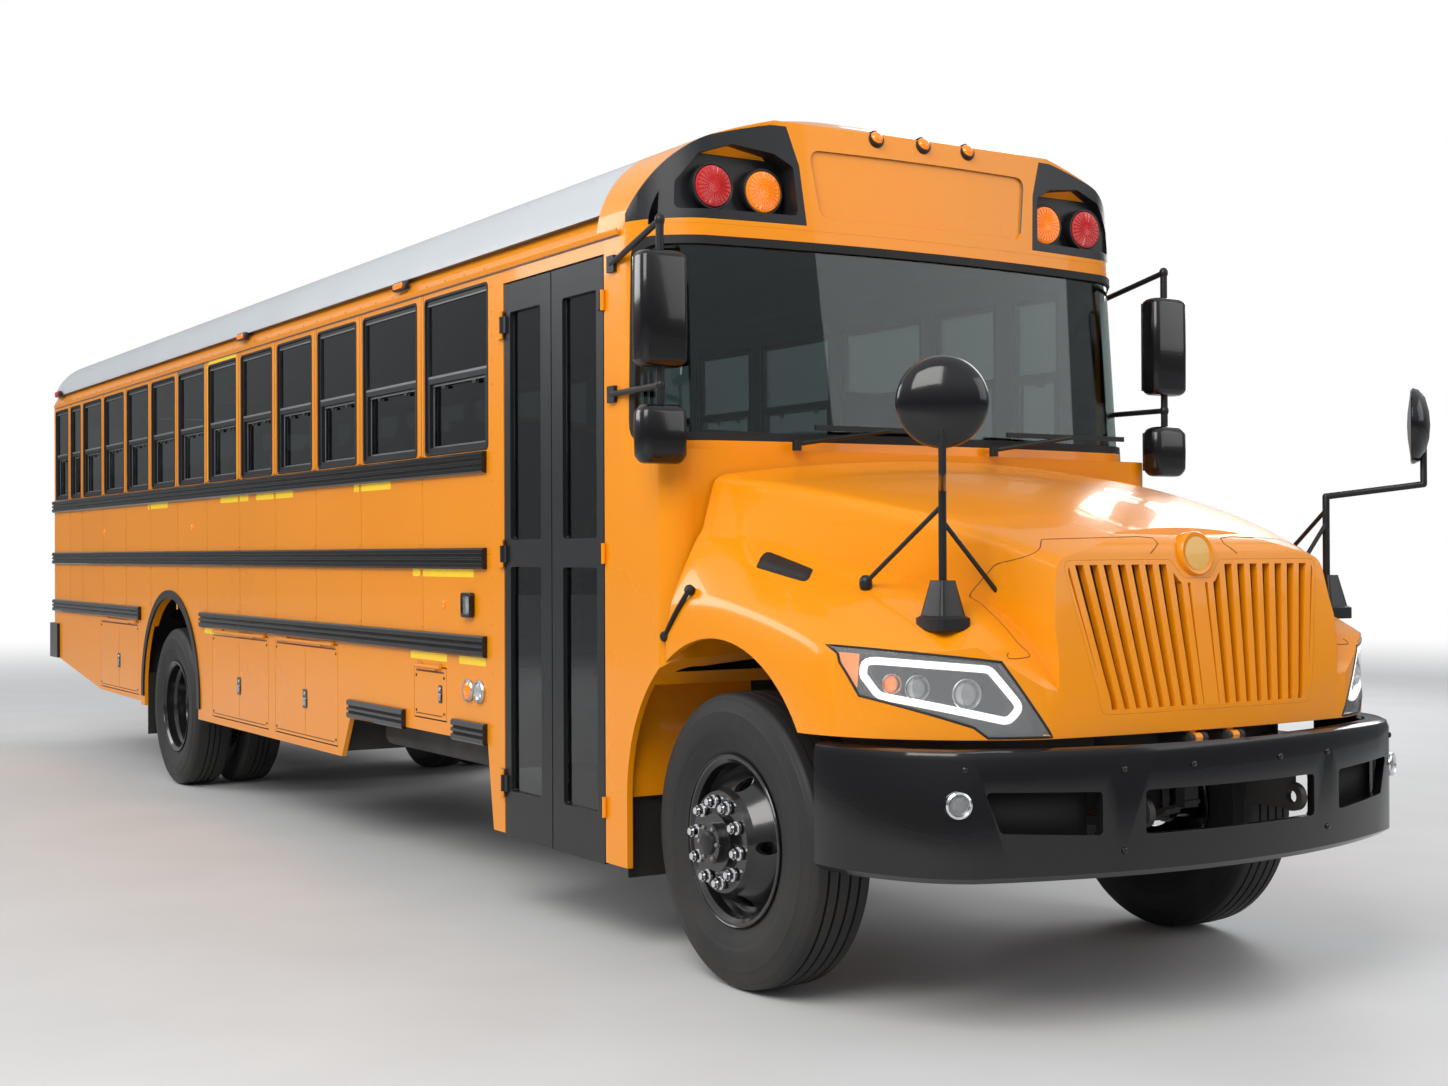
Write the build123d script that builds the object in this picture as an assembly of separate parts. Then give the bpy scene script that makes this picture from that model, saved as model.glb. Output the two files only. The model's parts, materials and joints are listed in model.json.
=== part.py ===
"""School bus with an engine in front: one STEP file per piece, in millimetres.

The bus faces -Y and stands on Z = 0 with its middle over the origin. +X is its left (driver's) side and
-X its right (door) side. Lengths along the bus are given as distances behind the front axle.
"""
from build123d import *
from math import asin, atan2, cos, hypot, radians, sin, sqrt
import os

os.makedirs("parts", exist_ok=True)

# Driving dimensions of the whole vehicle
LENGTH = 11910  # front bumper to rear bumper
WIDTH = 2438  # over the side sheets
WHEELBASE = 7010
FRONT_OVERHANG = 1300  # front axle to bumper face
HALF = WIDTH / 2
FRONT_AXLE_Y = -LENGTH / 2 + FRONT_OVERHANG

# Tyres and wheels
TYRE_RADIUS = 525
TYRE_WIDTH = 279
RIM_RADIUS = 286  # tyre bead seat
RIM_LIP = 300
RIM_HALF = 118  # half of the rim over its lips
WHEEL_OFFSET = 168  # rim centre plane to the mounting face
FRONT_TYRE_X = 1020  # centre plane of the steered tyres
REAR_TYRE_X = 1048  # centre plane of the outer twin
KINGPIN_X = 880
STEER_ARM = 190  # kingpin to tie rod ball
STUD_CIRCLE = 142
FIT = 0.06  # running clearance of spindles and pins
SEAT_GAP = 0.3  # between pieces that rest on each other

# Body shell
WALL = 50
SKIRT_SHEET = 25  # side sheet below the floor
CROWN_Z = 3270
CROWN_RADIUS = 2300
SHOULDER_X = 860  # where the roof crown turns into the shoulder
CANT_Z = 2780  # where the side sheet ends and the shoulder starts
ROOF_JOINT_Z = 2860  # white roof above, yellow below
BODY_REAR = 10514
CAP_REAR = 850  # joint between the front cap and the roof
FLOOR_TOP = 1100
FLOOR_THICKNESS = 50
SKIRT_Z = 492
STEP_SKIRT_Z = 712  # raised skirt behind the entry door
POST_FOOT_Z = 345

# Front wheel opening, shared by the cowl, the hood and the mud flaps
ARCH_RADIUS = 620
ARCH_Z = 620
REAR_ARCH_RADIUS = 655
REAR_ARCH_Z = 600
REAR_ARCH_SHIFT = -60  # the opening sits a little ahead of the rear axle

# Entry door
DOOR_FRONT = 790
DOOR_REAR = 1705
DOOR_TOP = 2700
DOOR_FOOT = 336
DOOR_GAP = 8
LEAF_THICKNESS = 42
LEAF_FRAME = 58

# Side windows: bay lengths from the door post to the rear, each with its opening between two posts
WINDOW_START = 1815
BAY_LENGTHS = [800] * 2 + [672] * 9 + [430, 597]
POST = 100
SILL_Z = 2000
WINDOW_TOP = 2728
LEFT_FRONT_WINDOWS = [(850, 1180), (1290, 1765)]

# Rub rails: middle heights
RAIL_HEIGHT = 95
RAIL_PROUD = 24
RAIL_Z = {"sill": 1943, "seat": 1520, "floor": 1133, "skirt": 750}

# Windshield and cowl
SHIELD_LOW = 1960
SHIELD_TOP = 2735
SHIELD_HALF = 1165
GLASS = 8

# Hood joint line
HOOD_GAP = 14
HOOD_SHELL = 26
HOOD_PIVOT = (-1192, 925)  # behind the axle, height
HOOD_LUG_X = 86
HOOD_EAR = 19  # outer radius of the pivot ears and lugs
HOOD_EAR_SHIFT = 30  # lug middle to each ear beside it
HOOD_PIN = 10
FRAME_FRONT = -1080


def back(distance):
    """Y of a place at this distance behind the front axle."""
    return FRONT_AXLE_Y + distance


REAR_AXLE_Y = back(WHEELBASE)


def block(x0, x1, y0, y1, z0, z1):
    """Rectangular block between two corners."""
    return Pos((x0 + x1) / 2, (y0 + y1) / 2, (z0 + z1) / 2) * Box(abs(x1 - x0), abs(y1 - y0), abs(z1 - z0))


def outline(points, radius=0):
    """Closed flat outline through points, with its corners rounded where a radius is given."""
    face = make_face(Polyline(*points, close=True))
    return fillet(face.vertices(), radius) if radius else face


def across(face, x0, x1):
    """Prism of a (Y, Z) outline between two X places."""
    return extrude(Pos(x0, 0, 0) * (Plane.YZ * face), x1 - x0, dir=(1, 0, 0))


def along(face, y0, y1):
    """Prism of an (X, Z) outline between two Y places."""
    return extrude(Pos(0, y0, 0) * (Plane.XZ * face), y1 - y0, dir=(0, 1, 0))


def upright(face, z0, z1):
    """Prism of an (X, Y) outline between two heights."""
    return extrude(Pos(0, 0, z0) * face, z1 - z0, dir=(0, 0, 1))


def rod(start, end, radius):
    """Round bar between two points."""
    line = Vector(*end) - Vector(*start)
    return extrude(Plane(origin=start, z_dir=line) * Circle(radius), line.length)


def axle_cylinder(x0, x1, y, z, radius):
    """Cylinder along X."""
    return across(Pos(y, z) * Circle(radius), min(x0, x1), max(x0, x1))


def mirrored(shape):
    """The same shape on the other side of the bus."""
    return mirror(shape, Plane.YZ)


def rect(y0, y1, z0, z1, radius=0):
    """Rectangle outline, with rounded corners where a radius is given."""
    return outline([(y0, z0), (y1, z0), (y1, z1), (y0, z1)], radius)


HINGE_BARREL = 9
HINGE_PIN = 4
HINGE_OFFSET = HINGE_BARREL + 2  # pin line to the face of the sheet


def hinge(origin, outward, axis, length, reach=20):
    """Fixed and moving halves of a hinge that stands on a flat sheet, its pin at origin along axis.

    The moving piece lies on the side that axis x outward points to.
    """
    ear = 0.2 * length
    fixed = Cylinder(HINGE_PIN, length)
    for end in (-1, 1):
        z = end * (length - ear) / 2
        fixed += Pos(0, 0, z) * Cylinder(HINGE_BARREL, ear)
        fixed += Pos(-HINGE_OFFSET / 2, -reach / 2, z) * Box(HINGE_OFFSET, reach, ear)
    middle = length - 2 * ear - 2
    moving = Cylinder(HINGE_BARREL, middle) + Pos(-HINGE_OFFSET / 2, reach / 2, 0) * Box(HINGE_OFFSET, reach, middle)
    moving -= Cylinder(HINGE_PIN + FIT, length)
    place = Plane(origin=origin, x_dir=outward, z_dir=axis)
    return place * fixed, place * moving


def write(name, *shapes):
    """Writes one node's solids to its STEP file."""
    solids = [solid for shape in shapes for solid in shape.solids()]
    shape = solids[0] if len(solids) == 1 else Compound(children=[Solid(s.wrapped) for s in solids])
    shape.label = name
    export_step(shape, f"parts/{name}.step")


# Body cross-section


def shoulder_arc(half, top, radius):
    """Start, middle and end of the arc that joins the roof crown to the side sheet."""
    start_z = top - radius + sqrt(radius**2 - SHOULDER_X**2)
    crown_angle = asin(SHOULDER_X / radius)
    chord_angle = atan2(start_z - CANT_Z, half - SHOULDER_X)
    chord = hypot(half - SHOULDER_X, start_z - CANT_Z)
    arc_radius = chord / (2 * sin(chord_angle - crown_angle))
    centre_x = SHOULDER_X - arc_radius * sin(crown_angle)
    centre_z = start_z - arc_radius * cos(crown_angle)
    middle = (centre_x + arc_radius * sin(chord_angle), centre_z + arc_radius * cos(chord_angle))
    return (SHOULDER_X, start_z), middle, (half, CANT_Z)


def body_section(inset=0, low=POST_FOOT_Z):
    """Outline of the body across the bus, drawn in by inset."""
    half, top = HALF - inset, CROWN_Z - inset
    start, middle, end = shoulder_arc(half, top, CROWN_RADIUS - inset)
    flip = [(-x, z) for x, z in (start, middle, end)]
    return make_face([
        Line((-half, low), (half, low)),
        Line((half, low), end),
        ThreePointArc(end, middle, start),
        ThreePointArc(start, (0, top), flip[0]),
        ThreePointArc(flip[0], flip[1], flip[2]),
        Line(flip[2], (-half, low)),
    ])


def shell_ring(y0, y1, low=POST_FOOT_Z):
    """Hollow length of body, open below."""
    return along(body_section(0, low), y0, y1) - along(body_section(WALL, low - 10), y0 - 1, y1 + 1)


def window_openings():
    """Front and rear edge of each side window opening behind the door post."""
    openings, start = [], WINDOW_START
    for length in BAY_LENGTHS:
        openings.append((start + POST / 2, start + length - POST / 2))
        start += length
    openings[-1] = (openings[-1][0], BODY_REAR - 128)
    return openings


# Compartment doors in the right skirt: name, front, rear, low, top
COMPARTMENTS = [
    ("fuel_door", 2325, 2712, 770, 1020),
    ("luggage_door_front", 3745, 4765, 535, 1070),
    ("luggage_door_middle", 4885, 5985, 535, 1070),
    ("luggage_door_rear", 7760, 8870, 555, 1070),
]
DOOR_SHEET = 22
DOOR_CLEAR = 6


def rear_arch_cut(x0, x1):
    """Opening over the rear wheels, straight down below its middle."""
    y = REAR_AXLE_Y + REAR_ARCH_SHIFT
    round_top = across(Pos(y, REAR_ARCH_Z) * Circle(REAR_ARCH_RADIUS), x0, x1)
    return round_top + block(x0, x1, y - REAR_ARCH_RADIUS, y + REAR_ARCH_RADIUS, 200, REAR_ARCH_Z)


def front_arch_cut(x0, x1):
    """Opening over the front wheel, straight down below its middle."""
    round_top = across(Pos(back(0), ARCH_Z) * Circle(ARCH_RADIUS), x0, x1)
    return round_top + block(x0, x1, back(-ARCH_RADIUS), back(ARCH_RADIUS), 200, ARCH_Z)


REAR_CORNER = 74  # length of the rear end piece and radius of its corners


def side_wall(right):
    """One side of the body with its posts, header and skirt."""
    start = DOOR_REAR if right else DOOR_FRONT
    end = BODY_REAR - REAR_CORNER
    skirt = [
        (back(CAP_REAR), ROOF_JOINT_Z), (back(CAP_REAR), CANT_Z), (back(DOOR_FRONT), CANT_Z), (back(DOOR_FRONT), DOOR_TOP),
        (back(start), DOOR_TOP), (back(start), POST_FOOT_Z), (back(start + 112), POST_FOOT_Z),
        (back(start + 172), STEP_SKIRT_Z), (back(3560), STEP_SKIRT_Z), (back(3690), SKIRT_Z),
        (back(7700), SKIRT_Z), (back(7700), 518), (back(8870), 530), (back(end - 190), 700),
        (back(end), 700), (back(end), ROOF_JOINT_Z),
    ]
    if not right:
        skirt[4:8] = [(back(start), 700), (back(1880), 700)]
    ring = shell_ring(back(DOOR_FRONT), back(end)) & across(outline(skirt), -HALF - 1, -HALF + 140)
    ring -= block(-HALF + SKIRT_SHEET, 0, back(start) - 1, back(end) + 1, 100, FLOOR_TOP - FLOOR_THICKNESS)
    ring -= rear_arch_cut(-HALF - 5, -HALF + 90)
    for front, rear in window_openings():
        ring -= across(rect(back(front), back(rear), SILL_Z, WINDOW_TOP, 25), -HALF - 5, -HALF + 90)
    if right:
        for _, front, rear, low, top in COMPARTMENTS:
            ring -= block(-HALF - 5, -HALF + 90, back(front), back(rear), low, top)
            ring += compartment_hinge(front, rear, top)[0]
        for height in LEAF_HINGES:
            ring += leaf_hinge(False, height)[0]
        return ring
    for front, rear in LEFT_FRONT_WINDOWS:
        ring -= across(rect(back(front), back(rear), SILL_Z, WINDOW_TOP, 25), -HALF - 5, -HALF + 90)
    return mirrored(ring)


# Rub rails


def rail(y0, y1, z):
    """Ribbed channel on the right side between two places."""
    half = RAIL_HEIGHT / 2
    face = outline([
        (-HALF, z - half), (-HALF - 16, z - half), (-HALF - RAIL_PROUD, z - half + 8),
        (-HALF - RAIL_PROUD, z - half + 26), (-HALF - 12, z - 14), (-HALF - RAIL_PROUD, z - 6),
        (-HALF - RAIL_PROUD, z + 6), (-HALF - 12, z + 14), (-HALF - RAIL_PROUD, z + half - 26),
        (-HALF - RAIL_PROUD, z + half - 8), (-HALF - 16, z + half), (-HALF, z + half),
    ])
    return along(face, y0, y1)


def rub_rails():
    """All rub rails: four on the door side, four on the other."""
    rear = BODY_REAR - REAR_CORNER
    arch = (WHEELBASE + REAR_ARCH_SHIFT - 745, WHEELBASE + REAR_ARCH_SHIFT + 745)
    right = [
        (1880, rear, "sill"), (1880, rear, "seat"), (1880, arch[0], "floor"), (arch[1], rear, "floor"),
        (1880, 2230, "skirt"), (2815, 3560, "skirt"),
    ]
    left = [
        (DOOR_FRONT + 40, rear, "sill"), (DOOR_FRONT + 40, rear, "seat"), (DOOR_FRONT + 40, arch[0], "floor"),
        (arch[1], rear, "floor"), (DOOR_FRONT + 60, 3560, "skirt"),
    ]
    rails = [rail(back(a), back(b), RAIL_Z[name]) for a, b, name in right]
    return rails + [mirrored(rail(back(a), back(b), RAIL_Z[name])) for a, b, name in left]


# Side windows


def window_frame(front, rear):
    """Black frame with a meeting rail; the lower light is set back and narrower, as its sash slides."""
    y0, y1 = back(front) + 0.3, back(rear) - 0.3
    z0, z1 = SILL_Z + 0.3, WINDOW_TOP - 0.3
    middle = (z0 + z1) / 2 - 15
    x0, x1 = -HALF + 6, -HALF + 46
    body = across(rect(y0, y1, z0, z1, 25), x0, x1)
    upper = across(rect(y0 + 26, y1 - 26, middle + 18, z1 - 26), x0 - 1, x1 + 1)
    lower = across(rect(y0 + 40, y1 - 40, z0 + 32, middle - 18), x0 - 1, x1 + 1)
    return body - upper - lower


def window_pane(front, rear):
    """Upper and lower glass of one window."""
    y0, y1 = back(front) + 0.3, back(rear) - 0.3
    z0, z1 = SILL_Z + 0.3, WINDOW_TOP - 0.3
    middle = (z0 + z1) / 2 - 15
    upper = block(-HALF + 14, -HALF + 19, y0 + 26.3, y1 - 26.3, middle + 18.3, z1 - 26.3)
    lower = block(-HALF + 34, -HALF + 39, y0 + 40.3, y1 - 40.3, z0 + 32.3, middle - 18.3)
    return [upper, lower]


# Front of the body: cowl, windshield and cap


def front_plan(z, inset=0.0, low_front=False):
    """Outline of the body's front in plan at a height; the face bows forward and leans back as it rises."""
    rake = 0 if low_front else 0.08 * (z - 1945)
    centre = (185 if low_front else 250) + rake + inset
    side = (255 if low_front else 330) + rake + inset
    corner_x = 1090 - inset
    turn = (400 if low_front else 475) + rake
    half = HALF - inset
    corner_mid = (half - 40, back(side + 38 if low_front else side + 42))
    rear = back(CAP_REAR + 200)
    return make_face([
        Line((-half, rear), (half, rear)),
        Line((half, rear), (half, back(turn))),
        ThreePointArc((half, back(turn)), corner_mid, (corner_x, back(side))),
        ThreePointArc((corner_x, back(side)), (0, back(centre)), (-corner_x, back(side))),
        ThreePointArc((-corner_x, back(side)), (-corner_mid[0], corner_mid[1]), (-half, back(turn))),
        Line((-half, back(turn)), (-half, rear)),
    ])


def raked_front(z0, z1, inset=0.0):
    """Solid of the leaning body front between two heights."""
    faces = [Pos(0, 0, z) * front_plan(z, inset) for z in (z0, z1)]
    return loft(faces, ruled=True)


COWL_TOP = 1925


def cowl():
    """Body front from the door jambs to the windshield, open for the glass and hollow behind the hood."""
    upper = raked_front(COWL_TOP - 20, CANT_Z)
    lower = upright(front_plan(0, 0, True), POST_FOOT_Z, COWL_TOP)
    body = (upper + lower) & block(-HALF, HALF, back(-200), back(DOOR_FRONT), 0, CANT_Z)
    hollow = raked_front(COWL_TOP - 30, CANT_Z + 100, WALL)
    hollow += upright(front_plan(0, WALL, True), FLOOR_TOP, COWL_TOP - WALL)
    hollow += block(-HALF + WALL, HALF - WALL, back(330), back(900), FLOOR_TOP, COWL_TOP)
    body -= hollow
    body -= along(rect(-SHIELD_HALF, SHIELD_HALF, SHIELD_LOW, SHIELD_TOP, 90), back(100), back(470))
    # Below the floor only the side sheets and the splash panels behind the wheels stay
    body -= block(-HALF + SKIRT_SHEET, HALF - SKIRT_SHEET, back(0), back(900), 0, FLOOR_TOP - FLOOR_THICKNESS)
    body -= front_arch_cut(-HALF - 5, HALF + 5)
    body -= block(0, HALF + 5, back(0), back(900), 0, 700)
    for sign in (-1, 1):
        splash = block(sign * 640, sign * (HALF - SKIRT_SHEET), back(650), back(668), 610, FLOOR_TOP - FLOOR_THICKNESS)
        body += splash
    for height in LEAF_HINGES:
        body += leaf_hinge(True, height)[0]
    return body


def windshield():
    """Curved glass in the front opening."""
    sheet = raked_front(COWL_TOP, CANT_Z, 14) - raked_front(COWL_TOP - 5, CANT_Z + 5, 14 + GLASS)
    edge = 0.3
    gap = rect(-SHIELD_HALF + edge, SHIELD_HALF - edge, SHIELD_LOW + edge, SHIELD_TOP - edge, 90)
    return sheet & along(gap, back(100), back(455))


LAMP_Z = 2930
REAR_LAMP_Z = 2940
RED_X = 943
AMBER_X = 717
LAMP_RADIUS = 84
POCKET_WALL = 20
LENS_FRONT = 433  # behind the axle
POCKET_BACK = 470


def lamp_pocket():
    """Recess for the right pair of lamps, which follows the roof's outline."""
    sides = block(-HALF, -590, back(100), back(POCKET_BACK), 2812, 3130)
    return sides & along(body_section(POCKET_WALL), back(100), back(POCKET_BACK))


def front_cap():
    """Domed front of the roof with a sunk middle panel and a lamp recess on each side."""
    outer = raked_front(CANT_Z, CROWN_Z + 40) & along(body_section(), back(200), back(CAP_REAR))
    nose = outline([
        (back(100), 2000), (back(100), 3120), (back(470), 3210), (back(560), 3262), (back(700), CROWN_Z + 5),
        (back(1200), CROWN_Z + 5), (back(1200), 2000),
    ])
    outer &= across(nose, -HALF - 5, HALF + 5)
    inner = along(body_section(WALL), back(POCKET_BACK + 30), back(CAP_REAR + 10))
    inner &= block(-2000, 2000, back(0), back(2000), CANT_Z - 10, CROWN_Z - 60)
    pocket = lamp_pocket()
    panel = outline([(-470, 2850), (470, 2850), (530, 3120), (-530, 3120)], 30)
    sunk = along(panel, back(100), back(338))
    return outer - inner - pocket - mirrored(pocket) - sunk


def warning_lamps():
    """Round red and amber lamps, four in front and four behind."""
    lens = chamfer(Cylinder(LAMP_RADIUS, POCKET_BACK - LENS_FRONT - SEAT_GAP).faces().sort_by(Axis.Z)[-1].edges(), 14)
    lamps = []
    for x in (-RED_X, -AMBER_X, AMBER_X, RED_X):
        middle = (LENS_FRONT + POCKET_BACK - SEAT_GAP) / 2
        lamps.append(Pos(x, back(middle), LAMP_Z) * (Rot(90, 0, 0) * lens))
        lamps.append(Pos(x, back(BODY_REAR + SEAT_GAP) + (POCKET_BACK - SEAT_GAP - LENS_FRONT) / 2, REAR_LAMP_Z) * (Rot(-90, 0, 0) * lens))
    return lamps


# Roof


HATCHES = {"roof_hatch_front": 3800, "roof_hatch_rear": 7500}
HATCH_HALF = 300
HATCH_CURB = 30
CURB_TOP = 24  # above the crown
REAR_DOME = 420


def hatch_hinge(place):
    """Hinge along the front of a roof hatch."""
    origin = (0, back(place) - HATCH_HALF - HINGE_OFFSET, CROWN_Z + CURB_TOP)
    return hinge(origin, (0, -1, 0), (-1, 0, 0), 300, 20)


def roof():
    """Roof shell behind the front cap, rounded down at the rear and cut for two hatches."""
    shell = shell_ring(back(CAP_REAR), back(BODY_REAR) - 0.3 * 0)
    dome = outline([
        (back(CAP_REAR) - 10, ROOF_JOINT_Z), (back(BODY_REAR), ROOF_JOINT_Z), (back(BODY_REAR), 3080),
        (back(BODY_REAR - 90), 3190), (back(BODY_REAR - REAR_DOME), CROWN_Z + 10), (back(CAP_REAR) - 10, CROWN_Z + 10),
    ])
    end = along(body_section(), back(BODY_REAR - REAR_DOME - 40), back(BODY_REAR))
    shell = (shell + (end - along(body_section(WALL), 0, back(BODY_REAR - WALL)))) & across(dome, -HALF - 5, HALF + 5)
    inner = [(back(BODY_REAR - 600), 2000), (back(BODY_REAR - WALL), 2000), (back(BODY_REAR - WALL), 3050),
             (back(BODY_REAR - 120), 3130), (back(BODY_REAR - REAR_DOME), CROWN_Z - WALL), (back(BODY_REAR - 600), CROWN_Z - WALL)]
    shell = shell + ((end & across(dome, -HALF - 5, HALF + 5)) - (along(body_section(WALL), 0, back(BODY_REAR)) & across(outline(inner), -HALF, HALF)))
    for place in HATCHES.values():
        y = back(place)
        curb = block(-HATCH_HALF, HATCH_HALF, y - HATCH_HALF, y + HATCH_HALF, 3100, CROWN_Z + CURB_TOP)
        hole = block(-HATCH_HALF + HATCH_CURB, HATCH_HALF - HATCH_CURB, y - HATCH_HALF + HATCH_CURB,
                     y + HATCH_HALF - HATCH_CURB, 3000, CROWN_Z + 40)
        shell = shell + (curb - block(-900, 900, y - 400, y + 400, 3000, 3215)) - hole + hatch_hinge(place)[0]
    return shell


def hatch(place):
    """Lid of a roof hatch, closed on its curb and hinged at its front."""
    y, low = back(place), CROWN_Z + CURB_TOP + SEAT_GAP
    lid = block(-HATCH_HALF - 15, HATCH_HALF + 15, y - HATCH_HALF, y + HATCH_HALF + 15, low, low + 34)
    return chamfer(lid.faces().sort_by(Axis.Z)[-1].edges(), 12) + hatch_hinge(place)[1]


# Rear of the body


REAR_DOOR_HALF = 455
REAR_DOOR_LOW = 1115
REAR_DOOR_TOP = 2715
REAR_WINDOW = (560, 1080, 1980, 2620)  # x from, x to, z from, z to, each side of the door
REAR_DOOR_CLEAR = 7


REAR_HINGES = [1320, 1900, 2500]
PLATE_X = 820
PLATE_Z = 1240
PLATE_SPACING = (177.8, 120.65)  # number plate holes
PLATE_HOLE = 3.5


def rear_hinge(height):
    """Hinge of the emergency door, on its right post."""
    origin = (-REAR_DOOR_HALF + REAR_DOOR_CLEAR / 2, back(BODY_REAR) + HINGE_OFFSET, height)
    return hinge(origin, (0, 1, 0), (0, 0, -1), 120, 40)


def rear_wall():
    """Rear end piece with rounded corners, a door opening and two windows."""
    y0, y1 = back(BODY_REAR - REAR_CORNER), back(BODY_REAR)
    plan = make_face([
        Line((-HALF, y0), (HALF, y0)),
        ThreePointArc((HALF, y0), (HALF - REAR_CORNER * (1 - cos(radians(45))), y0 + REAR_CORNER * sin(radians(45))), (HALF - REAR_CORNER, y1)),
        Line((HALF - REAR_CORNER, y1), (-HALF + REAR_CORNER, y1)),
        ThreePointArc((-HALF + REAR_CORNER, y1), (-HALF + REAR_CORNER * (1 - cos(radians(45))), y0 + REAR_CORNER * sin(radians(45))), (-HALF, y0)),
    ])
    wall = upright(plan, 700, ROOF_JOINT_Z) & along(body_section(0, 600), y0, y1)
    wall -= block(-HALF + WALL, HALF - WALL, y0 - 1, y1 - WALL, 600, ROOF_JOINT_Z + 10)
    wall -= block(-REAR_DOOR_HALF, REAR_DOOR_HALF, y0 - 5, y1 + 5, REAR_DOOR_LOW, REAR_DOOR_TOP)
    x0, x1, z0, z1 = REAR_WINDOW
    opening = along(rect(x0, x1, z0, z1, 50), y0 - 5, y1 + 5)
    wall = wall - opening - mirrored(opening)
    for height in REAR_HINGES:
        wall += rear_hinge(height)[0]
    for x in (-1, 1):
        for z in (-1, 1):
            hole = Pos(PLATE_X + x * PLATE_SPACING[0] / 2, y1, PLATE_Z + z * PLATE_SPACING[1] / 2) * (Rot(90, 0, 0) * Cylinder(PLATE_HOLE, 40))
            wall -= hole
    return wall


def rear_glass():
    """Fixed glass each side of the rear door."""
    x0, x1, z0, z1 = REAR_WINDOW
    pane = along(rect(x0 + 0.3, x1 - 0.3, z0 + 0.3, z1 - 0.3, 50), back(BODY_REAR) - 18, back(BODY_REAR) - 12)
    return [pane, mirrored(pane)]


DOOR_LIGHTS = [(1250, 1800), (1960, 2600)]  # glass of the rear door: low, high


def rear_door():
    """Emergency door with two lights, hinged on the bus's right."""
    half, y1 = REAR_DOOR_HALF - REAR_DOOR_CLEAR, back(BODY_REAR)
    leaf = block(-half, half, y1 - 44, y1, REAR_DOOR_LOW + REAR_DOOR_CLEAR, REAR_DOOR_TOP - REAR_DOOR_CLEAR)
    for low, high in DOOR_LIGHTS:
        leaf -= along(rect(-half + 110, half - 110, low, high, 50), y1 - 60, y1 + 10)
    leaf += block(half - 90, half - 50, y1, y1 + 22, 1840, 1930)
    for height in REAR_HINGES:
        leaf += rear_hinge(height)[1]
    return leaf


def rear_door_glass():
    """Both lights of the rear door."""
    half, y1 = REAR_DOOR_HALF - REAR_DOOR_CLEAR, back(BODY_REAR)
    return [along(rect(-half + 110.3, half - 110.3, low + 0.3, high - 0.3, 50), y1 - 25, y1 - 19) for low, high in DOOR_LIGHTS]


# Floor, wheel houses and steps


STEP_WELL = (-HALF + LEAF_THICKNESS + 10, -640)  # x range of the entry steps
STEPS = [(375, 0), (620, 180), (860, 360)]  # tread height and how far its nosing is set in from the door


FLOOR_LOW = FLOOR_TOP - FLOOR_THICKNESS
FLOOR_HALF = HALF - WALL
WELL_SHEET = 20
WHEEL_HOUSE_X = 520  # inner side of the wheel houses
WHEEL_HOUSE_HALF = REAR_ARCH_RADIUS + 45
WHEEL_HOUSE_TOP = 1310
LUGGAGE_BOX_X = -560


def floor():
    """Floor plate, notched for the entry steps and over the rear wheels."""
    plate = block(-FLOOR_HALF, FLOOR_HALF, back(DOOR_FRONT), back(BODY_REAR) - WALL, FLOOR_LOW, FLOOR_TOP)
    plate -= block(-FLOOR_HALF - 1, STEP_WELL[1], back(DOOR_FRONT) - 1, back(DOOR_REAR), FLOOR_LOW - 1, FLOOR_TOP + 1)
    y = REAR_AXLE_Y + REAR_ARCH_SHIFT
    for sign in (-1, 1):
        plate -= block(sign * WHEEL_HOUSE_X, sign * (FLOOR_HALF + 1), y - WHEEL_HOUSE_HALF, y + WHEEL_HOUSE_HALF,
                       FLOOR_LOW - 1, FLOOR_TOP + 1)
    return plate


def wheel_house(sign):
    """Box in the floor over the rear wheels, open below and towards the side sheet."""
    y = REAR_AXLE_Y + REAR_ARCH_SHIFT
    near = sign * WHEEL_HOUSE_X
    house = block(near, sign * FLOOR_HALF, y - WHEEL_HOUSE_HALF, y + WHEEL_HOUSE_HALF, FLOOR_LOW, WHEEL_HOUSE_TOP)
    return house - block(near + sign * WELL_SHEET, sign * (FLOOR_HALF + 1), y - WHEEL_HOUSE_HALF + WELL_SHEET,
                         y + WHEEL_HOUSE_HALF - WELL_SHEET, FLOOR_LOW - 1, WHEEL_HOUSE_TOP - WELL_SHEET)


def luggage_box(front, rear, door_low):
    """Box hung under the floor behind one luggage door."""
    y0, y1 = back(front) - 30, back(rear) + 30
    box = block(-HALF + SKIRT_SHEET, LUGGAGE_BOX_X, y0, y1, door_low - WELL_SHEET, FLOOR_LOW)
    return box - block(-HALF, LUGGAGE_BOX_X - WELL_SHEET, y0 + WELL_SHEET, y1 - WELL_SHEET, door_low - 5, FLOOR_LOW + 1)


def step_well():
    """Entry steps, three treads up to the floor, between two side sheets."""
    x0, x1 = STEP_WELL
    y0, y1 = back(DOOR_FRONT), back(DOOR_REAR)
    points = [(x0, STEPS[0][0] - 25), (x0, STEPS[0][0])]
    for (height, inset), (next_height, _) in zip(STEPS[1:], STEPS[2:] + [(FLOOR_TOP, 0)]):
        points += [(x0 + inset, points[-1][1]), (x0 + inset, height)]
    top = FLOOR_TOP - FLOOR_THICKNESS
    points += [(x1, STEPS[-1][0]), (x1, top), (x1 + 20, top), (x1 + 20, STEPS[-1][0] - 25)]
    inner = [(x + 20, z - 25) for x, z in points[1:-4]]
    face = outline(points + [(x0 + STEPS[2][1] + 20, STEPS[-1][0] - 25), (x0 + STEPS[2][1] + 20, STEPS[1][0] - 25),
                             (x0 + STEPS[1][1] + 20, STEPS[1][0] - 25), (x0 + STEPS[1][1] + 20, STEPS[0][0] - 25)])
    return along(face, y0, y1)


# Entry door


def leaf_split():
    """Middle of the entry opening, where the leaves meet."""
    return (DOOR_FRONT + DOOR_REAR) / 2


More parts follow.
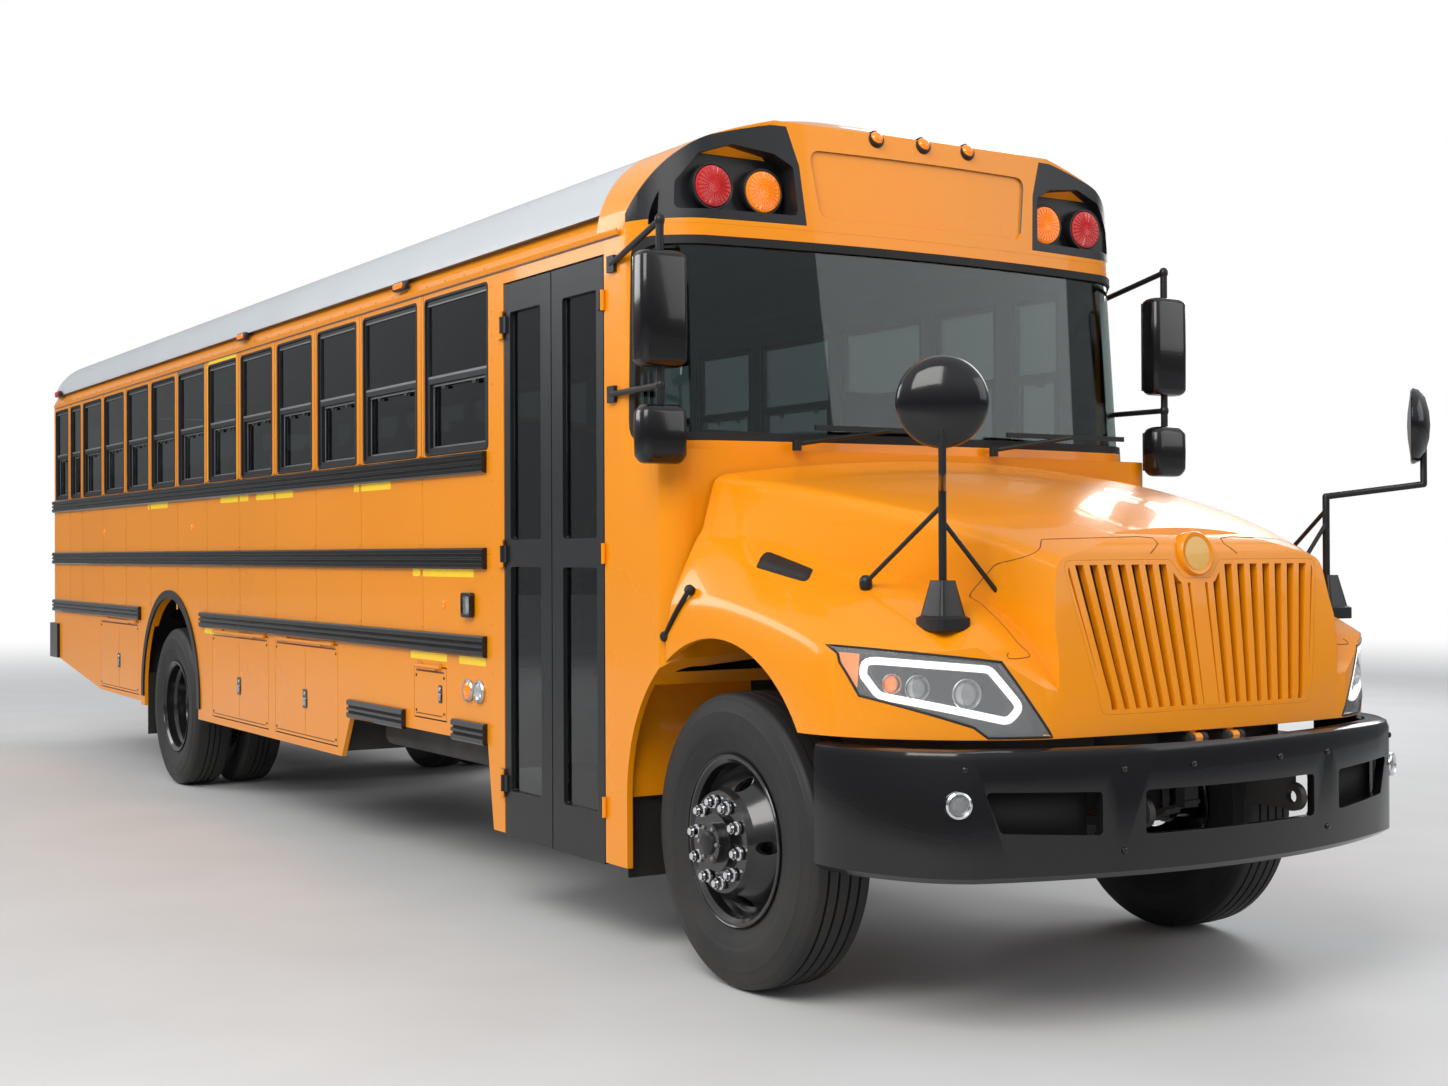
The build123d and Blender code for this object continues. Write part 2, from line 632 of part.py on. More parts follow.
LEAF_LIGHTS = [(530, 1485), (1600, 2570)]


def leaf_range(front):
    """Y range of one entry leaf."""
    if front:
        return back(DOOR_FRONT + DOOR_GAP), back(leaf_split() - DOOR_GAP / 2)
    return back(leaf_split() + DOOR_GAP / 2), back(DOOR_REAR - DOOR_GAP)


LEAF_HINGES = [560, 1540, 2520]  # heights on both leaves


def leaf_hinge(front, height):
    """Hinge of an entry leaf, on the post beside it."""
    y = back(DOOR_FRONT + DOOR_GAP / 2) if front else back(DOOR_REAR - DOOR_GAP / 2)
    return hinge((-HALF - HINGE_OFFSET, y, height), (-1, 0, 0), (0, 0, -1 if front else 1), 120, 40)


def entry_leaf(front):
    """One leaf of the entry door: black frame with two lights and a rubber nosing at its free edge."""
    y0, y1 = leaf_range(front)
    x0, x1 = -HALF, -HALF + LEAF_THICKNESS
    leaf = block(x0, x1, y0, y1, DOOR_FOOT, DOOR_TOP - DOOR_GAP)
    hinge_side, free_side = LEAF_FRAME, LEAF_FRAME + 38
    inset = (hinge_side, free_side) if front else (free_side, hinge_side)
    for low, high in LEAF_LIGHTS:
        leaf -= across(rect(y0 + inset[0], y1 - inset[1], low, high, 14), x0 - 5, x1 + 5)
    for height in LEAF_HINGES:
        leaf += leaf_hinge(front, height)[1]
    return leaf


def entry_glass(front):
    """Both lights of one leaf."""
    y0, y1 = leaf_range(front)
    hinge_side, free_side = LEAF_FRAME, LEAF_FRAME + 38
    inset = (hinge_side, free_side) if front else (free_side, hinge_side)
    e = 0.3
    return [across(rect(y0 + inset[0] + e, y1 - inset[1] - e, low + e, high - e, 14), -HALF + 18, -HALF + 24)
            for low, high in LEAF_LIGHTS]


def compartment_hinge(front, rear, top):
    """Long hinge along the top of a skirt compartment."""
    origin = (-HALF - HINGE_OFFSET, back((front + rear) / 2), top - DOOR_CLEAR / 2)
    return hinge(origin, (-1, 0, 0), (0, -1, 0), rear - front - 100, 16)


def compartment_door(front, rear, low, top):
    """Flat door of a skirt compartment, flush with the side sheet."""
    c = DOOR_CLEAR
    leaf = block(-HALF, -HALF + DOOR_SHEET, back(front) + c, back(rear) - c, low + c, top - c)
    return leaf + compartment_hinge(front, rear, top)[1]


# Hood: stations along the bus. Columns: behind axle, crown z, shoulder x, shoulder z, crease x, crease z,
# crest x, crest z, edge x, edge z
HOOD_STATIONS = [
    (395, 1922, 1050, 1840, 1100, 1640, 1150, 1500, 1200, 1330),
    (0, 1862, 945, 1790, 990, 1585, 1080, 1495, 1198, 1362),
    (-500, 1767, 812, 1690, 830, 1470, 960, 1440, 1194, 1278),
    (-850, 1672, 700, 1600, 710, 1370, 880, 1352, 1190, 1160),
    (-1230, 1560, 560, 1470, 580, 1180, 800, 1120, 1185, 1000),
]
HOOD_LOW = 952
FENDER_SIDE = 1212


def hood_centre(inset=0.0):
    """Solid under the hood's middle part, from the cowl to the grille."""
    faces = []
    for station in HOOD_STATIONS:
        place, crown, sx, sz, cx, cz = station[:6]
        low = HOOD_LOW - 60 * (inset > 0)
        sx, cx, crown, sz = sx - inset, cx - inset, crown - inset, sz - inset
        face = make_face([
            Line((-cx, low), (cx, low)), Line((cx, low), (cx, cz)), Line((cx, cz), (sx, sz)),
            ThreePointArc((sx, sz), (0, crown), (-sx, sz)), Line((-sx, sz), (-cx, cz)), Line((-cx, cz), (-cx, low)),
        ])
        faces.append(Pos(0, back(place), 0) * (Plane.XZ * face))
    return loft(faces, ruled=False)


def fender(inset=0.0):
    """Solid under the right fender, from the hood's crease to the outer side."""
    faces = []
    for place, _, _, _, cx, cz, rx, rz, ex, ez in HOOD_STATIONS:
        low = HOOD_LOW - 60 * (inset > 0)
        side = FENDER_SIDE - inset
        face = outline([
            (-500, low), (-500, cz - inset), (-cx, cz - inset), (-rx, rz - inset), (-ex + inset, ez - inset),
            (-side, max(ez - 120, HOOD_LOW + 12)), (-side, low),
        ])
        faces.append(Pos(0, back(place), 0) * (Plane.XZ * face))
    return loft(faces, ruled=True)


def hood_plan(inset=0.0):
    """Plan of the hood: rounded front corners, and a rear edge that follows the cowl."""
    side = FENDER_SIDE - inset + 2
    p = [(side, back(500)), (side, back(-520)), (1105 - inset, back(-845 + inset)),
         (690 - inset, back(-1150 + inset))]
    return make_face([
        Line(p[0], p[1]),
        ThreePointArc(p[1], (1180 - inset, back(-700 + inset)), p[2]),
        ThreePointArc(p[2], (925 - inset, back(-1030 + inset)), p[3]),
        ThreePointArc(p[3], (0, back(-1195 + inset)), (-p[3][0], p[3][1])),
        ThreePointArc((-p[3][0], p[3][1]), (-925 + inset, back(-1030 + inset)), (-p[2][0], p[2][1])),
        ThreePointArc((-p[2][0], p[2][1]), (-1180 + inset, back(-700 + inset)), (-p[1][0], p[1][1])),
        Line((-p[1][0], p[1][1]), (-p[0][0], p[0][1])),
        Line((-p[0][0], p[0][1]), p[0]),
    ])


def nose_side(inset=0.0):
    """Side view of the hood's front: it leans back towards the top and rolls over at the edge."""
    return outline([
        (back(500), 800), (back(-1190 + inset), 800), (back(-1190 + inset), 950), (back(-1112 + inset), 1480),
        (back(-1085 + inset), 1545 - inset * 0.5), (back(-1020 + inset), 1600 - inset), (back(-900), 2100), (back(500), 2100),
    ])


def hood_outer(inset=0.0):
    """Hood and both fenders as one solid, drawn in by inset."""
    wing = fender(inset)
    roll = outline([
        (back(500), 700), (back(-1300), 700), (back(-1190 + inset), 1040), (back(-1090 + inset), 1180 - inset), (back(-1010 + inset), 1255 - inset),
        (back(-880), 1345 + 20), (back(-700), 1700), (back(500), 1900),
    ])
    wing &= across(roll, -1300, -400)
    body = hood_centre(inset) + wing + mirrored(wing)
    return body & upright(hood_plan(inset), 700, 2100) & across(nose_side(inset), -1300, 1300)


GRILLE_TOP = 1478
GRILLE_LOW = 1018
GRILLE_TOP_HALF = 585
GRILLE_LOW_HALF = 485


def grille_outline(grow=0.0, radius=40):
    """Tapered opening of the grille, seen from the front, without its notch."""
    return outline([
        (-GRILLE_LOW_HALF - grow, GRILLE_LOW - grow), (GRILLE_LOW_HALF + grow, GRILLE_LOW - grow),
        (GRILLE_TOP_HALF + grow, GRILLE_TOP + grow), (-GRILLE_TOP_HALF - grow, GRILLE_TOP + grow),
    ], radius)


def lamp_outline(grow=0.0):
    """Right headlamp, seen from the front."""
    return outline([
        (-672 + grow, 957), (-690 + grow, 1010), (-805 + grow, 1192 + grow), (-1020, 1212 + grow), (-1300, 1245 + grow), (-1300, 1150 - grow),
        (-1100, 1085 - grow), (-905, 1000 - grow), (-765, 985 - grow), (-752, 957),
    ])


def hood():
    """Tilting hood in one shell with both fenders, open for the grille, the lamps and the wheels."""
    shell = hood_outer() - hood_outer(HOOD_SHELL) - upright(front_plan(0, -HOOD_GAP, True), 700, 2100)
    shell -= along(grille_outline(), back(-1300), back(-1000))
    shell -= front_arch_cut(-HALF - 5, -700) + front_arch_cut(700, HALF + 5)
    lamp = along(lamp_outline(), back(-1300), back(-640))
    shell = shell - lamp - mirrored(lamp)
    y, z = back(HOOD_PIVOT[0]), HOOD_PIVOT[1]
    for x in (-HOOD_LUG_X, HOOD_LUG_X):
        lug = block(x - 15, x + 15, y + 4, y + 24, z, HOOD_LOW + 8) + axle_cylinder(x - 15, x + 15, y, z, 19)
        shell += lug - axle_cylinder(x - 20, x + 20, y, z, HOOD_PIN + FIT)
    return shell


def headlamp():
    """Right headlamp, which follows the fender's corner."""
    skin = hood_outer() - hood_outer(90)
    return skin & along(lamp_outline(-0.3), back(-1300), back(-640))


SLATS = 8  # each side of the middle bar
SLAT_THICKNESS = 17


def grille():
    """Bowed upright slats either side of a middle bar, in a surround that fits the hood's opening."""
    skin = hood_outer() - hood_outer(70)
    field = skin & along(grille_outline(-0.3), back(-1300), back(-1000))
    surround = field - along(grille_outline(-22, 30), back(-1300), back(-1000))
    bars = None
    taper = (GRILLE_TOP_HALF - GRILLE_LOW_HALF) / (GRILLE_TOP - GRILLE_LOW)
    for n in range(-SLATS, SLATS + 1):
        share = n / (SLATS + 0.55)
        half = 42 if n == 0 else SLAT_THICKNESS / 2
        top, low = share * GRILLE_TOP_HALF, share * GRILLE_LOW_HALF
        bar = outline([(low - half, GRILLE_LOW), (low + half, GRILLE_LOW), (top + half, GRILLE_TOP), (top - half, GRILLE_TOP)])
        bar = along(bar, back(-1300), back(-1000)) & field
        bars = bar if bars is None else bars + bar
    boss = along(Pos(0, 1525) * Circle(88), back(-1178), back(-1080)) & block(-90, 90, back(-1300), back(-1000), 1437, 1477)
    return surround + bars


# Bumpers


def bumper_plan(inset=0.0):
    """Plan of the front bumper: bowed face and wrapped ends."""
    end = (1200 - inset, back(-625))
    turn = (1140 - inset, back(-900 + inset))
    knee = (960 - inset, back(-1120 + inset))
    return make_face([
        Line((-end[0], end[1]), (end[0], end[1])),
        ThreePointArc(end, (1182 - inset, back(-770 + inset * 0.5)), turn),
        ThreePointArc(turn, (1065 - inset, back(-1030 + inset)), knee),
        ThreePointArc(knee, (0, back(-FRONT_OVERHANG + inset)), (-knee[0], knee[1])),
        ThreePointArc((-knee[0], knee[1]), (-1065 + inset, back(-1030 + inset)), (-turn[0], turn[1])),
        ThreePointArc((-turn[0], turn[1]), (-1182 + inset, back(-770 + inset * 0.5)), (-end[0], end[1])),
    ])


BUMPER_LOW = 510
TOW_X = 352  # middle plane of each tow eye
TOW_EYES = [((-1215, 705), (-1215, -1020)), ((BODY_REAR - 62, 640), (BODY_REAR - 190, BODY_REAR - 62))]
TOW_EYE = 22  # bore radius
TOW_PLATE = 25
BUMPER_TOP = 928


def front_bumper():
    """Black front bumper: bowed shell with a slot for air and towing."""
    shell = upright(bumper_plan(), BUMPER_LOW, BUMPER_TOP) - upright(bumper_plan(28), BUMPER_LOW - 1, BUMPER_TOP + 1)
    shell -= block(-1400, 1400, back(-640), back(-500), 0, 1200)
    slot = outline([(-800, 655), (-740, 630), (-300, 622), (300, 622), (740, 630), (800, 655), (760, 775), (-760, 775)])
    shell -= along(slot, back(-1400), back(-900))
    for sign in (-1, 1):
        arm = block(sign * (RAIL_X - RAIL_FLANGE), sign * RAIL_X, back(-1290), back(FRAME_FRONT), 790, 915)
        shell += arm & upright(bumper_plan(14), 0, 2000)
    return shell


def rear_bumper():
    """Black rear bumper wrapped round both corners."""
    y0, y1 = back(BODY_REAR - 250), LENGTH / 2
    outer = fillet(block(-HALF - 22, HALF + 22, y0, y1, 705, 985).edges().filter_by(Axis.Z).sort_by(Axis.Y)[2:], 90)
    inner = fillet(block(-HALF, HALF, y0 - 5, back(BODY_REAR), 700, 990).edges().filter_by(Axis.Z).sort_by(Axis.Y)[2:], 74)
    return outer - inner


# Chassis


RAIL_X = 430
RAIL_TOP = FLOOR_TOP - FLOOR_THICKNESS - 20
RAIL_DEPTH = 254
RAIL_FLANGE = 76
RAIL_SHEET = 10
CROSSMEMBERS = [-1020, 1330, 2400, 3400, 4900, 6300, 7700, 9100, 10300]
SILLS = [(1200, 610), (2700, HALF - 60), (4200, 540), (5700, 540), (8300, 540), (9700, HALF - 60)]  # place, reach to the right


def chassis_frame():
    """Two channels of the ladder frame, each with a tow eye under both ends."""
    y0, y1 = back(FRAME_FRONT), back(BODY_REAR - 60)
    channel = outline([
        (RAIL_X, RAIL_TOP - RAIL_DEPTH), (RAIL_X, RAIL_TOP), (RAIL_X - RAIL_FLANGE, RAIL_TOP),
        (RAIL_X - RAIL_FLANGE, RAIL_TOP - RAIL_SHEET), (RAIL_X - RAIL_SHEET, RAIL_TOP - RAIL_SHEET),
        (RAIL_X - RAIL_SHEET, RAIL_TOP - RAIL_DEPTH + RAIL_SHEET), (RAIL_X - RAIL_FLANGE, RAIL_TOP - RAIL_DEPTH + RAIL_SHEET),
        (RAIL_X - RAIL_FLANGE, RAIL_TOP - RAIL_DEPTH),
    ])
    rail_solid = along(channel, y0, y1)
    x0, x1 = TOW_X - TOW_PLATE / 2, TOW_X + TOW_PLATE / 2
    for (y, z), (eye_front, eye_rear) in TOW_EYES:
        eye = block(x0, x1, back(eye_front), back(eye_rear), z - 40, RAIL_TOP - RAIL_DEPTH + RAIL_SHEET)
        eye += axle_cylinder(x0, x1, back(y), z, TOW_EYE + 26)
        rail_solid += eye - axle_cylinder(x0, x1, back(y), z, TOW_EYE)
    return rail_solid, mirrored(rail_solid)


def crossmembers():
    """Members between the rails, the first with the hood's pivot ears, and the sills across the rails under the floor."""
    reach = RAIL_X - RAIL_SHEET
    members = [block(-reach, reach, back(place) - 40, back(place) + 40, RAIL_TOP - RAIL_DEPTH + 12, RAIL_TOP - 90)
               for place in CROSSMEMBERS]
    y, z = back(HOOD_PIVOT[0]), HOOD_PIVOT[1]
    for x in (-HOOD_LUG_X, HOOD_LUG_X):
        for ear in (x - HOOD_EAR_SHIFT, x + HOOD_EAR_SHIFT):
            members[0] += block(ear - 9, ear + 9, y, back(CROSSMEMBERS[0]) - 38, z - HOOD_EAR, z + 15)
            members[0] += axle_cylinder(ear - 9, ear + 9, y, z, HOOD_EAR)
        members[0] += axle_cylinder(x - 38, x + 38, y, z, HOOD_PIN)
    sills = [block(-reach_right, HALF - 60, back(place) - 30, back(place) + 30, RAIL_TOP, FLOOR_LOW)
             for place, reach_right in SILLS]
    return members + sills


SPRING_X = 470
FRONT_SEAT_Z = TYRE_RADIUS - 60
REAR_SEAT_Z = TYRE_RADIUS + 82
SPRING_WIDTH = 76


def leaf_spring(centre_y, half_length, sag, seat_z, leaves):
    """Pack of curved leaves, shorter towards the axle."""
    pack = None
    for n in range(leaves):
        reach = half_length * (1 - 0.16 * n)
        z = seat_z + 12 * (leaves - n)
        drop = sag * (reach / half_length) ** 2
        top = ThreePointArc((centre_y - reach, z + drop), (centre_y, z), (centre_y + reach, z + drop))
        low = ThreePointArc((centre_y + reach, z + drop - 12.5), (centre_y, z - 12.5), (centre_y - reach, z + drop - 12.5))
        face = make_face([top, Line(top @ 1, low @ 0), low, Line(low @ 1, top @ 0)])
        leaf = across(face, SPRING_X - SPRING_WIDTH / 2, SPRING_X + SPRING_WIDTH / 2)
        pack = leaf if pack is None else pack + leaf
    for end in (-1, 1):
        y = centre_y + end * (half_length - 25)
        z = seat_z + 12 * leaves + sag - 22
        pack += across(rect(y - 22, y + 22, z - 5, RAIL_TOP - RAIL_DEPTH + 40), RAIL_X, SPRING_X + 30)
    return pack


def springs():
    """Four leaf springs, hung from the frame and clamped on the axles."""
    front = leaf_spring(back(0), 640, 120, FRONT_SEAT_Z, 3)
    rear = leaf_spring(REAR_AXLE_Y, 720, 130, REAR_SEAT_Z, 5)
    return [front, mirrored(front), rear, mirrored(rear)]


KINGPIN = 20
EYE = 46
EYE_HALF = 45
YOKE_GAP = 5
YOKE = 34
BEAM_Z = 414


def front_axle():
    """Dropped beam with a kingpin in the eye at each end."""
    y, z = back(0), TYRE_RADIUS
    beam = along(outline([
        (-KINGPIN_X, z + 40), (-KINGPIN_X, z - 40), (-780, z - 40), (-600, BEAM_Z - 45), (600, BEAM_Z - 45),
        (780, z - 40), (KINGPIN_X, z - 40), (KINGPIN_X, z + 40), (780, z + 40), (600, BEAM_Z + 45), (-600, BEAM_Z + 45),
        (-780, z + 40),
    ]), y - 45, y + 45)
    for sign in (-1, 1):
        eye = Pos(sign * KINGPIN_X, y, z) * Cylinder(EYE, 2 * EYE_HALF)
        clear = Pos(sign * (KINGPIN_X + 60), y, z) * Box(120, 200, 400)
        beam = beam - clear + eye
        beam += Pos(sign * KINGPIN_X, y, z) * Cylinder(KINGPIN, 2 * (EYE_HALF + YOKE_GAP + YOKE))
        beam += block(sign * (SPRING_X - 45), sign * (SPRING_X + 45), y - 70, y + 70, BEAM_Z + 30, FRONT_SEAT_Z - 0.8)
    return beam


SPINDLE = 38
HUB_INNER = 962  # inner end of the wheel hub on the spindle


def knuckle(sign, arm=True):
    """Steering knuckle: yoke round the kingpin, spindle for the wheel and arm for the tie rod."""
    y, z, x = back(0), TYRE_RADIUS, sign * KINGPIN_X
    low, high = z - EYE_HALF - YOKE_GAP - YOKE, z + EYE_HALF + YOKE_GAP + YOKE
    yoke = Pos(x, y, z) * Cylinder(48, high - low)
    yoke += block(x, sign * (KINGPIN_X + 72), y - 44, y + 44, low, high)
    yoke -= Pos(x, y, z) * Cylinder(EYE + 9, 2 * (EYE_HALF + YOKE_GAP))
    yoke -= Pos(x, y, z) * Cylinder(KINGPIN + FIT, 400)
    spindle = axle_cylinder(sign * (KINGPIN_X + 60), sign * (FRONT_TYRE_X + WHEEL_OFFSET + 12), y, z, SPINDLE)
    lever = block(x - 24, x + 24, y + 30, y + STEER_ARM + 26, low, low + 30)
    return yoke + spindle + lever - Pos(x, y + STEER_ARM, low) * Cylinder(12 + FIT, 100)


def tie_rod():
    """Rod between the two knuckle arms, below them, with a pin up through each."""
    y, z = back(STEER_ARM), TYRE_RADIUS - EYE_HALF - YOKE_GAP - YOKE - 28
    bar = rod((-KINGPIN_X, y, z), (KINGPIN_X, y, z), 17)
    for sign in (-1, 1):
        bar += Pos(sign * KINGPIN_X, y, z) * Cylinder(22, 44)
        bar += Pos(sign * KINGPIN_X, y, z + 30) * Cylinder(12, 60)
    return bar


def rear_axle():
    """Rear axle with its round housing, brake drums' backing, and the drive shaft up to the engine."""
    y, z = REAR_AXLE_Y, TYRE_RADIUS
    mount = REAR_TYRE_X - WHEEL_OFFSET
    axle = axle_cylinder(-mount + 130, mount - 130, y, z, 70)
    axle += axle_cylinder(-165, 165, y, z, 205)
    axle += axle_cylinder(-mount - 90, mount + 90, y, z, SPINDLE)
    axle += rod((0, y - 330, z + 20), (0, y, z), 85)
    for sign in (-1, 1):
        axle += block(sign * (SPRING_X - 50), sign * (SPRING_X + 50), y - 80, y + 80, z, REAR_SEAT_Z - 0.8)
    axle += rod((0, back(GEARBOX_END) + 1.8, 700), (0, y - 300, z + 18), 52)
    return axle


# Wheels


def tyre(x):
    """Tyre on its centre plane."""
    w = TYRE_WIDTH / 2
    half = [(RIM_HALF - 22, RIM_RADIUS + SEAT_GAP), (RIM_HALF - 8, RIM_LIP + 6), (w - 3, 380), (w, 410), (w - 4, 455),
            (w - 20, 500), (w - 34, 519), (w - 60, TYRE_RADIUS - 1)]
    profile = outline(half + [(0, TYRE_RADIUS)] + [(-a, r) for a, r in reversed(half)])
    return Pos(x, 0, TYRE_RADIUS) * revolve(Plane.XZ * profile, Axis.X)


def rim_profile(outboard):
    """Half-section of a disc wheel; outboard is +1 where the disc face stands out and -1 where it is sunk."""
    o = outboard
    face = WHEEL_OFFSET * o
    s = 12 * o
    points = [
        (-RIM_HALF * o, RIM_LIP), (-(RIM_HALF - 10) * o, RIM_LIP), (-(RIM_HALF - 16) * o, RIM_RADIUS), (-60 * o, RIM_RADIUS),
        (-40 * o, RIM_RADIUS - 16), (30 * o, RIM_RADIUS - 16), (60 * o, RIM_RADIUS), ((RIM_HALF - 16) * o, RIM_RADIUS),
        ((RIM_HALF - 10) * o, RIM_LIP), (RIM_HALF * o, RIM_LIP), (RIM_HALF * o, RIM_LIP - 12), ((RIM_HALF - 12) * o, RIM_RADIUS - 12),
        (72 * o, RIM_RADIUS - 16), (50 * o, RIM_RADIUS - 28), (62 * o, 248), (face - 26 * o, 190), (face, 178),
        (face, 100), (face - s, 100), (face - s, 170), (face - 40 * o, 184), (40 * o, 246), (20 * o, RIM_RADIUS - 28),
        (-38 * o, RIM_RADIUS - 28), (-56 * o, RIM_RADIUS - 14), (-(RIM_HALF - 12) * o, RIM_RADIUS - 12), (-RIM_HALF * o, RIM_LIP - 12),
    ]
    return points


HAND_HOLES = 5
STUDS = 10


def disc_wheel(x, outboard):
    """One disc wheel at its centre plane, with hand holes through the cone."""
    disc = revolve(Plane.XZ * outline(rim_profile(outboard)), Axis.X)
    for n in range(HAND_HOLES):
        angle = 360 / HAND_HOLES * n + 18
        hole = Rot(angle, 0, 0) * (Pos(0, 0, 214) * (Rot(0, 90, 0) * Cylinder(24, 500)))
        disc -= hole
    return Pos(x, 0, 0) * disc


def front_rim(sign):
    """Steered wheel with its hub, nuts and cap, on the spindle's line."""
    centre = sign * FRONT_TYRE_X
    face = centre + sign * WHEEL_OFFSET
    hub = axle_cylinder(sign * HUB_INNER, face + sign * 22, 0, 0, 101)
    hub += axle_cylinder(face, face + sign * 48, 0, 0, 72)
    hub -= axle_cylinder(0, face + sign * 20, 0, 0, SPINDLE + FIT)
    for n in range(STUDS):
        a = radians(360 / STUDS * n + 9)
        hub += axle_cylinder(face - sign * 14, face + sign * 34, STUD_CIRCLE * cos(a), STUD_CIRCLE * sin(a), 16)
    return Pos(0, back(0), TYRE_RADIUS) * (disc_wheel(centre, sign) + hub)


def rear_rim(sign):
    """Twin wheels bolted face to face on one hub."""
    outer, inner = sign * REAR_TYRE_X, sign * (REAR_TYRE_X - 2 * WHEEL_OFFSET)
    face = sign * (REAR_TYRE_X - WHEEL_OFFSET)
    pair = disc_wheel(outer, -sign) + disc_wheel(inner, sign)
    hub = axle_cylinder(face - sign * 120, face + sign * 70, 0, 0, 101) + axle_cylinder(face + sign * 60, face + sign * 98, 0, 0, 60)
    hub -= axle_cylinder(0, face + sign * 90.3, 0, 0, SPINDLE + FIT)
    for n in range(STUDS):
        a = radians(360 / STUDS * n + 9)
        hub += axle_cylinder(face - sign * 20, face + sign * 52, STUD_CIRCLE * cos(a), STUD_CIRCLE * sin(a), 16)
    return Pos(0, REAR_AXLE_Y, TYRE_RADIUS) * (pair + hub)


# Engine, tank and exhaust

GEARBOX_END = 1200  # rear of the gearbox, where the drive shaft starts

def engine():
    """Engine and gearbox as plain blocks on the frame, and the radiator ahead of them."""
    inner = RAIL_X - RAIL_SHEET
    block_part = block(-290, 290, back(-740), back(140), 790, 1440)
    block_part += block(-200, 200, back(100), back(GEARBOX_END), 600, 900)
    block_part += block(-inner, inner, back(-500), back(-380), 800, 860)
    core = block(-350, 350, back(-960), back(-870), 790, 1440) + block(-inner, inner, back(-940), back(-890), 790, 850)
    return [block_part, core]


def fuel_tank():
    """Fuel tank under the raised skirt, hung beside the frame."""
    tank = fillet(block(-1060, -480, back(2150), back(3480), 560, 960).edges().filter_by(Axis.Y), 60)
    for place in (2400, 3200):
        tank += block(-700, -RAIL_X, back(place) - 25, back(place) + 25, 940, 985)
    return tank


def exhaust():
    """Silencer under the left side and the pipe to the rear bumper."""
    silencer = fillet(Cylinder(130, 900).edges(), 30)
    body = Pos(680, back(4300), 735) * (Rot(90, 0, 0) * silencer)
    run = [(300, -60, 690), (300, 2900, 690), (680, 3860, 735), (680, 4740, 735), (300, 5700, 690), (300, 8300, 690),
           (620, 9300, 655), (620, BODY_REAR + 70, 640)]
    places = [(x, back(d), z) for x, d, z in run]
    for start, end in zip(places, places[1:]):
        body += rod(start, end, 50) + Pos(*start) * Sphere(50)
    for place in (4000, 4600):
        body += block(RAIL_X, 700, back(place) - 20, back(place) + 20, 850, 872)
    for place in (2000, 8000):
        body += block(290, 310, back(place) - 20, back(place) + 20, 700, 800)
    return body


# Interior


def seat(y, x0, x1):
    """Bench seat facing forward, on one leg by the aisle and a ledge on the wall."""
    z = FLOOR_TOP
    profile = outline([
        (y, z + 330), (y + 30, z + 430), (y + 330, z + 400), (y + 400, z + 1090), (y + 455, z + 1110), (y + 490, z + 1080),
        (y + 450, z + 330),
    ])
    aisle = min((x0, x1), key=abs)
    leg = block(aisle, aisle + (40 if x1 > 0 else -40), y + 60, y + 380, z, z + 335)
    return across(profile, x0, x1) + leg


def seats():
    """Two columns of bench seats and the driver's seat."""
    benches = []
    for row in range(12):
        y = back(1990 + 680 * row)
        benches += [seat(y, 215, HALF - WALL - 2), seat(y, -HALF + WALL + 2, -215)]
    z = FLOOR_TOP
    driver = across(outline([
        (back(900), z + 430), (back(930), z + 530), (back(1330), z + 500), (back(1400), z + 1230), (back(1450), z + 1250),
        (back(1500), z + 1200), (back(1460), z + 430),
    ]), 330, 850)
    driver += Pos(590, back(1180), z + 220) * Cylinder(120, 440)
    return benches + [driver]


def dashboard():
    """Dash under the windshield with the steering column and wheel."""
    dash = across(outline([(back(330), 1400), (back(330), 1870), (back(450), 1890), (back(620), 1820), (back(640), 1640), (back(560), 1400)]),
                  -HALF + WALL + 20, HALF - WALL - 2)
    dash -= block(-HALF, -700, back(520), back(900), 1000, 2000)
    column = rod((590, back(560), 1600), (590, back(790), 1880), 35)
    hub = Pos(590, back(790), 1880) * (Rot(-39, 0, 0) * (Torus(215, 16) + Cylinder(45, 40) + Box(430, 30, 14) + Box(30, 430, 14)))
    return dash + column + hub


# Mirrors, stop arm and small outside pieces


def side_mirror():
    """Right side mirror: two heads on a stem, held by two arms from the front pillar."""
    x, y = -1500, back(270)
    head = fillet(block(x - 110, x + 110, y - 55, y + 55, 2260, 2680).edges(), 36)
    convex = fillet(block(x - 108, x + 108, y - 60, y + 60, 1930, 2165).edges(), 50)
    unit = head + convex + rod((x, y, 2100), (x, y, 2740), 16)
    for inner, outer in ((2740, 2745), (2210, 2240)):
        arm = rod((x, y, inner), (-HALF - 6, back(500), outer), 13) + Pos(x, y, inner) * Sphere(20)
        unit += arm - block(-HALF - 6, 0, back(300), back(700), 2000, 2800)
        unit += block(-HALF - 14, -HALF, back(465), back(535), outer - 30, outer + 30)
    return unit


def fender_mirror():
    """Right fender mirror: round head on a mast with two braces."""
    x, y = -905, back(-880)
    base = loft([Pos(x, y, 1345) * RectangleRounded(110, 130, 20), Pos(x, y, 1440) * RectangleRounded(60, 70, 20)]) + block(x - 60, x + 60, y - 65, y + 65, 1310, 1345)
    mast = rod((x, y, 1430), (x, y, 1850), 13)
    head = Pos(x + 20, y - 30, 1985) * (Rot(70, 0, -20) * Cylinder(165, 45))
    neck = rod((x, y, 1840), (x + 20, y - 10, 1960), 12)
    brace_a = rod((x, y, 1720), (x - 40, y + 300, 1440), 9)
    brace_b = rod((x, y, 1650), (x + 240, y - 60, 1420), 9)
    return base + mast + neck + head + brace_a + brace_b - hood_outer()


STOP_ARM = (2330, 1735)  # behind the axle and height of the hinge
STOP_SIGN_X = 30  # sheet to the folded sign


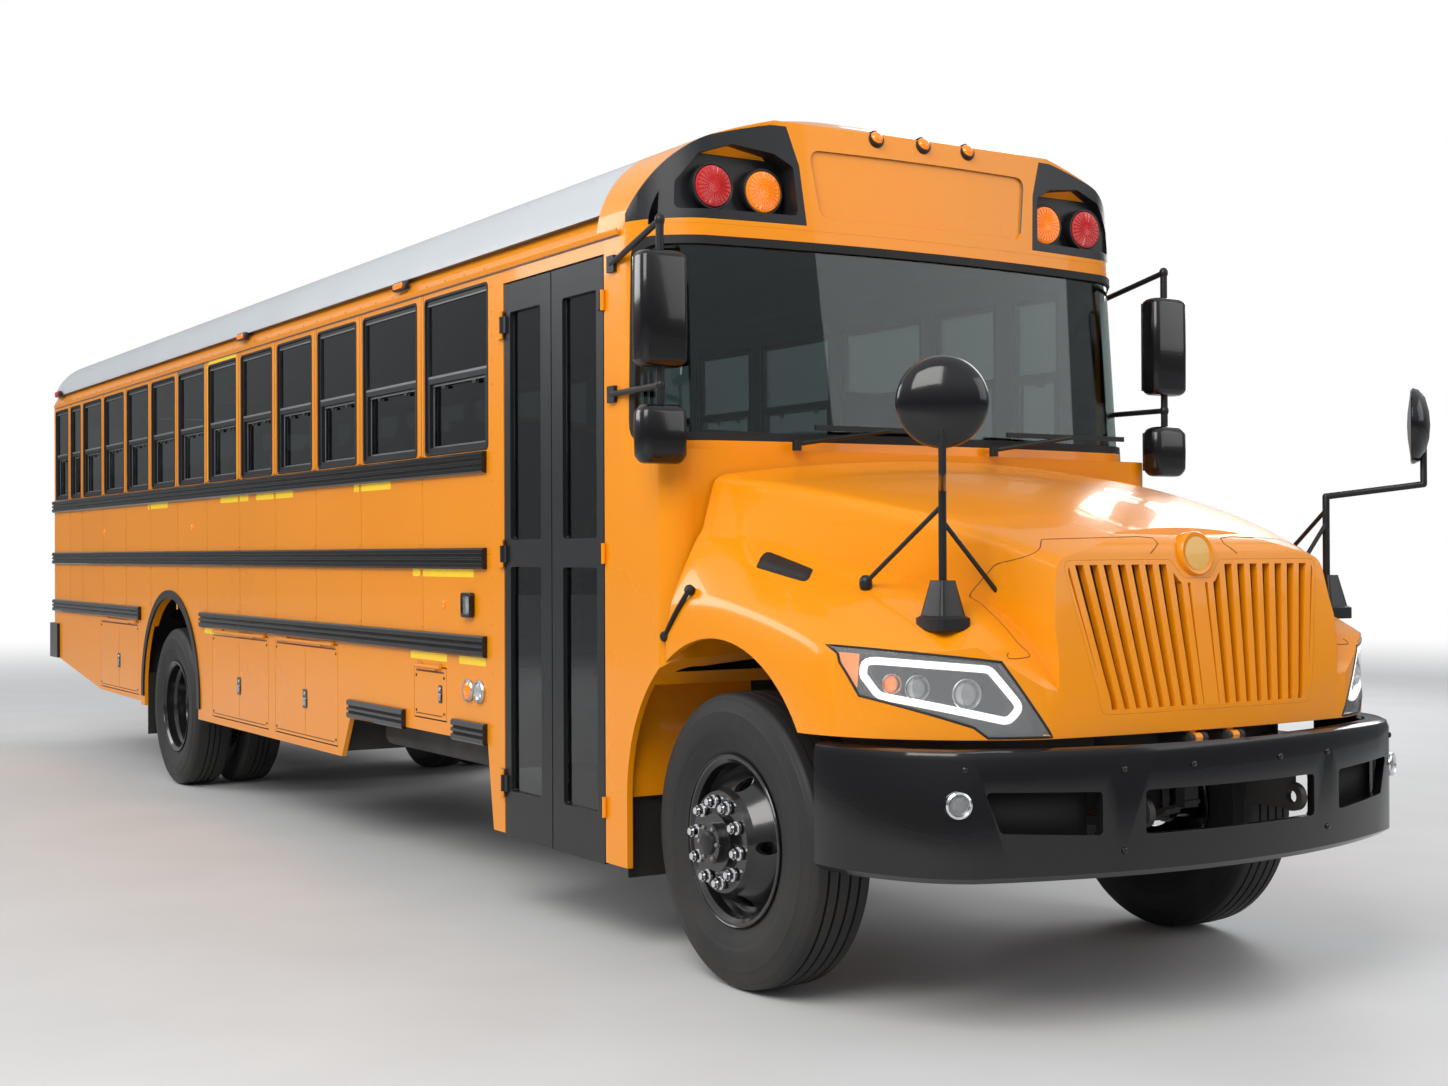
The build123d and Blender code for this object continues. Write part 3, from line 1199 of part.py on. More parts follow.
def stop_hinge():
    """Hinge of the stop arm, its pin clear of the rub rails."""
    return hinge((HALF + STOP_SIGN_X + 6 + HINGE_OFFSET, back(STOP_ARM[0]), STOP_ARM[1]), (1, 0, 0), (0, 0, 1), 200, 40)


def stop_arm():
    """Eight-sided signal arm on the left side, folded flat against the sheet."""
    y, z = back(STOP_ARM[0]), STOP_ARM[1]
    x = HALF + STOP_SIGN_X
    sign = across(Pos(y + 290, z) * RegularPolygon(225, 8, major_radius=False, rotation=22.5), x, x + 6)
    return sign + block(x, x + 6, y + 4, y + 200, z - 60, z + 60) + stop_hinge()[1]


def stop_arm_bracket():
    """Hinge box of the stop arm."""
    y, z = back(STOP_ARM[0]), STOP_ARM[1]
    return block(HALF, HALF + STOP_SIGN_X + 6 + HINGE_OFFSET, y - 150, y - 12, z - 110, z + 110) + stop_hinge()[0]


def wipers():
    """Two wiper arms parked along the foot of the glass."""
    pair = []
    for x in (-690, 250):
        y = back(215 + 70 * (x / 1090) ** 2)
        arm = rod((x, y, 1950), (x + 400, back(205), 2010), 9) + Pos(x, y, COWL_TOP + 20) * Cylinder(18, 40)
        blade = block(x + 60, x + 700, back(203), back(213), 2002, 2022)
        pair.append(arm + blade)
    return pair


# Write every node

write("chassis_frame", *chassis_frame())
write("crossmembers", *crossmembers())
write("leaf_springs", *springs())
write("front_axle", front_axle())
write("knuckle_left", knuckle(1))
write("knuckle_right", knuckle(-1))
write("tie_rod", tie_rod())
write("rear_axle", rear_axle())
write("engine", *engine())
write("fuel_tank", fuel_tank())
write("exhaust", exhaust())
for side_name, side_sign in (("left", 1), ("right", -1)):
    write(f"tyre_front_{side_name}", Pos(0, back(0), 0) * tyre(side_sign * FRONT_TYRE_X))
    write(f"wheel_front_{side_name}", front_rim(side_sign))
    twin = [Pos(0, REAR_AXLE_Y, 0) * tyre(side_sign * x) for x in (REAR_TYRE_X, REAR_TYRE_X - 2 * WHEEL_OFFSET)]
    write(f"tyres_rear_{side_name}", *twin)
    write(f"wheels_rear_{side_name}", rear_rim(side_sign))
write("floor", floor())
boxes = [luggage_box(front, rear, low) for _, front, rear, low, _ in COMPARTMENTS[1:]]
write("floor_wells", wheel_house(-1), wheel_house(1), *boxes)
write("step_well", step_well())
write("side_wall_left", side_wall(False))
write("side_wall_right", side_wall(True))
write("rub_rails", *rub_rails())
write("roof", roof())
write("front_cap", front_cap())
write("rear_wall", rear_wall())
write("cowl", cowl())
write("windshield", windshield())
frames = [window_frame(*w) for w in window_openings()]
panes = [p for w in window_openings() for p in window_pane(*w)]
left_frames = [mirrored(f) for f in frames] + [mirrored(window_frame(*w)) for w in LEFT_FRONT_WINDOWS]
left_panes = [mirrored(p) for p in panes] + [mirrored(p) for w in LEFT_FRONT_WINDOWS for p in window_pane(*w)]
write("window_frames", *frames, *left_frames)
write("window_glass", *panes, *left_panes, *rear_glass())
write("entry_leaf_front", entry_leaf(True))
write("entry_leaf_rear", entry_leaf(False))
write("entry_glass_front", *entry_glass(True))
write("entry_glass_rear", *entry_glass(False))
write("rear_door", rear_door())
write("rear_door_glass", *rear_door_glass())
for door_name, *sizes in COMPARTMENTS:
    write(door_name, compartment_door(*sizes))
for hatch_name, hatch_place in HATCHES.items():
    write(hatch_name, hatch(hatch_place))
write("hood", hood())
right_lamp = headlamp()
write("headlamps", right_lamp, mirrored(right_lamp))
write("grille", grille())
write("fender_mirrors", fender_mirror(), mirrored(fender_mirror()))
write("front_bumper", front_bumper())
write("rear_bumper", rear_bumper())
write("warning_lamps", *warning_lamps())
write("side_mirrors", side_mirror(), mirrored(side_mirror()))
write("seats", *seats())
write("dashboard", dashboard())
write("stop_arm", stop_arm())
write("stop_arm_bracket", stop_arm_bracket())
write("wipers", *wipers())
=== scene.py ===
"""School bus: finishes, small fittings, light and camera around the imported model.

The bus faces -Y and +X is its left (driver's) side.
Lengths along it are distances behind the front axle, in metres.
"""
import json
import logging
import math
from dataclasses import dataclass, field, replace
from enum import Enum
from typing import Iterable, Sequence

import bmesh
import bpy
from mathutils import Matrix, Vector
from mathutils.bvhtree import BVHTree


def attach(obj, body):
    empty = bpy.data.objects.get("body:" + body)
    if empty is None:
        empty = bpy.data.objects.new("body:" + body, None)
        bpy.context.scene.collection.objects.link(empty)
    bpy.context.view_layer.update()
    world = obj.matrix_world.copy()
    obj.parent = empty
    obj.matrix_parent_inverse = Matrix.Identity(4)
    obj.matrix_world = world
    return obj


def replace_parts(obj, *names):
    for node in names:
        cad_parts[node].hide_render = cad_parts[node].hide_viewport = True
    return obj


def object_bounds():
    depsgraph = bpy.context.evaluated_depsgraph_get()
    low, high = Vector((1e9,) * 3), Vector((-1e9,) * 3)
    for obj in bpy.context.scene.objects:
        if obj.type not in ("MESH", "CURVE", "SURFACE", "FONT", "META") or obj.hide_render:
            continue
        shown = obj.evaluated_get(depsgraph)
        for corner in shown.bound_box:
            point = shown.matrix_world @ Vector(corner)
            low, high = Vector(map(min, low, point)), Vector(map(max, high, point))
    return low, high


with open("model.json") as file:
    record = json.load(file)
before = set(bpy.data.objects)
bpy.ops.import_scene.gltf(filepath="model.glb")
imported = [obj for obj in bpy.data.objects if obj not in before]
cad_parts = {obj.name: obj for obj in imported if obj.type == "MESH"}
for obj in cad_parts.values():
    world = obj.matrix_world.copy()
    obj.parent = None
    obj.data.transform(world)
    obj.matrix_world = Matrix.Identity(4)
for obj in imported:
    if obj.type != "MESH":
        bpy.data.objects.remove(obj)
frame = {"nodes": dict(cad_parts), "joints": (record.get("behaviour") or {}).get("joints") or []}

log = logging.getLogger("school_bus")

Point = tuple[float, float, float]
Colour = tuple[float, float, float]
Outline = Sequence[tuple[float, float]]
Points = list[tuple[float, float]]
Hit = tuple[Vector, Vector] | None

JOINT_PLACE: dict[str, Point] = {joint["name"]: tuple(joint["pos_m"]) for joint in frame["joints"]}
FRONT_AXLE_Y = JOINT_PLACE["front_wheel_left_spin"][1]
REAR_AXLE_Y = JOINT_PLACE["rear_wheels_left_spin"][1]
TYRE_RADIUS = JOINT_PLACE["front_wheel_left_spin"][2]
HALF = 1.219
BODY_REAR = 10.514
# Gap between two pieces whose faces would else lie in one plane, and a span a little wider than the body
HAIR = 0.0003
ACROSS = (-HALF - 0.005, HALF + 0.005)
CAD_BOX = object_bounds()


def back(distance: float) -> float:
    """Y of a place at this distance behind the front axle."""
    return FRONT_AXLE_Y + distance


class Side(Enum):
    """Left and right of the bus, as the sign of X."""

    LEFT = 1
    RIGHT = -1


class Graph:
    """A node tree while it is wired."""

    def __init__(self, tree: bpy.types.NodeTree) -> None:
        """Wraps the tree."""
        self.tree = tree

    def add(self, kind: str, inputs: dict | None = None, **settings: object) -> bpy.types.Node:
        """Adds a node.

        Args:
            kind: Blender's name of the node type.
            inputs: Values or output sockets for its inputs, by name or index.
            settings: Properties of the node.

        Returns:
            The new node.
        """
        node = self.tree.nodes.new(kind)
        for key, value in settings.items():
            setattr(node, key, value)
        for key, value in (inputs or {}).items():
            if isinstance(value, bpy.types.NodeSocket):
                self.tree.links.new(value, node.inputs[key])
            else:
                node.inputs[key].default_value = value
        return node

    def effect(self, which: "Effect", inputs: dict) -> bpy.types.NodeOutputs:
        """Outputs of a shared effect."""
        return self.add("ShaderNodeGroup", inputs, node_tree=effect_group(which)).outputs

    def math(self, operation: str, a: object, b: object = 0.0, clamp: bool = False) -> bpy.types.NodeSocket:
        """Output of a Math node on one or two values."""
        return self.add("ShaderNodeMath", {0: a, 1: b}, operation=operation, use_clamp=clamp).outputs[0]

    def mix(self, share: object, a: object, b: object, blend: str = "MIX") -> bpy.types.NodeSocket:
        """Colour output of a Mix node.

        Args:
            share: How much of b.
            a: First colour.
            b: Second colour.
            blend: Blend type.

        Returns:
            The mixed colour.
        """
        colours = {6: (*a, 1) if isinstance(a, tuple) else a, 7: (*b, 1) if isinstance(b, tuple) else b}
        return self.add("ShaderNodeMix", {0: share, **colours}, data_type="RGBA", blend_type=blend).outputs[2]

    def spread(self, value: object, low: float, high: float, to_low: object = 0.0, to_high: object = 1.0,
               smooth: bool = False) -> bpy.types.NodeSocket:
        """Output of a Map Range node from low..high to to_low..to_high."""
        kind = "SMOOTHSTEP" if smooth else "LINEAR"
        return self.add("ShaderNodeMapRange", {0: value, 1: low, 2: high, 3: to_low, 4: to_high},
                        interpolation_type=kind).outputs[0]

    def place(self) -> bpy.types.NodeSocket:
        """Object coordinates."""
        return self.add("ShaderNodeTexCoord").outputs["Object"]

    def noise(self, scale: object, detail: float = 2.0, vector: object = None) -> bpy.types.NodeSocket:
        """Value of a noise texture, on Object coordinates unless a vector is given."""
        where = self.place() if vector is None else vector
        return self.add("ShaderNodeTexNoise", {"Vector": where, "Scale": scale, "Detail": detail}).outputs[0]


def cleared(block: bpy.types.Material | bpy.types.World) -> Graph:
    """Empty node tree of a material or world."""
    block.use_nodes = True
    block.node_tree.nodes.clear()
    return Graph(block.node_tree)


class Effect(Enum):
    """Shader effects that several finishes share, one node group each."""

    MOTTLE = "colour_mottle"
    DUST = "road_dust"
    PEEL = "surface_peel"
    EDGE = "soft_edge"
    LINING = "cabin_lining"


def effect_group(effect: Effect) -> bpy.types.NodeTree:
    """Node group of a shared effect, built on first use.

    Args:
        effect: Which one.

    Returns:
        The shader node group.
    """
    found = bpy.data.node_groups.get(effect.value)
    if found is not None:
        return found
    tree = bpy.data.node_groups.new(effect.value, "ShaderNodeTree")
    sockets = EFFECT_SOCKETS[effect]
    for kind, names in (("INPUT", sockets[0]), ("OUTPUT", sockets[1])):
        for name, socket_type in names:
            tree.interface.new_socket(name=name, in_out=kind, socket_type=socket_type)
    graph = Graph(tree)
    inputs = graph.add("NodeGroupInput").outputs
    results = EFFECT_WIRING[effect](graph, inputs)
    graph.add("NodeGroupOutput", results)
    return tree


def wire_mottle(graph: Graph, inputs: bpy.types.NodeOutputs) -> dict:
    """Colour that drifts a little lighter and darker over the surface."""
    value = graph.noise(inputs["Scale"], 4.0)
    swing = graph.math("MULTIPLY", graph.math("SUBTRACT", value, 0.5), inputs["Amount"])
    level = graph.math("ADD", graph.math("MULTIPLY", swing, 2.0), 1.0)
    shifted = graph.add("ShaderNodeHueSaturation", {"Value": level, "Color": inputs["Colour"]}).outputs[0]
    return {"Colour": shifted, "Value": value}


def wire_dust(graph: Graph, inputs: bpy.types.NodeOutputs) -> dict:
    """Dust that is thickest near the road and lies in patches."""
    height = graph.add("ShaderNodeSeparateXYZ", {0: graph.place()}).outputs[2]
    low = graph.math("SUBTRACT", 1.0, graph.math("DIVIDE", height, inputs["Height"]), clamp=True)
    patches = graph.spread(graph.noise(3.0, 6.0), 0.35, 0.7, 0.25, 1.0)
    fine = graph.spread(graph.noise(90.0, 3.0), 0.3, 0.7, 0.6, 1.0)
    mask = graph.math("MULTIPLY", graph.math("MULTIPLY", graph.math("POWER", low, 1.6), patches), fine)
    mask = graph.math("MULTIPLY", mask, inputs["Amount"], clamp=True)
    return {"Colour": graph.mix(mask, inputs["Colour"], inputs["Dust"]), "Mask": mask}


def wire_peel(graph: Graph, inputs: bpy.types.NodeOutputs) -> dict:
    """Fine relief: orange peel of paint, or the grain of plastic and rubber."""
    fine = graph.noise(inputs["Scale"], 2.0)
    broad = graph.noise(graph.math("MULTIPLY", inputs["Scale"], 0.12), 2.0)
    return {"Height": graph.math("ADD", graph.math("MULTIPLY", fine, 0.6),
                                 graph.math("MULTIPLY", broad, 0.4))}


def wire_edge(graph: Graph, inputs: bpy.types.NodeOutputs) -> dict:
    """Normal rounded at corners, and a mask of the corners."""
    rounded = graph.add("ShaderNodeBevel", {"Radius": inputs["Radius"]}, samples=4).outputs[0]
    flat = graph.add("ShaderNodeNewGeometry").outputs["Normal"]
    same = graph.add("ShaderNodeVectorMath", {0: rounded, 1: flat}, operation="DOT_PRODUCT").outputs["Value"]
    return {"Normal": rounded, "Mask": graph.spread(same, 0.99, 0.85)}


def wire_lining(graph: Graph, inputs: bpy.types.NodeOutputs) -> dict:
    """Mask of the faces that look into the cabin."""
    middle = graph.add("ShaderNodeCombineXYZ", {0: 0.0, 1: 1.0, 2: 1.9}).outputs[0]
    away = graph.add("ShaderNodeVectorMath", {0: graph.place(), 1: middle}, operation="SUBTRACT").outputs[0]
    keep = graph.add("ShaderNodeCombineXYZ", {0: 1.0, 1: inputs["Along"], 2: 1.0}).outputs[0]
    away = graph.add("ShaderNodeVectorMath", {0: away, 1: keep}, operation="MULTIPLY").outputs[0]
    face = graph.add("ShaderNodeNewGeometry").outputs["True Normal"]
    facing = graph.add("ShaderNodeVectorMath", {0: away, 1: face}, operation="DOT_PRODUCT").outputs["Value"]
    return {"Mask": graph.math("LESS_THAN", facing, -0.2)}


COLOUR, VALUE, VECTOR = "NodeSocketColor", "NodeSocketFloat", "NodeSocketVector"
EFFECT_SOCKETS = {
    Effect.MOTTLE: ([("Colour", COLOUR), ("Amount", VALUE), ("Scale", VALUE)],
                    [("Colour", COLOUR), ("Value", VALUE)]),
    Effect.DUST: ([("Colour", COLOUR), ("Dust", COLOUR), ("Height", VALUE), ("Amount", VALUE)],
                  [("Colour", COLOUR), ("Mask", VALUE)]),
    Effect.PEEL: ([("Scale", VALUE)], [("Height", VALUE)]),
    Effect.EDGE: ([("Radius", VALUE)], [("Normal", VECTOR), ("Mask", VALUE)]),
    Effect.LINING: ([("Along", VALUE)], [("Mask", VALUE)]),
}
EFFECT_WIRING = {
    Effect.MOTTLE: wire_mottle, Effect.DUST: wire_dust, Effect.PEEL: wire_peel, Effect.EDGE: wire_edge,
    Effect.LINING: wire_lining,
}

ROAD_DUST: Colour = (0.30, 0.25, 0.19)
COAT_ROUGHNESS = 0.04
WORN_EDGE = 0.004


@dataclass(frozen=True)
class Finish:
    """One surface finish, made into a material the first time it is used."""

    name: str
    colour: Colour
    slot: str
    roughness: float = 0.5
    metallic: float = 0.0
    coat: float = 0.0
    drift: float = 0.03
    drift_scale: float = 1.2
    grain: float = 0.0
    grain_scale: float = 400.0
    edge: float = 0.0
    worn: Colour | None = None
    dust: float = 0.0
    dust_height: float = 1.2
    lining: Colour | None = None
    lining_along: float = 0.0
    clear: float = 0.0
    alpha: float = 1.0
    glow: Colour | None = None
    glow_strength: float = 0.0
    ior: float = 1.5
    shine: float = 0.5

    def material(self) -> bpy.types.Material:
        """The material of this finish."""
        found = bpy.data.materials.get(self.name)
        if found is not None:
            return found
        made = bpy.data.materials.new(self.name)
        graph = cleared(made)
        shader = graph.add("ShaderNodeBsdfPrincipled", {
            "Metallic": self.metallic, "Specular IOR Level": self.shine, "Coat Weight": self.coat,
            "Coat Roughness": COAT_ROUGHNESS, "Transmission Weight": self.clear, "IOR": self.ior,
            "Alpha": self.alpha})
        graph.add("ShaderNodeOutputMaterial", {"Surface": shader.outputs[0]})
        self._colour(graph, shader)
        self._relief(graph, shader)
        if self.glow is not None:
            shader.inputs["Emission Color"].default_value = (*self.glow, 1)
            shader.inputs["Emission Strength"].default_value = self.glow_strength
        return made

    def _colour(self, graph: Graph, shader: bpy.types.Node) -> None:
        """Wires base colour and roughness; a clear or mirror finish is plain, without the shared effects."""
        if self.drift == 0:
            shader.inputs["Base Color"].default_value = (*self.colour, 1)
            shader.inputs["Roughness"].default_value = self.roughness
            return
        mottle = graph.effect(Effect.MOTTLE, {"Colour": (*self.colour, 1), "Amount": self.drift,
                                              "Scale": self.drift_scale})
        colour = mottle["Colour"]
        rough = graph.spread(mottle["Value"], 0.3, 0.7, self.roughness * 0.85,
                             min(1.0, self.roughness * 1.15))
        if self.lining is not None:
            inside = graph.effect(Effect.LINING, {"Along": self.lining_along})["Mask"]
            colour = graph.mix(inside, colour, self.lining)
        if self.worn is not None:
            corners = graph.effect(Effect.EDGE, {"Radius": WORN_EDGE})["Mask"]
            patchy = graph.spread(graph.noise(22.0, 5.0), 0.48, 0.66)
            colour = graph.mix(graph.math("MULTIPLY", corners, patchy), colour, self.worn)
        if self.dust > 0:
            dust = graph.effect(Effect.DUST, {
                "Colour": colour, "Dust": (*ROAD_DUST, 1), "Height": self.dust_height,
                "Amount": self.dust})
            colour = dust["Colour"]
            rough = graph.math("ADD", rough, graph.math("MULTIPLY", dust["Mask"], 0.5), clamp=True)
        graph.tree.links.new(colour, shader.inputs["Base Color"])
        graph.tree.links.new(rough, shader.inputs["Roughness"])

    def _relief(self, graph: Graph, shader: bpy.types.Node) -> None:
        """Wires the normal: rounded corners under a fine grain."""
        normal = None
        if self.edge > 0:
            normal = graph.effect(Effect.EDGE, {"Radius": self.edge})["Normal"]
        if self.grain > 0:
            height = graph.effect(Effect.PEEL, {"Scale": self.grain_scale})["Height"]
            bump = graph.add("ShaderNodeBump", {"Height": height, "Distance": self.grain})
            if normal is not None:
                graph.tree.links.new(normal, bump.inputs["Normal"])
            normal = bump.outputs[0]
        if normal is not None:
            graph.tree.links.new(normal, shader.inputs["Normal"])


YELLOW: Colour = (0.84, 0.275, 0.0015)
LINING_GREY: Colour = (0.13, 0.14, 0.14)

YELLOW_PAINT = Finish("bus_yellow_enamel", YELLOW, "yellow_paint", 0.30, coat=0.35, shine=0.25, drift=0.04,
                      drift_scale=0.9, grain=0.0005, grain_scale=160.0, edge=0.004, dust=0.12,
                      dust_height=0.9)
YELLOW_PANEL = replace(YELLOW_PAINT, name="bus_yellow_lined_panel", roughness=0.32, coat=0.3, drift_scale=0.7,
                       grain_scale=140.0, edge=0.003, dust=0.15, dust_height=0.95, lining=LINING_GREY)
YELLOW_FRONT = replace(YELLOW_PAINT, name="bus_yellow_lined_front", dust=0.1, dust_height=0.8,
                       lining=LINING_GREY, lining_along=1.0)
WHITE_ROOF = Finish("white_roof_enamel", (0.50, 0.53, 0.56), "white_paint", 0.35, coat=0.3, drift=0.05,
                    drift_scale=1.8, edge=0.004, lining=LINING_GREY)
BLACK_GLOSS = Finish("black_gloss_enamel", (0.006, 0.006, 0.007), "black_paint", 0.14, coat=0.25, shine=0.35,
                     drift=0.1, grain=0.0003, grain_scale=90.0, edge=0.004, dust=0.03, dust_height=1.1)
BLACK_SATIN = Finish("black_satin_powder_coat", (0.011, 0.012, 0.014), "black_paint", 0.38, shine=0.35,
                     drift=0.12, grain=0.0002, grain_scale=900.0, edge=0.002, dust=0.06, dust_height=1.0)
BLACK_PLASTIC = Finish("black_grained_plastic", (0.012, 0.013, 0.015), "black_plastic", 0.38, shine=0.4,
                       drift=0.1, grain=0.0004, grain_scale=700.0, edge=0.003)
RUBBER = Finish("black_rubber", (0.012, 0.012, 0.012), "tyre", 0.6, shine=0.3, drift=0.15, drift_scale=4.0,
                grain=0.0004, grain_scale=350.0, edge=0.002, dust=0.12, dust_height=1.1)
TYRE_RUBBER = Finish("tyre_rubber", (0.013, 0.0135, 0.0145), "tyre", 0.6, shine=0.4, drift=0.12,
                     drift_scale=5.0, grain=0.0005, grain_scale=260.0, dust=0.10, dust_height=1.3)
CHASSIS_BLACK = Finish("chassis_black", (0.014, 0.014, 0.015), "chassis_paint", 0.6, drift=0.3,
                       drift_scale=6.0, grain=0.0008, grain_scale=120.0, edge=0.003, worn=(0.07, 0.045, 0.03),
                       dust=0.3, dust_height=1.6)
WHEEL_BLACK = Finish("wheel_black_enamel", (0.008, 0.008, 0.009), "black_paint", 0.17, coat=0.3, drift=0.1,
                     grain=0.0003, grain_scale=120.0, edge=0.003, dust=0.06, dust_height=1.2)
IRON = Finish("cast_iron_grey", (0.16, 0.16, 0.165), "engine_iron", 0.62, 0.3, drift=0.25, drift_scale=8.0,
              grain=0.001, grain_scale=180.0, edge=0.004, dust=0.4, dust_height=2.0)
STEEL = Finish("weathered_steel", (0.32, 0.31, 0.30), "steel", 0.42, 1.0, drift=0.3, drift_scale=7.0,
               grain=0.0003, edge=0.003, dust=0.5, dust_height=1.4)
CHROME = Finish("polished_chrome", (0.72, 0.73, 0.75), "steel", 0.09, 1.0, drift=0.02, edge=0.0015)
BRIGHT_ALLOY = Finish("bright_alloy", (0.58, 0.58, 0.58), "steel", 0.3, 1.0, drift=0.06, drift_scale=12.0,
                      edge=0.0015)
TINTED_GLASS = Finish("tinted_side_glass", (0.10, 0.12, 0.125), "glass", 0.015, clear=1.0, drift=0.0,
                      ior=1.45)
SHIELD_GLASS = Finish("windshield_glass", (0.30, 0.38, 0.37), "glass", 0.015, clear=1.0, drift=0.0, ior=1.45)
FLOOR_RUBBER = Finish("ribbed_floor_rubber", (0.03, 0.03, 0.032), "floor_rubber", 0.6, drift=0.12,
                      grain=0.001, grain_scale=120.0, dust=0.4, dust_height=2.5)
STEP_BLACK = Finish("step_black", (0.035, 0.035, 0.037), "black_paint", 0.55, drift=0.2, drift_scale=5.0,
                    grain=0.0006, grain_scale=300.0, edge=0.003, dust=0.5, dust_height=1.2)
DASH_PLASTIC = Finish("dash_grey_plastic", (0.045, 0.047, 0.05), "grey_plastic", 0.5, drift=0.08,
                      grain=0.0006, grain_scale=500.0, edge=0.006)
SEAT_VINYL = Finish("dark_seat_vinyl", (0.018, 0.026, 0.03), "seat_vinyl", 0.42, drift=0.12, drift_scale=6.0,
                    grain=0.0012, grain_scale=260.0, edge=0.01)
RAIL_YELLOW = Finish("grab_rail_yellow", (0.80, 0.42, 0.01), "yellow_paint", 0.35, coat=0.3)
# Amber and red lenses glow faintly, as lit lamps do; the reflectors use these finishes too, and on them the
# glow is a painted glint.
AMBER_LENS = Finish("amber_lens", (0.85, 0.20, 0.005), "clear_lens", 0.12, coat=0.4, glow=(1.0, 0.22, 0.0),
                    glow_strength=0.35, grain=0.0006, grain_scale=110.0)
RED_LENS = replace(AMBER_LENS, name="red_lens", colour=(0.62, 0.008, 0.006), slot="red_lens",
                   glow=(1.0, 0.015, 0.008))
CLEAR_LENS = Finish("clear_moulded_lens", (0.75, 0.77, 0.80), "clear_lens", 0.06, clear=0.75, ior=1.4,
                    grain=0.0006, grain_scale=90.0)
LAMP_COVER = Finish("clear_lamp_cover", (0.9, 0.92, 0.95), "clear_lens", 0.02, coat=0.3, alpha=0.10)
LED_WHITE = Finish("led_light_guide", (0.9, 0.92, 0.95), "clear_lens", 0.3, glow=(1.0, 1.0, 1.0),
                   glow_strength=0.9)
MIRROR_GLASS = Finish("mirror_glass", (0.80, 0.82, 0.84), "steel", 0.03, 1.0, drift=0.0)
SIGN_RED = Finish("stop_sign_red", (0.60, 0.012, 0.015), "stop_red", 0.28, coat=0.4, grain=0.0003,
                  grain_scale=300.0)
SIGN_WHITE = Finish("reflective_white", (0.80, 0.81, 0.82), "white_paint", 0.3, grain=0.0003,
                    grain_scale=900.0)
# Reflective tape; its faint yellow emission is a painted glint, the light the tape sends back drawn as glow.
TAPE_YELLOW = Finish("reflective_yellow_tape", (0.95, 0.62, 0.01), "yellow_paint", 0.28, grain=0.0004,
                     grain_scale=900.0, glow=(0.95, 0.62, 0.01), glow_strength=0.08)
SASH_GREY = Finish("anodised_sash", (0.23, 0.235, 0.24), "steel", 0.42, 0.6, drift=0.06)
# Near-black finish for sheets set in openings, slots and pockets to stand for the shade in them: painted
# shade.
SHADOW_BLACK = Finish("deep_recess_black", (0.003, 0.003, 0.003), "black_plastic", 0.7, drift=0.1)
PALE_GOLD = Finish("emblem_pale_enamel", (0.74, 0.40, 0.08), "yellow_paint", 0.3, coat=0.5, drift=0.04,
                   grain=0.0003, grain_scale=200.0)
SEAM_BROWN = Finish("panel_seam_shadow", (0.16, 0.05, 0.004), "yellow_paint", 0.7, drift=0.1)


# Mesh building

COLLECTION = bpy.context.scene.collection


def finish_piece(name: str, mesh: bpy.types.Mesh, finish: Finish, body: str, smooth_angle: float = 35.0,
                 bevel: float = 0.0) -> bpy.types.Object:
    """Dresses a mesh that is in place and fastens it to its body.

    Args:
        name: Name of the piece.
        mesh: Its mesh, in the bus's frame.
        finish: Its finish.
        body: The body it moves with.
        smooth_angle: Edges sharper than this many degrees stay sharp.
        bevel: Width of the bevel on its sharp edges.

    Returns:
        The piece.
    """
    mesh.materials.clear()
    mesh.materials.append(finish.material())
    mesh.polygons.foreach_set("use_smooth", [True] * len(mesh.polygons))
    mesh.set_sharp_from_angle(angle=math.radians(smooth_angle))
    piece = bpy.data.objects.new(name, mesh)
    COLLECTION.objects.link(piece)
    if bevel > 0:
        modifier = piece.modifiers.new("edges", "BEVEL")
        modifier.width = bevel
        modifier.segments = 2
        modifier.limit_method = "ANGLE"
        modifier.angle_limit = math.radians(40)
    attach(piece, body)
    log.info("%s: %d faces", name, len(mesh.polygons))
    return piece


def mesh_of(name: str, build: bmesh.types.BMesh, recalc: bool = False) -> bpy.types.Mesh:
    """Mesh of a bmesh, if asked with its faces turned outwards."""
    if recalc:
        bmesh.ops.recalc_face_normals(build, faces=build.faces)
    mesh = bpy.data.meshes.new(name)
    build.to_mesh(mesh)
    build.free()
    return mesh


def built(name: str, build: bmesh.types.BMesh, finish: Finish, body: str, smooth_angle: float = 35.0,
          bevel: float = 0.0, recalc: bool = True) -> bpy.types.Object:
    """Piece of a bmesh, with its doubles merged."""
    bmesh.ops.remove_doubles(build, verts=build.verts, dist=1e-5)
    return finish_piece(name, mesh_of(name, build, recalc), finish, body, smooth_angle, bevel)


def thicken(piece: bpy.types.Object, thickness: float, offset: float = 0.0) -> None:
    """Gives a sheet its thickness, to both sides unless an offset is given."""
    modifier = piece.modifiers.new("wall", "SOLIDIFY")
    modifier.thickness = thickness
    modifier.offset = offset


def bridge(build: bmesh.types.BMesh, first: Sequence[bmesh.types.BMVert],
           second: Sequence[bmesh.types.BMVert], closed: bool = True) -> None:
    """Adds the faces between two rows of as many points."""
    count = len(first)
    for n in range(count if closed else count - 1):
        m = (n + 1) % count
        build.faces.new((first[n], first[m], second[m], second[n]))


def turns(count: int) -> list[float]:
    """Angles of a full turn in equal steps."""
    return [2 * math.pi * n / count for n in range(count)]


def on_circle(x: float, y: float, radius: float, angles: Iterable[float]) -> Points:
    """Points on a circle about a centre."""
    return [(x + radius * math.cos(a), y + radius * math.sin(a)) for a in angles]


def add_box(build: bmesh.types.BMesh, low: Point, high: Point) -> None:
    """Adds a box between two corners."""
    made = bmesh.ops.create_cube(build, size=1.0)["verts"]
    size = [h - l for l, h in zip(low, high)]
    middle = [(h + l) / 2 for l, h in zip(low, high)]
    bmesh.ops.scale(build, vec=size, verts=made)
    bmesh.ops.translate(build, vec=middle, verts=made)


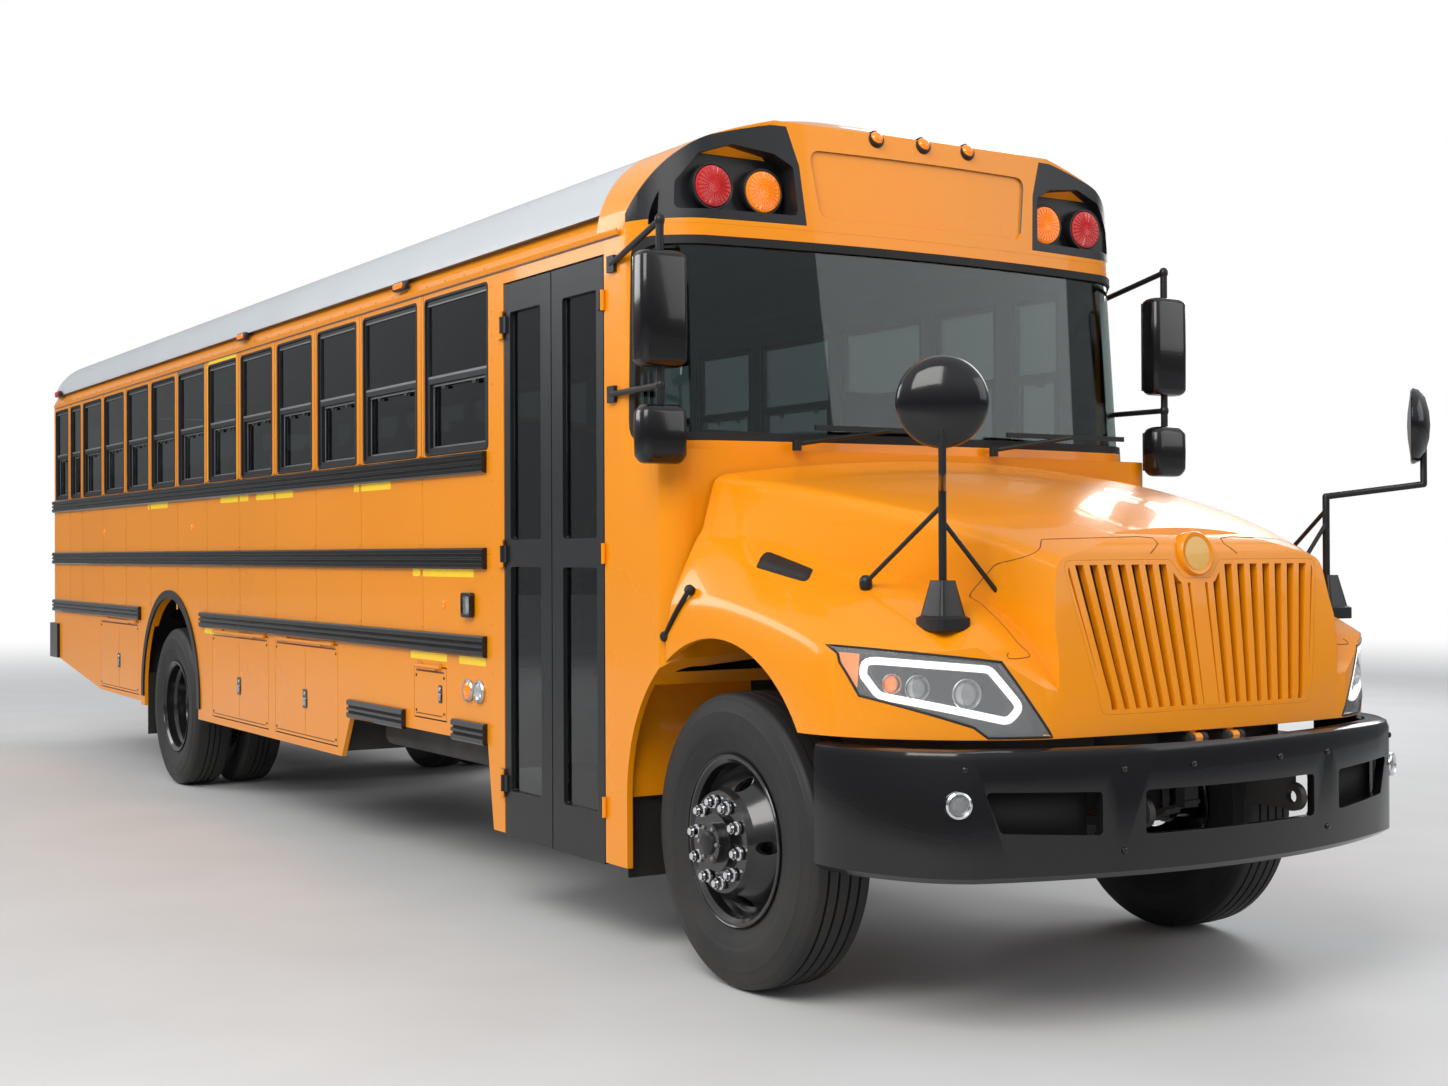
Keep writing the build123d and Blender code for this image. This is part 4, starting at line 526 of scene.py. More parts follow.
def add_prism(build: bmesh.types.BMesh, outline: Outline, place: Matrix, depth: float) -> None:
    """Adds a prism of a flat outline.

    Args:
        build: Mesh that is built.
        outline: Points in the plane of place, in order.
        place: Frame of the outline; the prism grows along its Z.
        depth: How far it grows.
    """
    low = [build.verts.new(place @ Vector((x, y, 0))) for x, y in outline]
    high = [build.verts.new(place @ Vector((x, y, depth))) for x, y in outline]
    build.faces.new(low[::-1])
    build.faces.new(high)
    bridge(build, low, high)


def add_frame(build: bmesh.types.BMesh, outer: Outline, inner: Outline,
              place: Matrix, depth: float) -> None:
    """Adds a flat ring between two outlines of as many points.

    Args:
        build: Mesh that is built.
        outer: Outer outline.
        inner: Inner outline, point by point within the outer one.
        place: Frame of the outlines; the ring grows along its Z.
        depth: How far it grows.
    """
    loops = [[build.verts.new(place @ Vector((x, y, z))) for x, y in line]
             for line, z in ((outer, 0), (outer, depth), (inner, depth), (inner, 0))]
    for first, second in zip(loops, loops[1:] + loops[:1]):
        bridge(build, first, second)


def add_turned(build: bmesh.types.BMesh, profile: Outline, place: Matrix, segments: int = 48,
               closed: bool = False) -> None:
    """Adds a turned form.

    Args:
        build: Mesh that is built.
        profile: Radius and height along the axis, in order.
        place: Frame of the form; its axis is Z.
        segments: Number of sides.
        closed: Whether the profile closes on itself, as a ring's does.
    """
    rings = []
    for radius, height in profile:
        if radius < 1e-6:
            rings.append([build.verts.new(place @ Vector((0, 0, height)))])
            continue
        rings.append([build.verts.new(place @ Vector((x, y, height)))
                      for x, y in on_circle(0, 0, radius, turns(segments))])
    pairs = list(zip(rings, rings[1:]))
    if closed:
        pairs.append((rings[-1], rings[0]))
    for first, second in pairs:
        for n in range(segments):
            m = (n + 1) % segments
            corners = [first[n % len(first)], first[m % len(first)], second[m % len(second)],
                       second[n % len(second)]]
            unique = list(dict.fromkeys(corners))
            if len(unique) > 2:
                build.faces.new(unique)


def facing(origin: Point | Vector, direction: Point | Vector) -> Matrix:
    """Frame at a point whose Z looks along a direction."""
    z = Vector(direction).normalized()
    helper = Vector((0, 0, 1))
    if abs(z.dot(helper)) > 0.99:
        helper = Vector((0, 1, 0))
    x = helper.cross(z).normalized()
    turn = Matrix((x, z.cross(x), z)).transposed()
    return Matrix.Translation(Vector(origin)) @ turn.to_4x4()


def rounded(outline: Outline, radius: float | Sequence[float], steps: int = 5) -> Points:
    """Outline with its corners rounded.

    Args:
        outline: Corners in order.
        radius: One radius, or one for each corner.
        steps: Pieces of each rounded corner.

    Returns:
        The new outline.
    """
    points = [Vector(p) for p in outline]
    radii = [radius] * len(points) if isinstance(radius, (int, float)) else list(radius)
    result: Points = []
    for n, corner in enumerate(points):
        before, after = points[n - 1], points[(n + 1) % len(points)]
        a, b = (before - corner).normalized(), (after - corner).normalized()
        half = math.acos(max(-1.0, min(1.0, a.dot(b)))) / 2
        room = (0.48 * (before - corner).length, 0.48 * (after - corner).length)
        reach = min(radii[n] / max(math.tan(half), 1e-6), *room)
        if reach < 1e-5 or half > math.radians(88):
            result.append(tuple(corner))
            continue
        start, end = corner + a * reach, corner + b * reach
        for step in range(steps + 1):
            t = step / steps
            result.append(tuple((1 - t) ** 2 * start + 2 * t * (1 - t) * corner + t * t * end))
    return result


def bar(name: str, points: Sequence[Point], radius: float, finish: Finish, body: str, smooth: bool = False,
        sides: int = 4, closed: bool = False) -> bpy.types.Object:
    """Round bar or bead along a line.

    Args:
        name: Name of the piece.
        points: Places on the line.
        radius: Radius of the bar.
        finish: Its finish.
        body: The body it moves with.
        smooth: Whether it bends smoothly between the points.
        sides: Curve bevel resolution.
        closed: Whether it joins up with its start.

    Returns:
        The piece.
    """
    curve = bpy.data.curves.new(name + "_line", "CURVE")
    curve.dimensions = "3D"
    curve.bevel_depth = radius
    curve.bevel_resolution = sides
    curve.use_fill_caps = not closed
    curve.resolution_u = 6
    spline = curve.splines.new("NURBS" if smooth else "POLY")
    spline.points.add(len(points) - 1)
    for slot, place in zip(spline.points, points):
        slot.co = (*place, 1)
    if smooth:
        spline.order_u = 3
        spline.use_endpoint_u = not closed
    spline.use_cyclic_u = closed
    holder = bpy.data.objects.new(name + "_curve", curve)
    mesh = bpy.data.meshes.new_from_object(holder)
    bpy.data.objects.remove(holder)
    bpy.data.curves.remove(curve)
    return finish_piece(name, mesh, finish, body, 50)


def boxes(name: str, corners: Iterable[tuple[Point, Point]], finish: Finish, body: str, bevel: float = 0.002
          ) -> bpy.types.Object:
    """One piece of several boxes with eased edges."""
    build = bmesh.new()
    for low, high in corners:
        add_box(build, low, high)
    return built(name, build, finish, body, bevel=bevel, recalc=False)


def turned(name: str, profile: Outline, places: Iterable[Matrix], finish: Finish, body: str,
           segments: int = 48, angle: float = 35.0) -> bpy.types.Object:
    """One piece of like turned forms at several places."""
    build = bmesh.new()
    for place in places:
        add_turned(build, profile, place, segments)
    return built(name, build, finish, body, angle)


def plates(name: str, outlines: Iterable[tuple[Outline, Matrix, float]], finish: Finish,
           body: str, bevel: float = 0.002) -> bpy.types.Object:
    """One piece of several prisms, each an outline, its frame and its depth."""
    build = bmesh.new()
    for outline, place, depth in outlines:
        add_prism(build, outline, place, depth)
    return built(name, build, finish, body, bevel=bevel)


def on_side(side: Side, proud: float = 0.0) -> Matrix:
    """Frame on a side sheet: X runs rearwards from the front axle, Y up, Z outwards."""
    x = side.value * (HALF + proud)
    turn = Matrix(((0, 0, side.value), (1, 0, 0), (0, 1, 0)))
    return Matrix.Translation((x, FRONT_AXLE_Y, 0)) @ turn.to_4x4()


def side_plate(name: str, outline: Outline, side: Side, proud: float, depth: float, finish: Finish,
               body: str = "bus", bevel: float = 0.0) -> bpy.types.Object:
    """One plate on a side sheet."""
    return plates(name, [(outline, on_side(side, proud), depth)], finish, body, bevel)


def rectangle(x0: float, x1: float, y0: float, y1: float) -> Points:
    """Corners of a rectangle."""
    return [(x0, y0), (x1, y0), (x1, y1), (x0, y1)]


# Repeated small pieces, by Geometry Nodes


class Repeat(Enum):
    """Forms that are repeated over points."""

    RIVET = "rivet_heads"
    HEX_NUT = "hex_nuts"


def repeat_tree(form: Repeat) -> bpy.types.NodeTree:
    """Node tree that sets a small form on every point of a mesh, turned to the point's own direction.

    Args:
        form: Which form.

    Returns:
        The geometry node group, with inputs Radius, Height and Finish.
    """
    found = bpy.data.node_groups.get(form.value)
    if found is not None:
        return found
    tree = bpy.data.node_groups.new(form.value, "GeometryNodeTree")
    tree.is_modifier = True
    for name, kind in (("Geometry", "NodeSocketGeometry"), ("Radius", "NodeSocketFloat"),
                       ("Height", "NodeSocketFloat"), ("Finish", "NodeSocketMaterial")):
        tree.interface.new_socket(name=name, in_out="INPUT", socket_type=kind)
    tree.interface.new_socket(name="Geometry", in_out="OUTPUT", socket_type="NodeSocketGeometry")
    graph = Graph(tree)
    given = graph.add("NodeGroupInput").outputs
    if form is Repeat.RIVET:
        ball = graph.add("GeometryNodeMeshUVSphere",
                         {"Segments": 10, "Rings": 6, "Radius": 1.0}).outputs["Mesh"]
        size = graph.add("ShaderNodeCombineXYZ", {0: given["Radius"], 1: given["Radius"], 2: given["Height"]})
        head = graph.add("GeometryNodeTransform", {"Geometry": ball, "Scale": size.outputs[0]}).outputs[0]
    else:
        nut = graph.add("GeometryNodeMeshCylinder", {"Vertices": 6, "Radius": given["Radius"],
                                                      "Depth": given["Height"]}).outputs["Mesh"]
        stud, flange = (graph.add("GeometryNodeMeshCylinder", {
            "Vertices": sides, "Radius": graph.math("MULTIPLY", given["Radius"], reach),
            "Depth": graph.math("MULTIPLY", given["Height"], tall)}).outputs["Mesh"]
            for sides, reach, tall in ((16, 0.62, 1.7), (20, 1.18, 0.35)))
        low = graph.add("ShaderNodeCombineXYZ", {2: graph.math("MULTIPLY", given["Height"], -0.4)})
        flange = graph.add("GeometryNodeTransform",
                           {"Geometry": flange, "Translation": low.outputs[0]}).outputs[0]
        join = graph.add("GeometryNodeJoinGeometry")
        for part in (nut, stud, flange):
            tree.links.new(part, join.inputs[0])
        head = join.outputs[0]
    way = graph.add("GeometryNodeInputNamedAttribute", {"Name": "facing"},
                    data_type="FLOAT_VECTOR").outputs[0]
    turn = graph.add("FunctionNodeAlignRotationToVector", {"Vector": way}, axis="Z").outputs[0]
    spread = graph.add("GeometryNodeInstanceOnPoints", {"Points": given["Geometry"], "Instance": head,
                                                         "Rotation": turn})
    real = graph.add("GeometryNodeRealizeInstances", {"Geometry": spread.outputs[0]})
    smooth = graph.add("GeometryNodeSetShadeSmooth", {"Geometry": real.outputs[0],
                                                       "Shade Smooth": form is Repeat.RIVET})
    dressed = graph.add("GeometryNodeSetMaterial",
                        {"Geometry": smooth.outputs[0], "Material": given["Finish"]})
    graph.add("NodeGroupOutput", {0: dressed.outputs[0]})
    return tree


def repeat(name: str, form: Repeat, places: Sequence[tuple[Point, Point]], radius: float, height: float,
           finish: Finish, body: str) -> bpy.types.Object:
    """Sets one small form at many places, as one plain mesh.

    Args:
        name: Name of the piece.
        form: Which form.
        places: Each place and the direction the form faces.
        radius: Radius of the form.
        height: Height of the form.
        finish: Its finish.
        body: The body it moves with.

    Returns:
        The piece.
    """
    seeds = bpy.data.meshes.new(name + "_places")
    seeds.from_pydata([place for place, _ in places], [], [])
    ways = seeds.attributes.new("facing", "FLOAT_VECTOR", "POINT")
    ways.data.foreach_set("vector", [c for _, way in places for c in way])
    holder = bpy.data.objects.new(name + "_holder", seeds)
    COLLECTION.objects.link(holder)
    tree = repeat_tree(form)
    modifier = holder.modifiers.new("repeat", "NODES")
    modifier.node_group = tree
    sizes = {"Radius": radius, "Height": height, "Finish": finish.material()}
    for item in tree.interface.items_tree:
        if item.in_out == "INPUT" and item.name in sizes:
            modifier[item.identifier] = sizes[item.name]
    bpy.context.view_layer.update()
    made = bpy.data.meshes.new_from_object(holder.evaluated_get(bpy.context.evaluated_depsgraph_get()))
    bpy.data.objects.remove(holder)
    return finish_piece(name, made, finish, body, 35)


# Surfaces that pieces are set on

STANDS_FOR: dict[str, bpy.types.Mesh] = {}


class Skin:
    """Surface of one or more CAD nodes, or of the pieces that stand for them, for setting pieces on it."""

    def __init__(self, *nodes: str) -> None:
        """Reads the nodes' meshes."""
        points: list[Vector] = []
        faces: list[tuple[int, ...]] = []
        for node in nodes:
            mesh = STANDS_FOR.get(node) or frame["nodes"][node].data
            start = len(points)
            points += [v.co.copy() for v in mesh.vertices]
            faces += [tuple(start + i for i in polygon.vertices) for polygon in mesh.polygons]
        self.tree = BVHTree.FromPolygons(points, faces)

    def hit(self, origin: Point, direction: Point) -> Hit:
        """Where a line from origin first meets the surface, and the normal there."""
        way = Vector(direction).normalized()
        place, normal, _, _ = self.tree.ray_cast(Vector(origin), way)
        if place is None:
            return None
        return place, (normal if normal.dot(way) < 0 else -normal)

    def ahead(self, x: float, z: float) -> Hit:
        """Front surface at x and z, seen from the front."""
        return self.hit((x, CAD_BOX[0][1] - 1.0, z), (0, 1, 0))

    def beside(self, side: Side, distance: float, z: float) -> Hit:
        """Outer surface at a distance behind the front axle and height, seen from a side."""
        return self.hit((side.value * 3.0, back(distance), z), (-side.value, 0, 0))


def walked(outline: Outline, step: float, closed: bool = True) -> Points:
    """Points along an outline, no further apart than step; an open one's last corner is left out."""
    points = []
    for a, b in zip(outline, [*outline[1:], *(outline[:1] if closed else [])]):
        count = max(1, math.ceil(math.dist(a, b) / step))
        points += [tuple(u + (v - u) * n / count for u, v in zip(a, b)) for n in range(count)]
    return points


def traced(hits: Iterable[Hit], lift: float = 0.0) -> list[Point]:
    """Points of a line on a surface, lifted off it."""
    return [tuple(place + normal * lift) for place, normal in (h for h in hits if h is not None)]


def seam(name: str, hits: Iterable[Hit], finish: Finish, body: str, width: float = 0.0018,
         lift: float = -0.0008, closed: bool = False) -> bpy.types.Object | None:
    """Narrow round bead that lies along a line on a surface."""
    points = traced(hits, lift)
    if len(points) < 2:
        log.info("%s finds no surface", name)
        return None
    return bar(name, points, width, finish, body, sides=1, closed=closed)


def draped(name: str, outline: Outline, skin: Skin, finish: Finish, body: str, inset: float,
           thickness: float, step: float = 0.02) -> bpy.types.Object:
    """Plate cut to an outline seen from the front and laid on a surface.

    Args:
        name: Name of the piece.
        outline: Corners as x and z.
        skin: Surface it follows.
        finish: Its finish.
        body: The body it moves with.
        inset: How far it lies behind the surface, along the bus.
        thickness: Its thickness, along the bus.
        step: Size of its facets.

    Returns:
        The piece.
    """
    build = bmesh.new()
    build.faces.new([build.verts.new((x, 0, z)) for x, z in outline])
    for axis, way in ((0, (1, 0, 0)), (1, (0, 0, 1))):
        low, high = min(p[axis] for p in outline), max(p[axis] for p in outline)
        for n in range(1, int((high - low) / step) + 1):
            cut = low + n * step
            everything = build.verts[:] + build.edges[:] + build.faces[:]
            at = (cut, 0, 0) if axis == 0 else (0, 0, cut)
            bmesh.ops.bisect_plane(build, geom=everything, plane_co=at, plane_no=way)
    known = 0.0
    for vertex in build.verts:
        found = skin.ahead(vertex.co.x, vertex.co.z)
        known = found[0].y if found is not None else known
        vertex.co.y = known + inset
    bmesh.ops.recalc_face_normals(build, faces=build.faces)
    if sum(face.normal.y for face in build.faces) > 0:
        bmesh.ops.reverse_faces(build, faces=build.faces)
    rim = [edge for edge in build.edges if edge.is_boundary]
    front = build.faces[:]
    rear = bmesh.ops.duplicate(build, geom=build.verts[:] + build.edges[:] + front)
    twins = rear["vert_map"]
    for vertex in [v for v in rear["geom"] if isinstance(v, bmesh.types.BMVert)]:
        vertex.co.y += thickness
    bmesh.ops.reverse_faces(build, faces=[f for f in rear["geom"] if isinstance(f, bmesh.types.BMFace)])
    for edge in rim:
        a, b = edge.verts
        build.faces.new((a, b, twins[b], twins[a]))
    return built(name, build, finish, body, 40)


# Solid forms that are cut from and joined with each other


@dataclass(frozen=True)
class Via:
    """Middle of an arc in an outline, between the corners before and after it."""

    x: float
    y: float


def arc_points(start: Sequence[float], middle: Sequence[float], end: Sequence[float], steps: int
               ) -> Points:
    """Points on the arc from start through middle to end, without either end."""
    (ax, ay), (bx, by), (cx, cy) = start, middle, end
    turn = 2 * (ax * (by - cy) + bx * (cy - ay) + cx * (ay - by))
    if abs(turn) < 1e-9:
        return [tuple(middle)]
    squares = [x * x + y * y for x, y in (start, middle, end)]
    ux = (squares[0] * (by - cy) + squares[1] * (cy - ay) + squares[2] * (ay - by)) / turn
    uy = (squares[0] * (cx - bx) + squares[1] * (ax - cx) + squares[2] * (bx - ax)) / turn
    radius = math.hypot(ax - ux, ay - uy)
    first = math.atan2(ay - uy, ax - ux)
    sweep = (math.atan2(cy - uy, cx - ux) - first) % (2 * math.pi)
    passed = (math.atan2(by - uy, bx - ux) - first) % (2 * math.pi)
    if passed > sweep:
        sweep -= 2 * math.pi
    return [(ux + radius * math.cos(first + sweep * n / steps),
             uy + radius * math.sin(first + sweep * n / steps))
            for n in range(1, steps)]


def curved(places: Sequence[tuple[float, float] | Via], steps: int = 12) -> Points:
    """Outline of corners, with an arc wherever a Via stands between two of them.

    Args:
        places: Corners and the middles of arcs, in order round the outline.
        steps: Pieces of each arc.

    Returns:
        The points of the outline.
    """
    points: Points = []
    for n, place in enumerate(places):
        if isinstance(place, Via):
            points += arc_points(places[n - 1], (place.x, place.y), places[(n + 1) % len(places)], steps)
        else:
            points.append(tuple(place))
    return points


class Form:
    """Closed mesh that is joined with others, cut by them or kept within them."""

    def __init__(self, mesh: bpy.types.Mesh) -> None:
        """Wraps the mesh."""
        self.mesh = mesh

    @staticmethod
    def lofted(rings: Sequence[Sequence[Point]]) -> "Form":
        """Closed form through rings of as many points each."""
        build = bmesh.new()
        loops = [[build.verts.new(place) for place in ring] for ring in rings]
        build.faces.new(loops[0][::-1])
        build.faces.new(loops[-1])
        for first, second in zip(loops, loops[1:]):
            bridge(build, first, second)
        return Form(mesh_of("form", build, recalc=True))

    @staticmethod
    def along(outline: Outline, near: float, far: float) -> "Form":
        """Prism of an outline in X and Z, between two distances behind the front axle."""
        return Form.lofted([[(x, back(d), z) for x, z in outline] for d in (near, far)])

    @staticmethod
    def across(outline: Outline, x0: float, x1: float) -> "Form":
        """Prism of an outline of distances behind the front axle and heights, from x0 to x1."""
        return Form.lofted([[(x, back(d), z) for d, z in outline] for x in (x0, x1)])

    @staticmethod
    def upright(outline: Outline, z0: float, z1: float) -> "Form":
        """Prism of a plan of X and distances behind the front axle, from z0 to z1."""
        return Form.lofted([[(x, back(d), z) for x, d in outline] for z in (z0, z1)])

    @staticmethod
    def block(x0: float, x1: float, d0: float, d1: float, z0: float, z1: float) -> "Form":
        """Box between two places."""
        return Form.across(rectangle(d0, d1, z0, z1), x0, x1)

    @staticmethod
    def rod(start: Point, end: Point, radius: float, sides: int = 20) -> "Form":
        """Round rod between two places in X, distance behind the front axle and Z, with domed ends."""
        a, b = (Vector((p[0], back(p[1]), p[2])) for p in (start, end))
        build = bmesh.new()
        length = (b - a).length
        cap = [(radius * math.cos(t), radius * math.sin(t)) for t in (0.0, 0.5, 1.0)]
        profile = ([(0.0, -radius)] + [(r, -h) for r, h in cap[::-1]] + [(r, length + h) for r, h in cap]
                   + [(0.0, length + radius)])
        add_turned(build, profile, facing(a, b - a), sides)
        return Form(mesh_of("form", build, recalc=True))

    def mirrored(self) -> "Form":
        """The same form on the other side of the bus."""
        mesh = self.mesh.copy()
        mesh.transform(Matrix.Scale(-1, 4, (1, 0, 0)))
        mesh.flip_normals()
        return Form(mesh)

    def _with(self, other: "Form", operation: str) -> "Form":
        """Result of a boolean operation with another form."""
        holders = [bpy.data.objects.new("form", form.mesh) for form in (self, other)]
        for holder in holders:
            COLLECTION.objects.link(holder)
        modifier = holders[0].modifiers.new("cut", "BOOLEAN")
        modifier.operation = operation
        modifier.object = holders[1]
        modifier.solver = "EXACT"
        modifier.use_self = True
        bpy.context.view_layer.update()
        made = bpy.data.meshes.new_from_object(
            holders[0].evaluated_get(bpy.context.evaluated_depsgraph_get()))
        for holder in holders:
            bpy.data.objects.remove(holder)
        return Form(made)

    def __add__(self, other: "Form") -> "Form":
        """Both forms as one."""
        return self._with(other, "UNION")

    def __sub__(self, other: "Form") -> "Form":
        """This form without the other."""
        return self._with(other, "DIFFERENCE")

    def __and__(self, other: "Form") -> "Form":
        """What both forms share."""
        return self._with(other, "INTERSECT")

    def piece(self, name: str, finish: Finish, body: str, nodes: Sequence[str] = (), angle: float = 32.0
              ) -> bpy.types.Object:
        """Makes the form a piece.

        Args:
            name: Name of the piece.
            finish: Its finish.
            body: The body it moves with.
            nodes: CAD nodes that it stands for.
            angle: Edges sharper than this many degrees stay sharp.

        Returns:
            The piece.
        """
        build = bmesh.new()
        build.from_mesh(self.mesh)
        bmesh.ops.remove_doubles(build, verts=build.verts, dist=2e-5)
        bmesh.ops.dissolve_degenerate(build, edges=build.edges, dist=2e-5)
        made = finish_piece(name, mesh_of(name, build), finish, body, angle)
        for node in nodes:
            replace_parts(made, node)
            STANDS_FOR[node] = made.data
        return made

    def pair(self, name: str, finish: Finish, body: str, angle: float = 32.0) -> None:
        """Makes the form, on the right, and its mirror image two pieces."""
        self.piece(f"{name}_right", finish, body, angle=angle)
        self.mirrored().piece(f"{name}_left", finish, body, angle=angle)


# Body, hood, bumper and mirrors

FLOOR_LOW, COWL_TOP, CANT_Z, CROWN_Z, CAP_REAR, DOOR_FRONT = 1.050, 1.925, 2.780, 3.284, 0.850, 0.790


def front_arches() -> Form:
    """Cut over both front wheels, straight down below their middle."""
    radius = 0.620
    circle = on_circle(0, radius, radius, (math.pi * n / 48 for n in range(49)))
    return Form.across(circle + [(-radius, 0.20), (radius, 0.20)], *ACROSS)


def body_section(inset: float = 0.0) -> Points:
    """Outline of the body across the bus, drawn in by inset."""
    half, top, shoulder, radius = HALF - inset, CROWN_Z - inset, 0.950, 2.950 - inset
    start = top - radius + math.sqrt(radius ** 2 - shoulder ** 2)
    crown = math.asin(shoulder / radius)
    chord_angle = math.atan2(start - CANT_Z, half - shoulder)
    bend = math.hypot(half - shoulder, start - CANT_Z) / (2 * math.sin(chord_angle - crown))
    middle = (shoulder + bend * (math.sin(chord_angle) - math.sin(crown)),
              start + bend * (math.cos(chord_angle) - math.cos(crown)))
    return curved([(-half, 0.345), (half, 0.345), (half, CANT_Z), Via(*middle), (shoulder, start),
                   Via(0, top), (-shoulder, start), Via(-middle[0], middle[1]), (-half, CANT_Z)], 20)


def front_plan(height: float, inset: float = 0.0) -> Points:
    """Plan of the body's front at a height, as X and distance behind the axle; it leans back as it rises."""
    half, lean = HALF - inset, 0.08 * (height - 1.945)
    start = (1.0 - 0.15 * inset, 0.330 + lean + inset)
    end = (half, 0.646 + lean / 2)
    corner = (1.160 - 0.8 * inset, 0.450 + lean + 0.6 * inset)
    return curved([(-half, CAP_REAR + 0.2), (half, CAP_REAR + 0.2), end, Via(*corner), start,
                   Via(0, 0.250 + lean + inset), (-start[0], start[1]), Via(-corner[0], corner[1]),
                   (-half, end[1])], 24)


def raked_front(z0: float, z1: float, inset: float = 0.0) -> Form:
    """Leaning body front between two heights."""
    return Form.lofted([[(x, back(d), z) for x, d in front_plan(z, inset)] for z in (z0, z1)])


def cowl_plan(inset: float = 0.0) -> Points:
    """Plan of the cowl below the windshield."""
    half, corner, side = HALF - inset, 1.090 - inset, 0.318 + inset
    return curved([(-half, CAP_REAR + 0.2), (half, CAP_REAR + 0.2), (half, 0.372 + inset),
                   Via(half - 0.042, side + 0.017), (corner, side), Via(0, 0.235 + inset), (-corner, side),
                   Via(-half + 0.042, side + 0.017), (-half, 0.372 + inset)], 20)


@dataclass
class BodyFront:
    """Roof cap with its lamp housings, the cowl, and the windshield that wraps round both corners."""

    wall: float = 0.050
    shield: tuple[float, float] = (1.960, 2.735)
    shield_rear: float = 0.600
    housing_inner: Outline = ((-0.570, 2.800), (-0.591, 3.032), (-0.640, 3.182))
    housing_side: Outline = ((0.632, 2.834), (0.587, 2.899), (0.497, 3.029), (0.422, 3.115),
                                                     (0.383, 3.195))

    def shield_opening(self, gap: float = 0.0) -> Form:
        """Windshield opening, through the whole width of the bus."""
        low, high = self.shield
        outline = rounded([(0.0, low + gap), (self.shield_rear - gap, low + gap),
                           (self.shield_rear - gap, high - gap), (0.0, high - gap)], [0.0, 0.08, 0.08, 0.0])
        return Form.across(outline, *ACROSS)

    def lamp_bay(self, gap: float = 0.0) -> Form:
        """Space of the right lamp housing, from its edges seen from the front and from the side."""
        front = ([(x - gap, z) for x, z in self.housing_inner]
                 + [(-HALF - 0.005, 3.182), (-HALF - 0.005, 2.800)])
        edge = [(d - gap, z) for d, z in self.housing_side]
        side = [(0.100, 2.800 + gap), (edge[0][0], 2.800 + gap)] + edge + [(0.100, 3.195)]
        return Form.along(front, 0.100, 0.700) & Form.across(side, -HALF - 0.010, -0.001)

    def cap_form(self) -> Form:
        """Domed front of the roof as one solid."""
        nose = curved([(0.100, 2.0), (0.100, 3.140), (0.440, 3.213), Via(0.560, 3.267),
                       (0.740, CROWN_Z + 0.005), (1.200, CROWN_Z + 0.005), (1.200, 2.0)])
        body = raked_front(CANT_Z, CROWN_Z + 0.04) & Form.along(body_section(), 0.200, CAP_REAR)
        return body & Form.across(nose, *ACROSS)

    def cap(self) -> None:
        """Front cap with its sunk panel, and the black hooded housings at its corners."""
        whole = self.cap_form()
        hollow = Form.along(body_section(self.wall), 0.500, CAP_REAR + 0.01)
        hollow &= Form.block(-2, 2, 0, 2, CANT_Z - 0.01, 3.23)
        panel = rounded([(-0.505, 2.838), (0.505, 2.838), (0.545, 3.100), (-0.545, 3.100)], 0.045, 6)
        sunk = Form.along(panel, 0.100, 0.450) - raked_front(CANT_Z - 0.01, CROWN_Z + 0.05, 0.011)
        bay = self.lamp_bay()
        shell = whole - hollow - sunk - bay - bay.mirrored()
        shell.piece("front_cap_shell", YELLOW_FRONT, "bus", ["front_cap"])
        recess = rounded([(-0.604, 2.836), (-0.618, 3.026), (-0.700, 3.070), (-0.874, 3.092), (-1.010, 3.048),
                          (-1.092, 2.940), (-1.098, 2.836)], 0.024, 5)
        housing = (whole & self.lamp_bay(HAIR)) - hollow - Form.along(recess, 0.100, 0.470)
        housing.pair("lamp_housing", BLACK_PLASTIC, "bus")

    def cowl(self) -> None:
        """Body front from the door posts to the windshield, hollow behind the hood."""
        lower = Form.upright(cowl_plan(), 0.345, COWL_TOP)
        rear = Form.block(*ACROSS, DOOR_FRONT, CAP_REAR + 0.3, 0, CANT_Z + 0.005)
        body = raked_front(COWL_TOP - 0.02, CANT_Z) + lower - rear
        hollow = raked_front(COWL_TOP - 0.03, CANT_Z + 0.1, self.wall)
        hollow += Form.upright(cowl_plan(self.wall), 1.100, COWL_TOP - self.wall)
        hollow += Form.block(-HALF + self.wall, HALF - self.wall, 0.450, 0.901, 1.100, COWL_TOP)
        body = body - hollow - self.shield_opening()
        body -= Form.block(-HALF + 0.025, HALF - 0.025, 0, 0.902, 0, FLOOR_LOW)
        body -= front_arches()
        body -= Form.block(0, HALF + 0.005, 0, 0.903, 0, 0.700)
        for sign in (-1, 1):
            x0, x1 = sorted((sign * 0.640, sign * (HALF - 0.0245)))
            body += Form.block(x0, x1, 0.650, 0.668, 0.610, FLOOR_LOW + 0.0005)
        for z in (0.560, 1.540, 2.520):
            pin = on_circle(-HALF - 0.008, DOOR_FRONT - 0.004, 0.010, (math.pi * n / 8 for n in range(16)))
            body += Form.upright(pin, z - 0.04, z + 0.04)
        body.piece("cowl_shell", YELLOW_FRONT, "bus", ["cowl"])

    def windshield(self) -> None:
        """Curved glass and the black rubber round it."""
        sheet = raked_front(COWL_TOP, CANT_Z, 0.014) - raked_front(COWL_TOP - 0.005, CANT_Z + 0.005, 0.022)
        glass = sheet & self.shield_opening(HAIR)
        glass.piece("windshield_sheet", SHIELD_GLASS, "bus", ["windshield"])
        ring = raked_front(COWL_TOP, CANT_Z, 0.0005) - raked_front(COWL_TOP - 0.005, CANT_Z + 0.005, 0.0135)
        rim = (ring & self.shield_opening(0.0002)) - self.shield_opening(0.032)
        rim.piece("windshield_rubber", RUBBER, "bus")

    def build(self) -> None:
        """Makes the front of the body."""
        self.cap()
        self.cowl()
        self.windshield()


